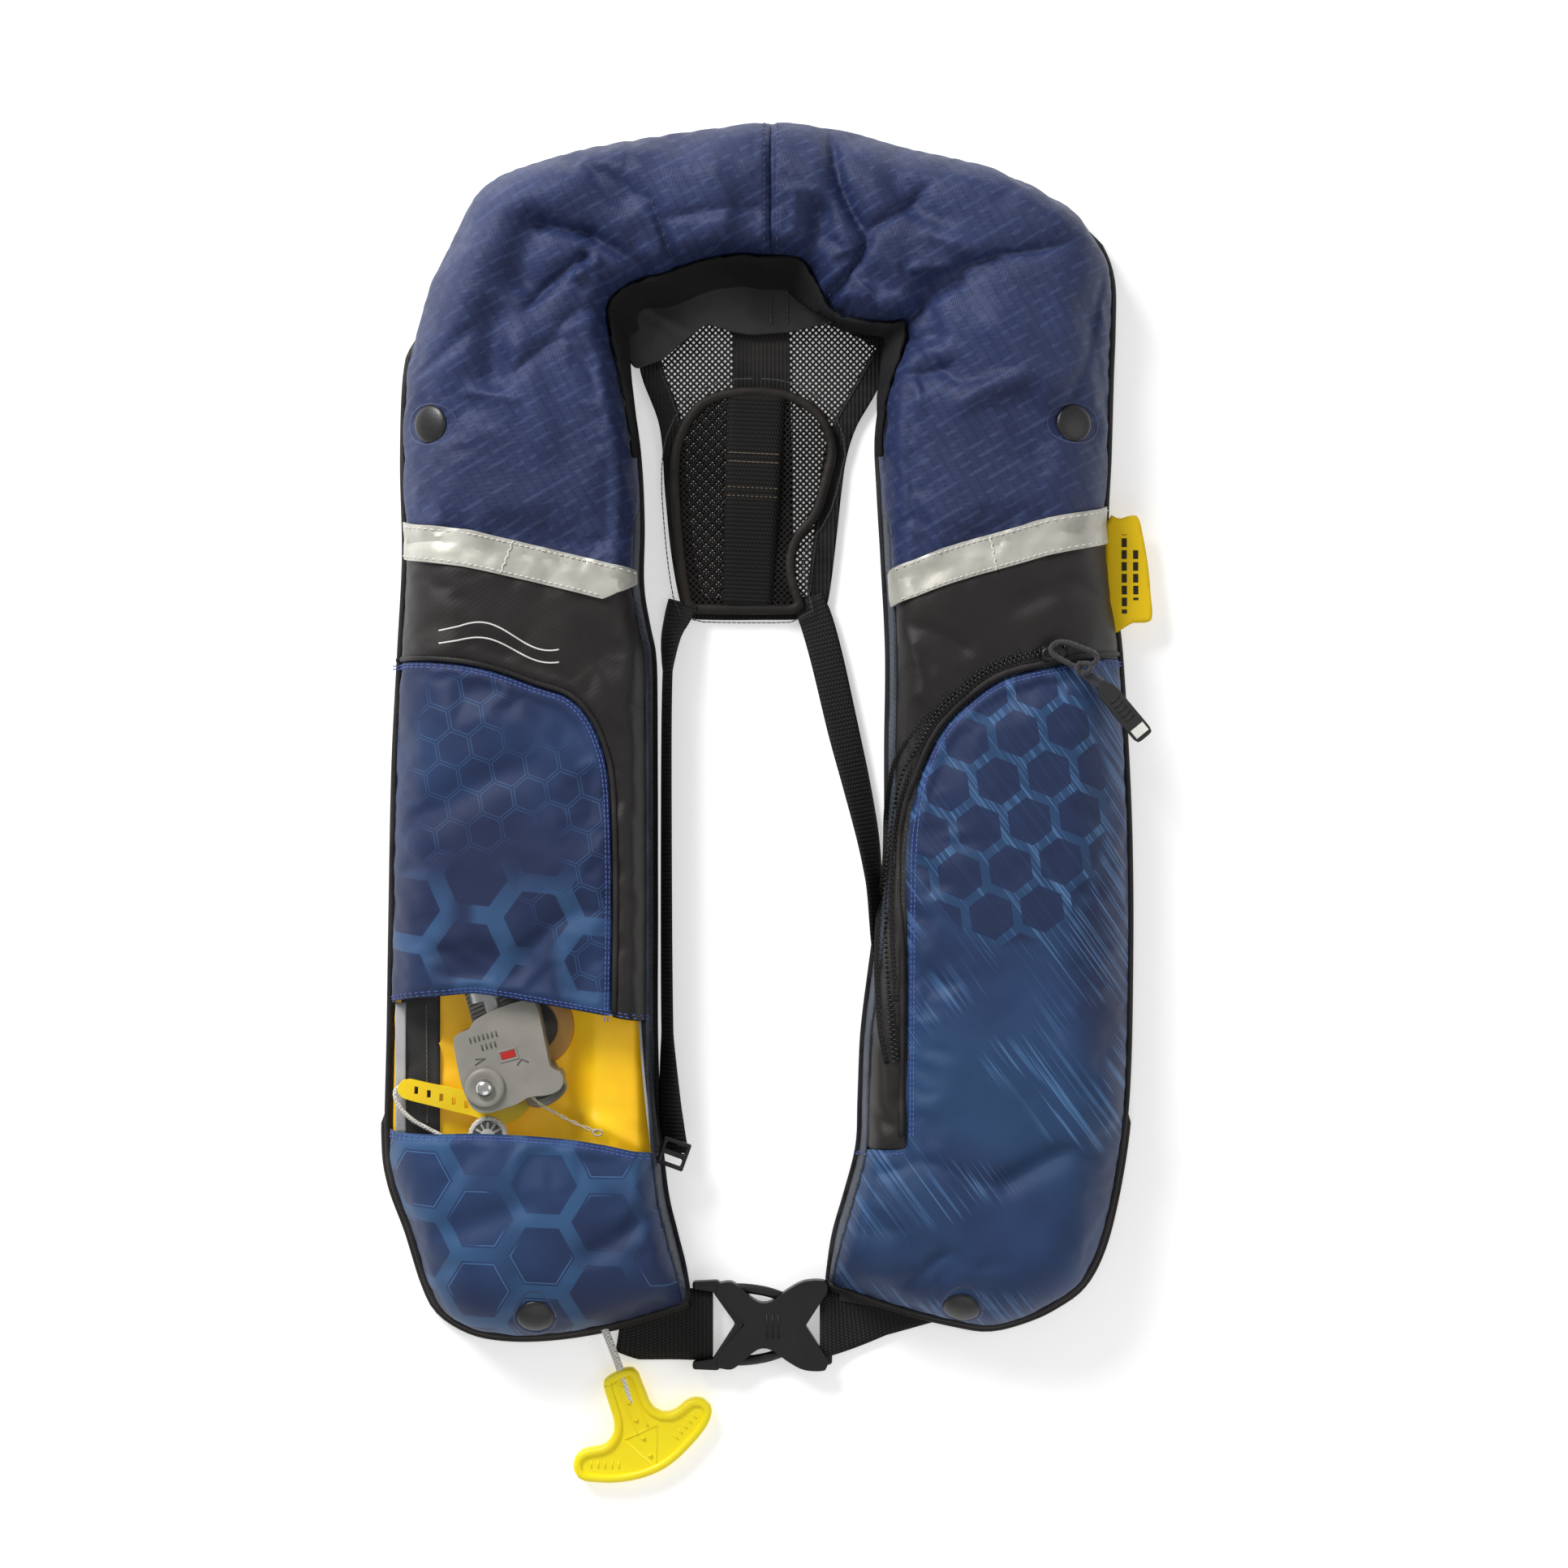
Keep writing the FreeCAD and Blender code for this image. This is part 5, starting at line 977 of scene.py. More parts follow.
def ribbon(name, path, width, thick, material, body="jacket", tilt=0.0, replaces=()):
    """A flat strap along a 3-D path.  Its tilt in degrees turns it about the path."""
    path = np.array(path, float)
    width = np.broadcast_to(np.array(width, float), len(path))
    tilt = np.broadcast_to(np.radians(np.array(tilt, float)), len(path))
    steps = np.gradient(path, axis=0)
    steps /= np.linalg.norm(steps, axis=1)[:, None]
    side = np.cross(steps, [0, 0, 1.0])
    side /= np.linalg.norm(side, axis=1)[:, None]
    up = np.cross(side, steps)
    side, up = (side * np.cos(tilt)[:, None] + up * np.sin(tilt)[:, None],
                up * np.cos(tilt)[:, None] - side * np.sin(tilt)[:, None])
    across = 9
    half = thick / 2
    section = [(t, half * min(1.0, 3.5 * (1 - abs(t)) + 0.35)) for t in np.linspace(-1, 1, across)]
    loop = section + [(t, -h) for t, h in reversed(section)]
    verts = []
    for p, s, u, w in zip(path, side, up, width):
        verts.extend(p + s * t * w / 2 + u * h for t, h in loop)
    count = len(loop)
    faces = []
    for i in range(len(path) - 1):
        for k in range(count):
            n = (k + 1) % count
            faces.append((i * count + k, i * count + n, (i + 1) * count + n, (i + 1) * count + k))
    faces.append(tuple(range(count - 1, -1, -1)))
    last = (len(path) - 1) * count
    faces.append(tuple(range(last, last + count)))
    obj = make_object(name, verts, faces, material, body)
    run = np.concatenate([[0], np.cumsum(np.linalg.norm(np.diff(path, axis=0), axis=1))])
    layer = obj.data.uv_layers.new(name="strap")
    for loop_item in obj.data.loops:
        i, k = divmod(loop_item.vertex_index, count)
        layer.data[loop_item.index].uv = (run[i] * MM, loop[k][0] * width[i] / 2 * MM)
    if replaces:
        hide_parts(*replaces)
    return obj


# ---------------------------------------------------------------- the cover's panels
def above(P, line):
    """Height of points above a plan line that runs left to right."""
    return P[:, 1] - np.interp(P[:, 0], line[:, 0], line[:, 1])


POCKET_LEFT_LOOP = np.vstack([POCKET_LEFT, [(-230, -150), (-230, 44.5)]])
POCKET_RIGHT_LOOP = np.vstack([POCKET_RIGHT,
                               [(70.6, -206.5), (30, -209.5), (0, -212), (0, -330), (230, -330),
                                (230, 46.5)]])


def jacket_gap(P):
    """Distance in from the jacket's outline, negative outside it."""
    return signed(P, JACKET)


def collar_region(sign):
    """Plan region of one half of the collar's cover."""
    tape = TAPE_LEFT if sign < 0 else TAPE_RIGHT
    return lambda P: np.minimum.reduce([jacket_gap(P), (P[:, 0] - SEAM_X) * sign, above(P, tape)])


def collar_seams(sign):
    """Distance in from the seams that draw one half of the collar down."""
    tape = TAPE_LEFT if sign < 0 else TAPE_RIGHT
    return lambda P: np.minimum((P[:, 0] - SEAM_X) * sign, above(P, tape))


def gusset_gap(P):
    """Distance in from the gusset's seam along the lobes' inner edges, below the neck."""
    gap, _ = line_distance(P, INNER_LINE)
    return np.where(P[:, 1] < 128, gap - GUSSET_WIDTH * np.clip((128 - P[:, 1]) / 12, 0, 1), gap)


def pocket_left_sd(P):
    """Distance in from the left pocket's seams and the window."""
    return np.minimum(signed(P, POCKET_LEFT_LOOP), above(P, WINDOW_TOP))


def make_cover():
    """Collar, chest, pocket and lower panels, the window and the side gussets."""
    for sign, name in ((-1, "left"), (1, "right")):
        box = ((-204, 70), (8, 330)) if sign < 0 else ((-4, 70), (184, 330))
        region = collar_region(sign)
        lobe = lambda P, r=region: np.minimum(r(P), gusset_gap(P))
        panel(f"collar_{name}", lobe, box, RIPSTOP, cell=2.2, edge_region=collar_seams(sign), cap=3.5,
              slack=0.045, replaces=(f"collar_cover_{name}",))
    chest_left = lambda P: np.minimum.reduce([jacket_gap(P), -above(P, TAPE_LEFT),
                                              -signed(P, POCKET_LEFT_LOOP),
                                              above(P, WINDOW_TOP), gusset_gap(P), -P[:, 0]])
    panel("chest_left", chest_left, ((-204, -150), (-50, 120)), SATIN, cell=2.6, cap=1.6, slack=0.02,
          replaces=("chest_panel_left",), edge_region=lambda P: np.minimum(
              -signed(P, POCKET_LEFT_LOOP), gusset_gap(P)))
    chest_right = lambda P: np.minimum.reduce([jacket_gap(P), -above(P, TAPE_RIGHT),
                                               -signed(P, POCKET_RIGHT_LOOP), gusset_gap(P), P[:, 0]])
    panel("chest_right", chest_right, ((40, -215), (196, 125)), SATIN, cell=2.6, cap=1.6, slack=0.02,
          replaces=("chest_panel_right",), edge_region=lambda P: np.minimum(
              -signed(P, POCKET_RIGHT_LOOP), gusset_gap(P)))
    pocket_left = lambda P: np.minimum(jacket_gap(P), pocket_left_sd(P))
    panel("pocket_left", pocket_left, ((-204, -146), (-70, 50)), HEX_LINES, cell=2.8, cap=2.6,
          replaces=("pocket_panel_left",), edge_region=pocket_left_sd)
    lower = lambda P: np.minimum.reduce([jacket_gap(P), -above(P, WINDOW_BOTTOM), gusset_gap(P), -P[:, 0]])
    panel("lower_left", lower, ((-206, -316), (-36, -190)), STRUTS, cell=2.8, cap=2.6,
          replaces=("lower_panel_left",),
          edge_region=lambda P: np.minimum(-above(P, WINDOW_BOTTOM), gusset_gap(P)))
    pocket_right = lambda P: np.minimum.reduce([jacket_gap(P), signed(P, POCKET_RIGHT_LOOP), gusset_gap(P)])
    panel("pocket_right", pocket_right, ((24, -312), (196, 52)), STREAKS, cell=2.8, cap=3.0,
          replaces=("pocket_panel_right",),
          edge_region=lambda P: np.minimum(signed(P, POCKET_RIGHT_LOOP), gusset_gap(P)))
    window = lambda P: np.minimum.reduce([jacket_gap(P), -above(P, WINDOW_TOP), above(P, WINDOW_BOTTOM),
                                          gusset_gap(P), -P[:, 0]])
    panel("window_film", window, ((-206, -214), (-50, -120)), FILM, cell=3.2, seam=1.0, cap=0.0, thick=0.5,
          replaces=("inflator_window",))
    for name, sign in (("left", -1), ("right", 1)):
        strip = lambda P, s=sign: np.minimum.reduce([jacket_gap(P), -gusset_gap(P), 128 - P[:, 1],
                                                     P[:, 0] * s])
        box = ((-74, -292), (-34, 134)) if sign < 0 else ((26, -284), (72, 134))
        panel(f"gusset_{name}", strip, box, GUSSET, cell=1.8, seam=0.8, cap=0.0, thick=0.8,
              replaces=(f"side_gusset_{name}",))


def make_back():
    """Back panels: a flat sheet under the whole jacket, a little wider than the cover."""
    grown = lambda P: jacket_gap(P) + 2.0 - 5.0 * np.clip((P[:, 1] - np.where(P[:, 0] < 0, 205, 262)) / 22,
                                                          0, 1)
    P, faces = sheet_grid(grown, ((-206, -316), (196, 330)), 4.0)
    gap = np.clip(grown(P) / 26, 0, 1)
    height = 4.6 - 3.2 * np.sin(gap * math.pi / 2) + 0.3 * undulation(P, 15.0, 4.0)
    back = make_object("back_panels", np.column_stack([P, height]), faces, BACKING, "jacket")
    thicken(back, 1.0)
    dress(back, "back_fabric", "back_panel_collar", "back_panel_left", "back_panel_right")


def piping(name, line, radius, lift, material=PIPING):
    """A round piping laid along a plan line on the cover."""
    verts, faces = tube_mesh(surface_z(line, lift), radius, 10)
    return make_object(name, verts, faces, material, "jacket")


def make_pipings():
    """Pipings and hem binding round the edges, and the rows of stitches beside seams."""
    rolled = np.clip((OUTER_LINE[:, 1] - np.where(OUTER_LINE[:, 0] < 0, 205, 262)) / 22, 0, 1)
    out = offset_line(OUTER_LINE, 1.0) - OUTER_LINE
    outer = OUTER_LINE + out * (0.6 - 6.4 * rolled)[:, None]
    path = np.column_stack([outer, 6.4 - 2.4 * rolled])
    edge = tube("edge_piping_cord", path, 1.9, PIPING)
    dress(edge, "piping_black", "edge_piping")
    low = offset_line(OUTER_LINE[OUTER_LINE[:, 1] < -190], 2.2)
    for side in (-1, 1):
        part = low[low[:, 0] * side > 0]
        hem = tube(f"hem_binding_{'left' if side < 0 else 'right'}", np.column_stack(
            [part, np.full(len(part), 3.4)]), 2.4, BINDING)
    left = offset_line(POCKET_LEFT, 1.2)
    left = left[(left[:, 0] > -196.5) & (left[:, 1] > -138.0)]
    cord = piping("pocket_piping_cord", left, 1.5, 0.6)
    dress(cord, "piping_black", "pocket_piping_left")
    right = offset_line(POCKET_RIGHT, -2.4)
    cord = piping("pocket_piping_right", right, 1.5, 0.4)
    stitches("stitch_pocket_left_a", offset_line(POCKET_LEFT, -2.0), BLUE_THREAD)
    stitches("stitch_pocket_left_b", offset_line(POCKET_LEFT, -3.6), BLUE_THREAD)
    stitches("stitch_pocket_right_a", offset_line(POCKET_RIGHT, 2.0), BLUE_THREAD)
    stitches("stitch_pocket_right_b", offset_line(POCKET_RIGHT, 3.6), BLUE_THREAD)
    stitches("stitch_pocket_right_foot", np.array([(44, -212), (70, -208.5)]), BLUE_THREAD, sway=0.4)
    for name, line, gaps in (("window_top", WINDOW_TOP, (1.2, 2.8)),
                             ("window_bottom", WINDOW_BOTTOM, (-1.4, -3.0))):
        keep = line[(line[:, 0] > -193) & (line[:, 0] < -63)]
        for n, gap in enumerate(gaps):
            stitches(f"stitch_{name}_{n}", offset_line(keep, gap), BLUE_THREAD)
    seam = np.array([(SEAM_X, 320.0), (SEAM_X, 254.0)])
    for n, gap in enumerate((-3.2, 3.2)):
        stitches(f"stitch_collar_seam_{n}", offset_line(seam, gap), NAVY_THREAD, spacing=2.8)
    for n, (start, end) in enumerate((((-60, 280), (-49, 250)), ((52, 262), (32, 233)))):
        stitches(f"stitch_dart_{n}", np.array([start, end], float), NAVY_THREAD, spacing=2.8)


def over_tape(P, lift):
    """Places positions on a tape, which spans the hollows below it."""
    return surface_z(P, lift, 2.6)


def make_tapes():
    """Two reflective tapes sewn across the lobes, with dashed edges and a bar tack."""
    for name, line, tack, sign in (("left", TAPE_LEFT, -134.0, -1), ("right", TAPE_RIGHT, 115.0, 1)):
        half = 9.6
        slant = 24.0
        inner_end = (line[:, 0].max() - 12.5) if sign < 0 else (line[:, 0].min() + 4.0)

        def region(P, line=line, sign=sign, end=inner_end):
            off = above(P, line)
            edge = end + off * (slant / 19.0) if sign < 0 else end + np.abs(off - 4) * 0.35
            return np.minimum.reduce([jacket_gap(P) - 1.0, half - np.abs(off), (P[:, 0] - edge) * sign])

        box = ((-196, 60), (-50, 130)) if sign < 0 else ((54, 60), (184, 136))
        P, faces = sheet_grid(region, box, 2.4)
        tape = make_object(f"tape_{name}", surface_z(P, 0.9, 2.6), faces, TAPE_SILVER, "jacket")
        modifier(tape, "SOLIDIFY", thickness=1.2 * MM, offset=-1.0)
        modifier(tape, "BEVEL", width=0.25 * MM, segments=2, limit_method="ANGLE")
        for n, gap in enumerate((-7.6, 7.6)):
            row = offset_line(line, gap)
            row = row[region(row) > 1.2]
            stitches(f"stitch_tape_{name}_{n}", row, WHITE_THREAD, spacing=3.0, length=2.0, lift=1.0,
                     radius=0.36, place=over_tape)
        lean = -3.2 if sign < 0 else 1.6
        centre = np.interp(tack, line[:, 0], line[:, 1])
        row = np.array([(tack - lean, centre + 8.5), (tack + lean, centre - 8.5)])
        stitches(f"stitch_tack_{name}", row, WHITE_THREAD, spacing=2.0, length=2.2, lift=1.0, sway=0.5,
                 radius=0.4, place=over_tape)
    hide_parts("reflective_tapes")


def make_snaps():
    """Four snaps: a domed cap with a rolled rim pressed into the cloth."""
    profile = [(0.5, -1.5), (8.6, -1.5), (9.5, -0.9), (9.75, 0.0), (9.5, 0.8), (8.6, 1.35), (7.4, 1.75),
               (5.0, 2.25), (2.5, 2.5), (0.5, 2.56)]
    for n, (x, y) in enumerate(SNAP_SPOTS):
        nearby = surface_z([(x - 7, y), (x + 7, y), (x, y - 7), (x, y + 7)])
        normal = np.cross(nearby[1] - nearby[0], nearby[3] - nearby[2])
        normal /= np.linalg.norm(normal)
        normal = normal * 0.8 + np.array([0, 0, 0.2])
        spot = nearby.mean(axis=0) + [0, 0, 1.5]
        lathe(f"snap_cap_{n}", profile, spot, SNAP_BLACK, "jacket", tuple(normal))
        ring = surface_z(disc_outline(x, y, 10.4, 36), -0.6)
        verts, faces = tube_mesh(np.vstack([ring, ring[:1]]), 0.7, 8)
        pucker = make_object(f"snap_pucker_{n}", verts, faces, NAVY_THREAD, "jacket")
        under = [(0.5, -7.0), (4.6, -7.0), (6.2, -6.2), (6.5, -5.0), (6.2, -4.0), (2.4, -3.6), (2.2, -1.4),
                 (0.5, -1.4)]
        lathe(f"snap_socket_{n}", under, spot, ZINC, "jacket", tuple(normal))
    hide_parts("snap_caps")
    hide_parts("snap_sockets")


# ---------------------------------------------------------------- neck, yoke and flap
YOKE_LOOP = smooth([
    (-69, 218), (-67.5, 197), (-57.5, 168.6), (-54.7, 135), (-51.3, 101.4), (-46.5, 76), (-42, 68.4),
    (-34, 67.2), (-8, 67.0), (18, 67.4), (26, 69), (30.6, 75), (34.4, 101), (38.2, 135), (40.7, 152),
    (46, 168.6), (56, 186), (69, 213), (60, 222), (20, 240), (-30, 248), (-74, 236)], True)
YOKE_Z = 1.6
FLAP_LOOP = smooth([
    (-8, 189), (-26, 187), (-40, 179), (-49.5, 162), (-52, 140), (-49.5, 104), (-46, 80), (-43, 71.5),
    (-34, 70), (-8, 69.6), (14, 70), (19, 73), (14.5, 88), (14, 100), (18, 110), (27, 122), (33.5, 144),
    (35.5, 158), (29, 175), (12, 186.5)], True)
FLAP_Z = 5.4
BINDING_WIDTH = 5.2
MESH_PITCH = 3.3


NECK_BAND_LOOP = np.array([
    (-92, 262), (-92, 150), (-66, 150), (-71, 190), (-73, 214), (-66, 221), (-40, 228), (-23, 233),
    (-2, 238), (10, 238), (24, 226), (40, 216), (60, 213), (56, 182), (56, 150), (92, 150), (92, 262)])
FACING_LOOP = np.array([
    (-84, 262), (-84, 222), (-76, 206), (-70, 198), (-56, 203), (-45, 212), (-33, 222), (-19, 217.5),
    (-9, 216), (12, 217.5), (26, 221), (44, 224), (60, 232), (60, 262)])


def make_neck():
    """Neoprene band round the neck's inner wall, and the satin facing laid below it."""
    band = lambda P: np.minimum.reduce([-jacket_gap(P) + 1.0, signed(P, NECK_BAND_LOOP)])
    P, faces = sheet_grid(band, ((-90, 140), (78, 262)), 2.6)
    gap, _ = line_distance(P, INNER_LINE)
    reach = np.clip(gap / 13.0, 0, 1)
    height = 34.0 - 27.0 * reach ** 0.8 + 0.8 * undulation(P, 12.0, 3.0)
    neck = make_object("neck_band_wall", np.column_stack([P, height]), faces, NEOPRENE, "jacket")
    thicken(neck, 2.0)
    dress(neck, "neoprene_black", "neck_band")
    facing = lambda P: np.minimum(signed(P, FACING_LOOP), -jacket_gap(P) + 6.0)
    P, faces = sheet_grid(facing, ((-90, 186), (78, 262)), 2.6)
    crease = 1.6 * np.exp(-((P[:, 0] * 0.5 + P[:, 1] - 196) / 4) ** 2) + 1.4 * np.exp(
        -((P[:, 0] * 0.8 + P[:, 1] - 178) / 5) ** 2)
    height = 7.0 + crease + 0.8 * undulation(P, 20.0, 9.0) + 0.05 * (P[:, 1] - 200)
    satin = make_object("neck_facing_satin", np.column_stack([P, height]), faces, FACING, "jacket")
    thicken(satin, 1.4)
    dress(satin, "facing_charcoal", "neck_facing")
    for n, x in enumerate((1.0, 9.6)):
        stitches(f"stitch_facing_{n}", np.array([(x, 240.0), (x, 222.0)]), DARK_THREAD,
                 place=flat_surface(9.2), lift=0.0)


def diamond_mesh(name, region, pitch, width, z, material, body, lift=0.0):
    """Open mesh: a lattice of diamonds, their sides turned into thin strands."""
    verts = []
    faces = []
    index = {}

    def corner(i, j):
        if (i, j) not in index:
            index[i, j] = len(verts)
            x, y = i * pitch / 2, j * pitch / 2
            verts.append((x, y, z + lift * math.sin(x / 9.0) * math.cos(y / 13.0)))
        return index[i, j]

    spread = np.array([(i, j) for i in range(-90, 90) for j in range(20, 260) if (i + j) % 2])
    good = region(spread * pitch / 2) > 0
    for i, j in spread[good]:
        faces.append((corner(i - 1, j), corner(i, j - 1), corner(i + 1, j), corner(i, j + 1)))
    obj = make_object(name, verts, faces, material, body)
    modifier(obj, "WIREFRAME", thickness=width * MM, use_even_offset=False)
    return obj


def make_yoke():
    """Mesh yoke between the lobes: a spacer border and centre strip with open mesh."""
    border = lambda P: np.minimum.reduce([signed(P, YOKE_LOOP), 12.0 - signed(P, YOKE_LOOP)])
    strip = lambda P: np.minimum.reduce([signed(P, YOKE_LOOP),
                                         15.0 - np.abs(P[:, 0] + 3.5 + (P[:, 1] - 180) * 0.02)])
    solid = lambda P: np.maximum(border(P), strip(P))
    P, faces = sheet_grid(solid, ((-80, 60), (76, 252)), 2.4)
    height = YOKE_Z + 1.6 + 0.3 * undulation(P, 14.0, 5.0)
    edge = make_object("yoke_edge", np.column_stack([P, height]), faces, SPACER, "jacket")
    thicken(edge, 2.6)
    dress(edge, "spacer_mesh", "yoke_border", "yoke_centre_strip")
    mesh = diamond_mesh("yoke_open_mesh", lambda P: np.minimum(signed(P, YOKE_LOOP) - 9, -strip(P) + 4),
                        MESH_PITCH, 1.62, YOKE_Z, MESH, "jacket", 0.3)
    dress(mesh, "open_mesh", "yoke_mesh")
    ring = smooth(YOKE_LOOP[::3], True)
    stitches("stitch_yoke", offset_line(ring[ring[:, 1] < 200], 10.5), DARK_THREAD,
             place=flat_surface(YOKE_Z + 1.9), lift=0)


def make_flap():
    """Back flap: bound mesh pad with a wide webbing down its middle."""
    ring = np.vstack([FLAP_LOOP, FLAP_LOOP[:1]])
    inner = lambda P: signed(P, FLAP_LOOP)
    bind = lambda P: np.minimum(inner(P), BINDING_WIDTH - inner(P))
    P, faces = sheet_grid(bind, ((-58, 62), (42, 194)), 1.7)
    gap = inner(P)
    lift = 1.6 * np.sin(np.clip(gap / BINDING_WIDTH, 0, 1) * math.pi) + 0.9 * undulation(P, 16.0, 8.0)
    binding = make_object("flap_binding_tape", np.column_stack([P, FLAP_Z + 1.2 + lift]), faces, BINDING,
                          "back_flap")
    thicken(binding, 1.6)
    dress(binding, "binding_brown_black", "flap_binding")
    stitches("stitch_flap", offset_line(ring[::2], -4.2), DARK_THREAD, "back_flap",
             place=flat_surface(FLAP_Z + 2.4), lift=0)
    mesh = diamond_mesh("flap_open_mesh", lambda P: inner(P) - 3, MESH_PITCH, 1.15, FLAP_Z + 0.3, MESH,
                        "back_flap", 0.4)
    dress(mesh, "open_mesh", "back_flap")
    under = diamond_mesh("flap_lining_mesh", lambda P: np.minimum(inner(P) - 3, -12 - P[:, 0]), 2.2, 1.5,
                         FLAP_Z - 0.9, MESH, "back_flap", 0.3)
    rows = np.arange(185, 72, -3)
    path = [(-6.5 - (186 - y) * 0.045, y, FLAP_Z + 1.7 + 0.8 * math.sin(y / 17)) for y in rows]
    widths = np.linspace(30.5, 26, len(path))
    ribbon("flap_webbing_strap", path, widths, 1.8, FLAP_WEBBING, "back_flap",
                 replaces=("flap_webbing",))
    for n, y in enumerate((154, 149.5, 136, 131.5)):
        x = -6.5 - (186 - y) * 0.045
        stitches(f"stitch_flap_box_{n}", np.array([(x - 13, y + 0.6), (x + 13, y - 0.6)]), TAN_THREAD,
                 "back_flap", place=flat_surface(FLAP_Z + 3.1), lift=0, spacing=2.4, radius=0.28)


# ---------------------------------------------------------------- straps, belt and buckle
def make_straps():
    """The two back straps, from the yoke down under the lobes."""
    left_path = smooth([(-45, 76, 5), (-48.5, 66, 7), (-52, 52, 11), (-53.4, 20, 12), (-53.6, -60, 12),
                        (-53.2, -140, 12), (-52, -180, 11), (-50.5, -200, 9), (-49, -212, 7)], step=3.0)
    tilt = np.interp(left_path[:, 1], [-212, -195, -150, 40, 60, 76], [35, 42, 68, 72, 50, 20])
    ribbon("strap_left", left_path, 17.0, 1.8, WEBBING, tilt=-tilt, replaces=("back_strap_left",))
    right_path = smooth([(20, 78, 4), (25, 66, 4.4), (31, 44, 5), (39, 9, 6), (46, -20, 7), (52, -48, 8),
                         (55.5, -74, 8), (57.5, -100, 7), (60, -118, 6)], step=3.0)
    tilt = np.interp(right_path[:, 1], [-118, -70, -40, 10, 50, 78], [60, 58, 40, 14, 6, 0])
    ribbon("strap_right", right_path, np.interp(right_path[:, 1], [-110, -30, 60], [16, 16.5, 17.5]), 1.8,
           WEBBING, tilt=tilt, replaces=("back_strap_right",))


def make_adjuster():
    """Strap adjuster: a small tri-glide frame with two slots."""
    centre = np.array([-49.5, -211.5])
    turn = math.radians(-20)
    c, s = math.cos(turn), math.sin(turn)

    def turned(x0, y0, x1, y1):
        return [(centre[0] + c * x - s * y, centre[1] + s * x + c * y)
                for x, y in ((x0, y0), (x1, y0), (x1, y1), (x0, y1))]

    frame_plate = plate("adjuster_frame", turned(-7.4, -7.4, 7.4, 7.4), 17.0, 20.5, BLACK_PLASTIC,
                        "strap_adjuster", 0.9, [turned(-5.4, -5.2, 5.4, -1.4), turned(-5.4, 1.4, 5.4, 5.2)])
    dress(frame_plate, "buckle_plastic", "strap_adjuster")


def make_belt():
    """The belt webbing on each side of the buckle."""
    y = middle("belt_webbing_left")[1]
    left = smooth([(-78, y + 1, 2.6), (-70, y, 2.2), (-50, y, 2.2), (-36, y, 4.6), (-29.4, y, 5.6)], step=2.5)
    ribbon("belt_left", left, np.interp(left[:, 0], [-78, -68], [31, 37.6]), 2.0, WEBBING, "buckle_plug",
           replaces=("belt_webbing_left",))
    right = smooth([(26.8, y + 0.5, 6.4), (31, y + 0.5, 5.6), (42, y + 1, 2.6), (58, y + 3, 2.2),
                    (90, y + 8, 2.0)], step=2.5)
    ribbon("belt_right", right, np.interp(right[:, 0], [30, 38, 60, 90], [35, 31, 19, 12]), 2.0, WEBBING,
           replaces=("belt_webbing_right",))


def make_buckle():
    """Side-release buckle: the plug's bar and chevron, the waisted socket, and sprung prongs."""
    y = middle("buckle_socket")[1]
    top = node_box("buckle_socket")[1][2]
    socket = smooth([
        (-27.0, y + 22.0), (-19.5, y + 22.8), (-13.8, y + 18.6), (-8, y + 13.8), (-3.6, y + 11.8),
        (2, y + 13), (10, y + 18.8), (18.8, y + 23.2), (29.5, y + 23.2), (30.6, y + 18)], step=2.0)
    lower = socket[::-1] * [1, -1] + [0, 2 * y]
    chevron = np.array([(29.8, y + 16.4), (19.2, y), (29.8, y - 16.4)])
    tail = np.array([(-27.4, y - 15.5), (-12.8, y + 0.4), (-27.4, y + 15.5)])
    body_outline = np.vstack([socket, chevron, lower, tail])
    shell = plate("buckle_socket_shell", body_outline, top - 7.8, top, BLACK_PLASTIC, "jacket", 1.9,
                  segments=4)
    dress(shell, "buckle_plastic", "buckle_socket")
    bar = plate("buckle_socket_bar", [(28.5, y - 22.5), (33.2, y - 21), (33.2, y + 21), (28.5, y + 22.5)],
                top - 9.4, top - 6.4, BLACK_PLASTIC, "jacket", 1.2)
    plug_top = node_box("buckle_plug")[1][2] - 1.0
    plug_outline = [(-43, y + 23), (-29.4, y + 23.6), (-27.6, y + 20.5), (-15.4, y + 0.8), (-27.6, y - 20.5),
                    (-29.4, y - 23.6), (-43, y - 23), (-43, y - 19), (-32.5, y - 17.6), (-20.6, y + 0.8),
                    (-32.5, y + 17.6), (-43, y + 19)]
    plug = plate("buckle_plug_bar", [(x + 3.0, v) for x, v in plug_outline], top - 7.4, plug_top,
                 BLACK_PLASTIC, "buckle_plug", 1.3)
    dress(plug, "buckle_plastic", "buckle_plug")
    for sign, name in ((1, "upper"), (-1, "lower")):
        spine = smooth([(-25, y + sign * 18.5, 5.3), (-14, y + sign * 19.0, 5.3), (-2, y + sign * 17.4, 5.3),
                        (7, y + sign * 14.6, 5.3)], step=2.0)
        prong = tube(f"buckle_prong_{name}_arm", spine, 2.6, BLACK_PLASTIC, f"buckle_prong_{name}", 14, 0.8)
        dress(prong, "buckle_plastic", f"buckle_prong_{name}")
    ribs = [tube_mesh([(x, y - 6.5, top + 0.05), (x, y + 6.5, top + 0.05)], 0.45, 8) for x in (-1.0, 2.0,
                                                                                               5.0)]
    joined("buckle_grip_ribs", ribs, BLACK_PLASTIC, "jacket")


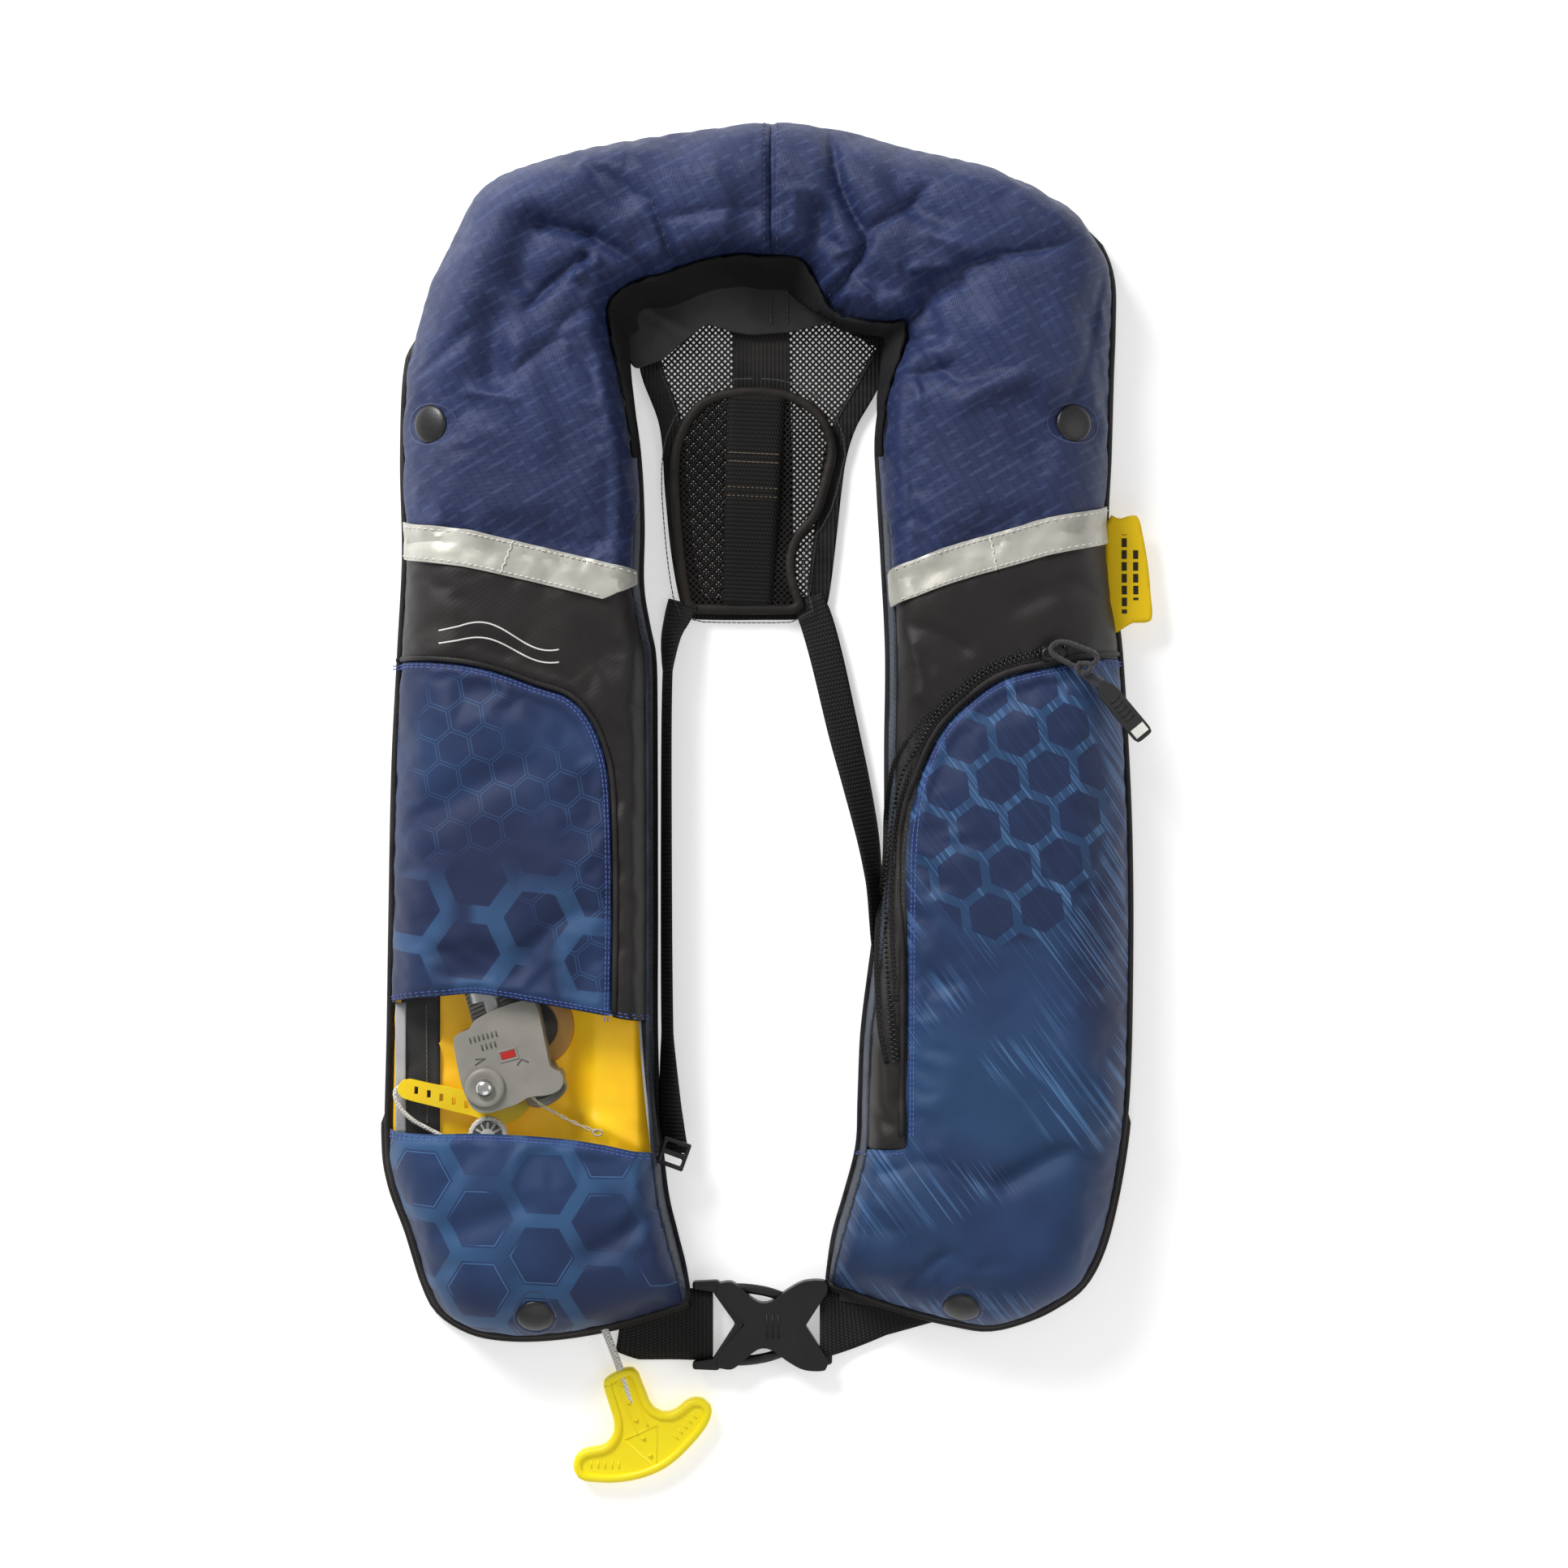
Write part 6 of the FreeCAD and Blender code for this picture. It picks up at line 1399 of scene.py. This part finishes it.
# ---------------------------------------------------------------- pull cord and handle
# The pull cord's route through the hem and down to its handle, in metres.
CORD_ROUTE = [
    (-0.0985, -0.27405, 0.0057), (-0.0922, -0.28865, 0.0052), (-0.0869, -0.30305, 0.0055),
    (-0.0812, -0.31725, 0.0053), (-0.0763, -0.33105, 0.0055), (-0.0721, -0.34365, 0.0051)]
CORD_DIAMETER = 0.004


def spline_cord(name, points, diameter, material, body):
    """A round cord as a curve through points, in metres."""
    curve = bpy.data.curves.new(name, "CURVE")
    curve.dimensions = "3D"
    curve.bevel_depth = diameter / 2
    curve.bevel_resolution = 6
    curve.resolution_u = 12
    curve.use_fill_caps = True
    spline = curve.splines.new("NURBS")
    spline.points.add(len(points) - 1)
    for point, spot in zip(spline.points, points):
        point.co = (*spot, 1)
    spline.order_u = 3
    spline.use_endpoint_u = True
    curve.materials.append(material)
    obj = bpy.data.objects.new(name, curve)
    bpy.context.scene.collection.objects.link(obj)
    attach(obj, body)
    return obj


# The pull handle is spread a little in plan, about the spot under the eye, because it lies on the
# table, further from the eye than the jacket's top.
HANDLE_SPREAD = 1.013
EYE_SPOT = np.array([7.9, -19.1])


def make_handle():
    """T-shaped pull handle: a rimmed plate with a stem, a channel of bumps and a raised arrow."""
    low, high = node_box("pull_handle")
    top = high[2]

    def laid(points):
        return (np.array(points, float) - EYE_SPOT) * HANDLE_SPREAD + EYE_SPOT

    outline = laid(smooth([
        (-85.4, -330.5), (-84.1, -326.6), (-79.6, -323.8), (-74.6, -321.5), (-70, -321.5), (-67.6, -323.8),
        (-66.1, -327.7), (-63.8, -333.3), (-61.6, -339), (-58.8, -342.3), (-55.4, -344), (-51.5, -344),
        (-47.6, -342.3), (-44.2, -339.5), (-40.8, -337.3), (-37.4, -336.7), (-33.5, -337.6), (-30.7, -340.1),
        (-29.5, -344), (-30.7, -348.5), (-32.9, -352.5), (-36.3, -357), (-40.8, -362), (-46.4, -367.6),
        (-52.1, -372.1), (-57.7, -375.2), (-64.4, -377.8), (-72.3, -379.7), (-81.3, -380.6), (-89.2, -380.3),
        (-94.8, -379.7), (-98.7, -377.8), (-100.7, -374.4), (-101, -371), (-99.9, -367.1), (-97, -364.3),
        (-93.1, -362.8), (-88.1, -362), (-84.1, -360.3), (-81.3, -357), (-80, -353), (-80.2, -348),
        (-81.9, -342.3)], True, 2.0))
    body = "pull_handle"
    base = plate("handle_plate", outline, low[2] + 0.2, top - 2.2, YELLOW, body, 1.2)
    rim_line = outline - gradient(lambda P: signed(P, outline), outline) * -2.3
    rim = np.column_stack([rim_line, np.full(len(rim_line), top - 2.3)])
    verts, faces = tube_mesh(np.vstack([rim, rim[:1]]), 2.2, 12, 0.85)
    edge = make_object("handle_rim", verts, faces, YELLOW, body)
    raised = []
    for x, y in laid([(-75.9, -329.7), (-72.3, -339), (-68.6, -348.2), (-64.8, -357.5), (-61.3, -366.5)]):
        raised.append(tube_mesh([(x, y, top - 2.6), (x, y, top - 1.9), (x, y, top - 1.5)], 1.15, 12))
    walls = [[(-79, -328.5), (-67.5, -356)], [(-72.2, -326.5), (-62.5, -351.5)],
             [(-74.8, -358.3), (-57.5, -350.5), (-58.3, -373.2), (-74.8, -358.3)]]
    for wall in walls:
        line = laid(smooth(wall, step=2.0) if len(wall) == 2 else wall)
        raised.append(tube_mesh(np.column_stack([line, np.full(len(line), top - 2.3)]), 0.6, 8))
    for (x, y), heading in (((-84.5, -371.0), (1.0, -0.02)), ((-43.6, -351.3), (0.66, 0.75))):
        across = np.array([-heading[1], heading[0]])
        for n in range(5):
            centre = np.array([x, y]) + np.array(heading) * 3.6 * (n - 2)
            line = laid([centre - across * 2.0, centre + across * 2.0])
            raised.append(tube_mesh(np.column_stack([line, np.full(2, top - 2.25)]), 0.45, 8))
    joined("handle_relief", raised, YELLOW, body)
    dress(base, "handle_yellow", "pull_handle")
    cord = spline_cord("pull_cord_braid", CORD_ROUTE, CORD_DIAMETER, CORD_WHITE, body)
    dress(cord, "cord_white", "pull_cord")
    x, y, z = middle("cord_grommet")
    sleeve = lathe("cord_eyelet",
                   [(2.3, -3.6), (4.6, -3.4), (5.2, -2.6), (4.9, 0), (5.2, 2.6), (4.6, 3.4), (2.3, 3.6)],
                   (x, y, z), SNAP_BLACK, "jacket", (0.35, -0.94, 0), 32)
    dress(sleeve, "snap_black", "cord_grommet")


# ---------------------------------------------------------------- zip, puller and tag
def make_zip():
    """Coil zip round the pocket: two cloth tapes, two rows of coil teeth and a row of stitches."""
    centre = ZIP_LINE
    for n, gap in enumerate((-3.4, 3.4)):
        row = surface_z(offset_line(centre, gap), -0.4)
        ribbon(f"zip_tape_{n}", row, 5.4, 0.8, WEBBING,
               replaces=("zip_tape",) if n == 0 else ())
    spots, headings = along(centre, 1.25)
    placed = surface_z(spots, 0.75)
    parts = []
    for n, (p, h) in enumerate(zip(placed, headings)):
        side = np.array([-h[1], h[0], 0.0]) * (1 if n % 2 else -1)
        ahead = np.array([h[0], h[1], 0.0])
        parts.append(tube_mesh([p + side * 2.1 - ahead * 0.2 - [0, 0, 0.3], p + side * 1.2 + [0, 0, 0.35],
                                p - side * 0.4 + ahead * 0.3 + [0, 0, 0.2]], 0.5, 6))
    verts, faces = merged(parts)
    teeth = make_object("zip_coil_teeth", verts, faces, COIL, "jacket")
    dress(teeth, "zip_coil_black", "zip_chain")
    stitches("stitch_zip", offset_line(centre, 6.6), DARK_THREAD, spacing=2.8)


def make_puller():
    """Slider with its bail, a doubled cord tied in a loop, and a rubber puller."""
    low, high = node_box("zip_slider")
    x, y = (low[0] + high[0]) / 2, (low[1] + high[1]) / 2
    top = LOBE_TOP + 1.6
    outline = smooth([(x - 5.6, y - 2.6), (x - 2, y - 4), (x + 3, y - 3.4), (x + 5.6, y - 2),
                      (x + 5.6, y + 2), (x + 3, y + 3.4), (x - 2, y + 4), (x - 5.6, y + 2.6)], True, 1.0)
    slider = plate("slider_body", outline, top - 0.2, top + 3.4, SLIDER_BLACK, "zip_slider", 0.8)
    dress(slider, "slider_metal", "zip_slider")
    z = top + 4.2
    hoop = [(x - 2 + 3.4 * math.sin(a), y + 2.6 * math.cos(a), z + 0.2) for a in np.linspace(0, TAU, 25)]
    bail = tube("slider_bail", hoop, 0.8, SLIDER_BLACK, "zip_puller", 8)
    dress(bail, "slider_metal", "zip_bail")
    loop = smooth([(171, 33, z + 0.4), (165, 36.5, z + 1.2), (158, 40, z + 1.6), (151, 43.6, z + 1.4),
                   (145.4, 47, z + 1.0), (144.2, 50.4, z + 0.8), (147.5, 53.2, z + 0.8), (153, 53, z + 0.8),
                   (160, 50.4, z + 0.8), (166.4, 47.6, z + 0.6), (167.6, 44, z + 0.6), (163.6, 41.6, z + 2.4),
                   (158.5, 42.4, z + 3.2), (157.6, 38.6, z + 2.6), (162, 35.4, z + 1.0),
                   (168.6, 30.6, z + 0.4)],
                  step=1.2)
    cord = tube("puller_cord_loop", loop, 1.35, CORD_BLACK, "zip_puller", 10)
    dress(cord, "puller_cord_black", "zip_pull_cord")
    knot = smooth([(159.6, 36.6, z + 2.2), (163.4, 38.6, z + 3.4), (164.4, 41.6, z + 2.6),
                   (161, 42.6, z + 1.6), (158.8, 39.6, z + 1.6), (161.6, 36.4, z + 3.2)], step=1.0)
    tube("puller_knot", knot, 1.3, CORD_BLACK, "zip_puller", 10)
    heading = np.array([22.6, -27.4])
    heading /= np.linalg.norm(heading)
    side = np.array([-heading[1], heading[0]])
    start = np.array([169.0, 33.0])

    def spot(a, b):
        return tuple(start + heading * a + side * b)

    grip = smooth([spot(0, -1.5), spot(-0.6, 0), spot(0, 1.5), spot(4, 3.8), spot(7, 5.0), spot(20, 5.2),
                   spot(34, 5.2),
                   spot(36.4, 4.4), spot(36.8, 0), spot(36.4, -4.4), spot(34, -5.2), spot(20, -5.2),
                   spot(7, -5.0), spot(4, -3.8)], True, 1.5)
    tag = plate("puller_grip", grip, z - 1.2, z + 1.8, RUBBER, "zip_puller", 0.8)
    dress(tag, "puller_rubber", "zip_pull_tag")
    cap = plate("puller_end_patch", [spot(29.5, -3.9), spot(34.6, -3.9), spot(34.6, 3.9), spot(29.5, 3.9)],
                z + 1.6, z + 2.15, CAP_WHITE, "zip_puller", 0.15)
    ribs = [tube_mesh([(*spot(a, -3.0), z + 1.8), (*spot(a, 3.0), z + 1.8)], 0.5, 8) for a in (12, 15, 18,
                                                                                               21, 24)]
    joined("puller_grip_ribs", ribs, RUBBER, "zip_puller")


def make_tag():
    """Plain yellow tag sewn into the outer edge, curling a little, with generic bars."""
    outline = smooth([(176, 62.5), (176, 117), (183, 119.2), (191.9, 121), (195.2, 111.5), (198, 95.6),
                      (199.4, 80), (199.6, 66.4), (190, 65)], True, 3.0)
    region = lambda P: signed(P, outline)
    P, faces = sheet_grid(region, ((172, 58), (204, 126)), 2.0)
    height = 11.4 + 1.5 * np.sin((P[:, 0] - 174) / 9) + 0.8 * np.sin(P[:, 1] / 9)
    tag = make_object("side_tag", np.column_stack([P, height]), faces, TAG_YELLOW, "jacket")
    modifier(tag, "SOLIDIFY", thickness=0.6 * MM, offset=0)
    dress(tag, "tag_yellow", "warning_tag")


def make_wave_mark():
    """Generic pair of waves embroidered on the left chest."""
    parts = []
    for y, size in ((58.0, 4.6), (51.0, 3.8)):
        run = np.arange(-166, -106, 1.2)
        line = np.column_stack([run, y + size * np.sin((run + 160) / 9.5) - (run + 140) * 0.16])
        parts.append(tube_mesh(surface_z(line, 0.1), 0.42, 6))
    joined("chest_wave_mark", parts, WHITE_THREAD, "jacket")


# ---------------------------------------------------------------- inflator behind the window
TILT = math.radians(15.0)


def tilted(u, v):
    """Plan position from the pivot pin, u across and v up along the tilted inflator."""
    pivot = middle("lever_pivot_pin")
    return (pivot[0] + math.cos(TILT) * u - math.sin(TILT) * v,
            pivot[1] + math.sin(TILT) * u + math.cos(TILT) * v)


def make_bladder():
    """Amber bladder folded behind the window, with the dark liner and pale tapes at its edges."""
    def region(P):
        return np.minimum.reduce([jacket_gap(P) - 2, -above(P, WINDOW_TOP) + 8, above(P, WINDOW_BOTTOM) + 8,
                                  -P[:, 0] - 40])

    P, faces = sheet_grid(region, ((-200, -222), (-50, -120)), 2.6)
    outer, _ = line_distance(P, OUTER_LINE)
    inner, _ = line_distance(P, INNER_LINE)
    height = 5 + 8 * np.sin(np.clip(outer / 22, 0, 1) * math.pi / 2) * np.sin(np.clip(inner / 7, 0,
                                                                                      1) * math.pi / 2)
    height += 12.0 * np.clip((P[:, 0] + 104) / 14, 0, 1) * np.clip(inner / 9, 0, 1)
    height += 1.2 * undulation(P, 12.0, 6.0) + 2.4 * np.exp(-((P[:, 0] * 0.5 + P[:, 1] + 240) / 4.0) ** 2)
    skin = make_object("bladder_skin", np.column_stack([P, height]), faces, BLADDER, "jacket")
    thicken(skin, 0.8)
    dress(skin, "bladder_amber", "bladder")

    def band(P):
        return np.minimum.reduce([jacket_gap(P) - 6, -above(P, WINDOW_TOP) + 6, above(P, WINDOW_BOTTOM) + 6,
                                  -171.5 - P[:, 0]])

    P, faces = sheet_grid(band, ((-200, -212), (-160, -118)), 2.0)
    liner = make_object("window_liner", np.column_stack([P, 15 + 1.2 * undulation(P, 10.0, 1.0)]), faces,
                        FACING, "jacket")
    modifier(liner, "SOLIDIFY", thickness=1.0 * MM, offset=-1.0)
    stitches("stitch_liner", np.array([(-178.5, -134), (-178.0, -196)]), TAN_THREAD,
             place=flat_surface(16.6), lift=0)
    edge = [(-192.0, y, 15 + 1.5 * math.sin((y + 200) / 22)) for y in np.arange(-202, -130, 3.0)]
    ribbon("window_edge_tape", edge, 5.5, 0.8, CLOTH_GREY)
    right = smooth([(-67.0, -141, 26), (-65.2, -165, 27), (-62.8, -190, 26), (-60.6, -208, 24)], step=3.0)
    ribbon("window_edge_cord", right, 1.4, 0.8, CLOTH_GREY)
    dark = right + [2.4, 0.0, -0.6]
    ribbon("window_inner_liner", dark, 3.6, 0.8, FACING)


def make_inflator():
    """Grey inflator: a rounded body with a ribbed neck, a round port, a boss and a ball pin."""
    low, high = node_box("inflator_housing")
    base, top = low[2] + 1, high[2] - 2
    body = smooth([tilted(-11.2, 8), tilted(-9.6, 26.5), tilted(-6.8, 30.2), tilted(0, 31.4), tilted(4, 35),
                   tilted(18, 38), tilted(33, 38), tilted(36.6, 33), tilted(36, 16), tilted(35.4, 2),
                   tilted(39.4, -2),
                   tilted(40, -6), tilted(37.6, -10.4), tilted(31, -12), tilted(20.5, -10.6),
                   tilted(14, -12.4),
                   tilted(6.9, -12.8), tilted(0.2, -13.2), tilted(-5.8, -11.6), tilted(-9.2, -8),
                   tilted(-10.6, -2)],
                  True, 2.0)
    shell = plate("inflator_body", body, base, top, GREY, "jacket", 4.2, segments=6)
    dress(shell, "inflator_grey", "inflator_housing")
    neck_parts = []
    for n in range(8):
        a, b = tilted(1.6, 34 + 2.3 * n), tilted(30 - 0.4 * n, 38 + 2.3 * n)
        neck_parts.append(tube_mesh([(*a, base + 8), (*b, base + 8)], 1.35, 10, 5.6))
    joined("inflator_neck_ribs", neck_parts, GREY, "jacket")
    x, y = tilted(0, 0)
    boss = lathe("inflator_boss",
                 [(0.5, 0), (10.2, 0), (10.4, 1.6), (9.6, 2.5), (7.6, 2.9), (6.6, 2.3), (0.5, 2.2)],
                 (x, y, top - 0.4), GREY, "jacket")
    pin = lathe("pivot_ball_pin",
                [(0.3, 0), (4.3, 0.2), (4.7, 1.6), (4.1, 3.0), (2.8, 3.9), (1.4, 4.3), (0.2, 4.4)],
                (x, y, top + 1.6), STEEL, "jacket")
    dress(pin, "steel_bright", "lever_pivot_pin")
    port_axis = (math.sin(TILT) * 0.9 + 0.25, -math.cos(TILT) * 0.8, 0.55)
    px, py = tilted(29, -10.5)
    port = lathe("inflator_port",
                 [(11.6, -12), (11.6, 1.0), (11.0, 2.0), (9.9, 1.8), (9.4, 0.6), (9.0, -7), (0.5, -8)],
                 (px, py, base + 11), GREY, "jacket", port_axis)
    hollow = lathe("inflator_port_hollow", [(9.1, -5.0), (9.1, -1.6), (6.0, -2.6), (0.5, -2.8)],
                   (px, py, base + 11), DARK_GREY, "jacket", port_axis)


def make_inflator_details():
    """Status window and flag, plain marks, and the flange with its weld ring."""
    top = node_box("inflator_housing")[1][2] - 2
    ix, iy = tilted(16, 13.4)
    c, s = math.cos(TILT), math.sin(TILT)

    def oblong(w, h):
        return [(ix + c * a - s * b, iy + s * a + c * b) for a, b in ((-w, -h), (w, -h), (w, h), (-w, h))]

    frame_plate = plate("indicator_frame", oblong(5.0, 3.2), top - 0.2, top + 0.5, GREY, "jacket", 0.3,
                        [oblong(3.9, 2.1)])
    red = plate("indicator_flag", oblong(3.7, 1.9), top - 0.6, top + 0.35, RED, "status_indicator", 0.3)
    dress(red, "indicator_red", "status_indicator")
    marks = []
    for row, (u, v, count) in enumerate(((-1.0, 25.5, 7), (4.0, 20.5, 4))):
        for n in range(count):
            a, b = tilted(u + 2.3 * n, v - 1.4 - row * 0.2), tilted(u + 2.3 * n, v + 1.4)
            marks.append(tube_mesh([(*a, top + 0.1), (*b, top + 0.1)], 0.42, 6))
    for points in ((tilted(-2, 12.6), tilted(4, 14.6), tilted(-1, 15.4)),
                   (tilted(19, 7), tilted(22, 9.5), tilted(25, 7))):
        marks.append(tube_mesh([(*point, top + 0.1) for point in points], 0.3, 6))
    joined("inflator_arrow_marks", marks, DARK_GREY, "jacket")
    cx, cy = -123.0, -145.4
    flange = lathe("inflator_flange",
                   [(1, 0), (12, 0), (13.0, 0.7), (12.4, 1.6), (9.5, 2.2), (9, 4.4), (1, 4.6)],
                   (cx, cy, 16.6), BLACK_PLASTIC, "jacket")
    dress(flange, "manifold_black", "manifold")
    ring = lathe("inflator_weld_ring", [(12.5, 0), (20.5, 0.1), (21.6, 0.7), (20.5, 1.3), (12.5, 1.0)],
                 (cx, cy, 15.0), RING_AMBER, "jacket", count=64)


def make_lever():
    """Yellow lever: a rounded bar with slots and its white cord, and the indicator's tan strings with their
    bow.
    """
    low, high = node_box("inflator_lever")
    z0, z1 = low[2] + 6.4, high[2] + 7.6
    bar = smooth([(-192.9, -179.0), (-192.7, -175.9), (-190.5, -173.1), (-186.8, -172.4), (-175.3, -174.9),
                  (-164.9, -176.9), (-154.4, -180.3), (-148.2, -184.3), (-137.7, -186.3), (-127.3, -184.3),
                  (-122.6, -181.3), (-123.6, -185.3), (-127.3, -190.5), (-132.5, -194.2), (-137.7, -196.0),
                  (-144.0, -195.2), (-153.4, -191.8), (-164.9, -189.0), (-175.3, -186.3), (-186.8, -183.4),
                  (-191.0, -181.6)], True, 2.0)
    slots = []
    for n in range(5):
        x, y = -183.2 + 6.55 * n, -178.3 - 1.87 * n
        slots.append([(x - 1.1, y - 1.8), (x + 0.9, y - 2.1), (x + 1.1, y + 1.8), (x - 0.9, y + 2.1)])
    lever = plate("lever_arm", bar, z0, z1 - 2.4, LEVER_YELLOW, "inflator_lever", 1.2, slots)
    dress(lever, "lever_yellow", "inflator_lever")
    rope = smooth([(-191.5, -176.0, z0 + 2.2), (-194.1, -178.5, z0 + 2.4), (-194.0, -182.5, z0 + 2.0),
                   (-192.0, -186.8, z0 + 1.4), (-188.9, -190.8, z0 + 1.0), (-184.7, -194.4, z0 + 0.6),
                   (-180.0, -197.2, z0), (-170, -202.5, z0 - 1)], step=1.5)
    cord = tube("lever_cord_braid", rope, 1.2, CORD_WHITE, "inflator_lever", 12)
    dress(cord, "cord_white", "lever_cord")
    for n, sway in enumerate((-0.7, 0.7)):
        line = smooth([(-124.5, -178.5, 35), (-121.5, -181.0 + sway, 35.5), (-117.2, -184.9 - sway, 34),
                       (-111.6, -188.4 + sway, 32), (-106.0, -191.6 - sway, 31), (-100.4, -194.5 + sway, 30),
                       (-94.4, -197.2 - sway, 29.6), (-88.4, -199.4, 29)], step=1.5)
        twist = tube(f"indicator_string_{n}", line, 0.42, STRING_TAN, "jacket", 8)
        if n == 0:
            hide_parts("indicator_string")
    bow = [(-88.6 + 2.4 * math.cos(a), -199.6 + 1.6 * math.sin(a), 29.6) for a in np.linspace(0, TAU, 17)]
    tube("indicator_string_knot", bow, 0.5, STRING_TAN, "jacket", 8)


def make_oral_tube():
    """The ribbed dust cap on the oral tube, with its floor, spokes and boss."""
    x, y = -145.5, -201.5
    ridges = []
    for k in range(48):
        a = k * TAU / 48
        r = 10.4 if k % 2 else 9.7
        ridges.append((x + r * math.cos(a), y + r * math.sin(a)))
    cap = plate("dust_cap_ribbed", ridges, 19.0, 31.0, CAP_WHITE, "oral_cap", 0.8, [disc_outline(x, y, 7.8)])
    dress(cap, "cap_white", "oral_dust_cap")
    floor = plate("dust_cap_floor", disc_outline(x, y, 8.0), 24.0, 27.0, CLOTH_GREY, "oral_cap", 0.3)
    spokes = []
    for k in range(12):
        c, s = math.cos(k * TAU / 12), math.sin(k * TAU / 12)
        spokes.append(tube_mesh([(x + 3.4 * c, y + 3.4 * s, 28.6), (x + 8.0 * c, y + 8.0 * s, 29.6)], 0.7, 8))
    joined("dust_cap_spokes", spokes, CAP_WHITE, "oral_cap")
    boss = plate("dust_cap_boss", disc_outline(x, y, 3.8), 24.0, 30.0, CAP_WHITE, "oral_cap", 0.6)


def dress_cad():
    """CAD nodes that stay as they are get these finishes."""
    for node, material in (("gas_cylinder", ZINC), ("firing_pin", STEEL), ("firing_spring", STEEL),
                           ("oral_tube", BLACK_PLASTIC), ("oral_valve_poppet", BLACK_PLASTIC),
                           ("belt_sleeves", BACKING)):
        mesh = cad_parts[node].data
        mesh.materials.clear()
        mesh.materials.append(material)


# ---------------------------------------------------------------- stage, light and camera
def make_stage():
    """A pale floor just below the jacket."""
    mesh = bpy.data.meshes.new("floor")
    half = 3.0
    mesh.from_pydata([(-half, -half, -0.0012), (half, -half, -0.0012), (half, half, -0.0012),
                      (-half, half, -0.0012)],
                     [], [(0, 1, 2, 3)])
    floor = bpy.data.objects.new("floor", mesh)
    bpy.context.scene.collection.objects.link(floor)
    paper = Graph("floor_white", (0.93, 0.93, 0.93), 0.9, Emission_Color=(1, 1, 1, 1), Emission_Strength=0.38)
    paper.bump(paper.noise(200.0), 0.0001)
    mesh.materials.append(paper.material)


def make_lights():
    """Even white world light, one soft key and two weak fills."""
    world = bpy.data.worlds.new("soft_world")
    bpy.context.scene.world = world
    world.use_nodes = True
    world.node_tree.nodes["Background"].inputs[0].default_value = (1, 1, 1, 1)
    world.node_tree.nodes["Background"].inputs[1].default_value = 0.38
    for name, spot, size, power in (("key", (-1.0, 1.25, 1.05), 0.75, 37), ("fill", (1.5, 0.1, 1.3), 1.2, 5),
                                    ("low", (0.1, -1.5, 1.3), 1.4, 5)):
        data = bpy.data.lights.new(name, "AREA")
        data.size = size
        data.energy = power
        lamp = bpy.data.objects.new(name, data)
        lamp.location = spot
        lamp.rotation_euler = (-Vector(spot)).to_track_quat("-Z", "Y").to_euler()
        bpy.context.scene.collection.objects.link(lamp)


def make_camera():
    """A camera straight above, level with the jacket's middle."""
    data = bpy.data.cameras.new("camera")
    data.sensor_width = 36.0
    data.lens = 36.0 * (CAMERA_HEIGHT - 0.03) / FRAME_WIDTH
    camera = bpy.data.objects.new("camera", data)
    camera.location = (0.0079, -0.0191, CAMERA_HEIGHT)
    bpy.context.scene.collection.objects.link(camera)
    bpy.context.scene.camera = camera
    bpy.context.scene.view_settings.view_transform = "Standard"


make_stage()
make_lights()
make_camera()
make_cover()
finish_panels()
make_back()
make_pipings()
make_tapes()
make_snaps()
make_neck()
make_yoke()
make_flap()
make_straps()
make_adjuster()
make_belt()
make_buckle()
make_handle()
make_zip()
make_puller()
make_tag()
make_wave_mark()
make_bladder()
make_inflator()
make_inflator_details()
make_lever()
make_oral_tube()
dress_cad()
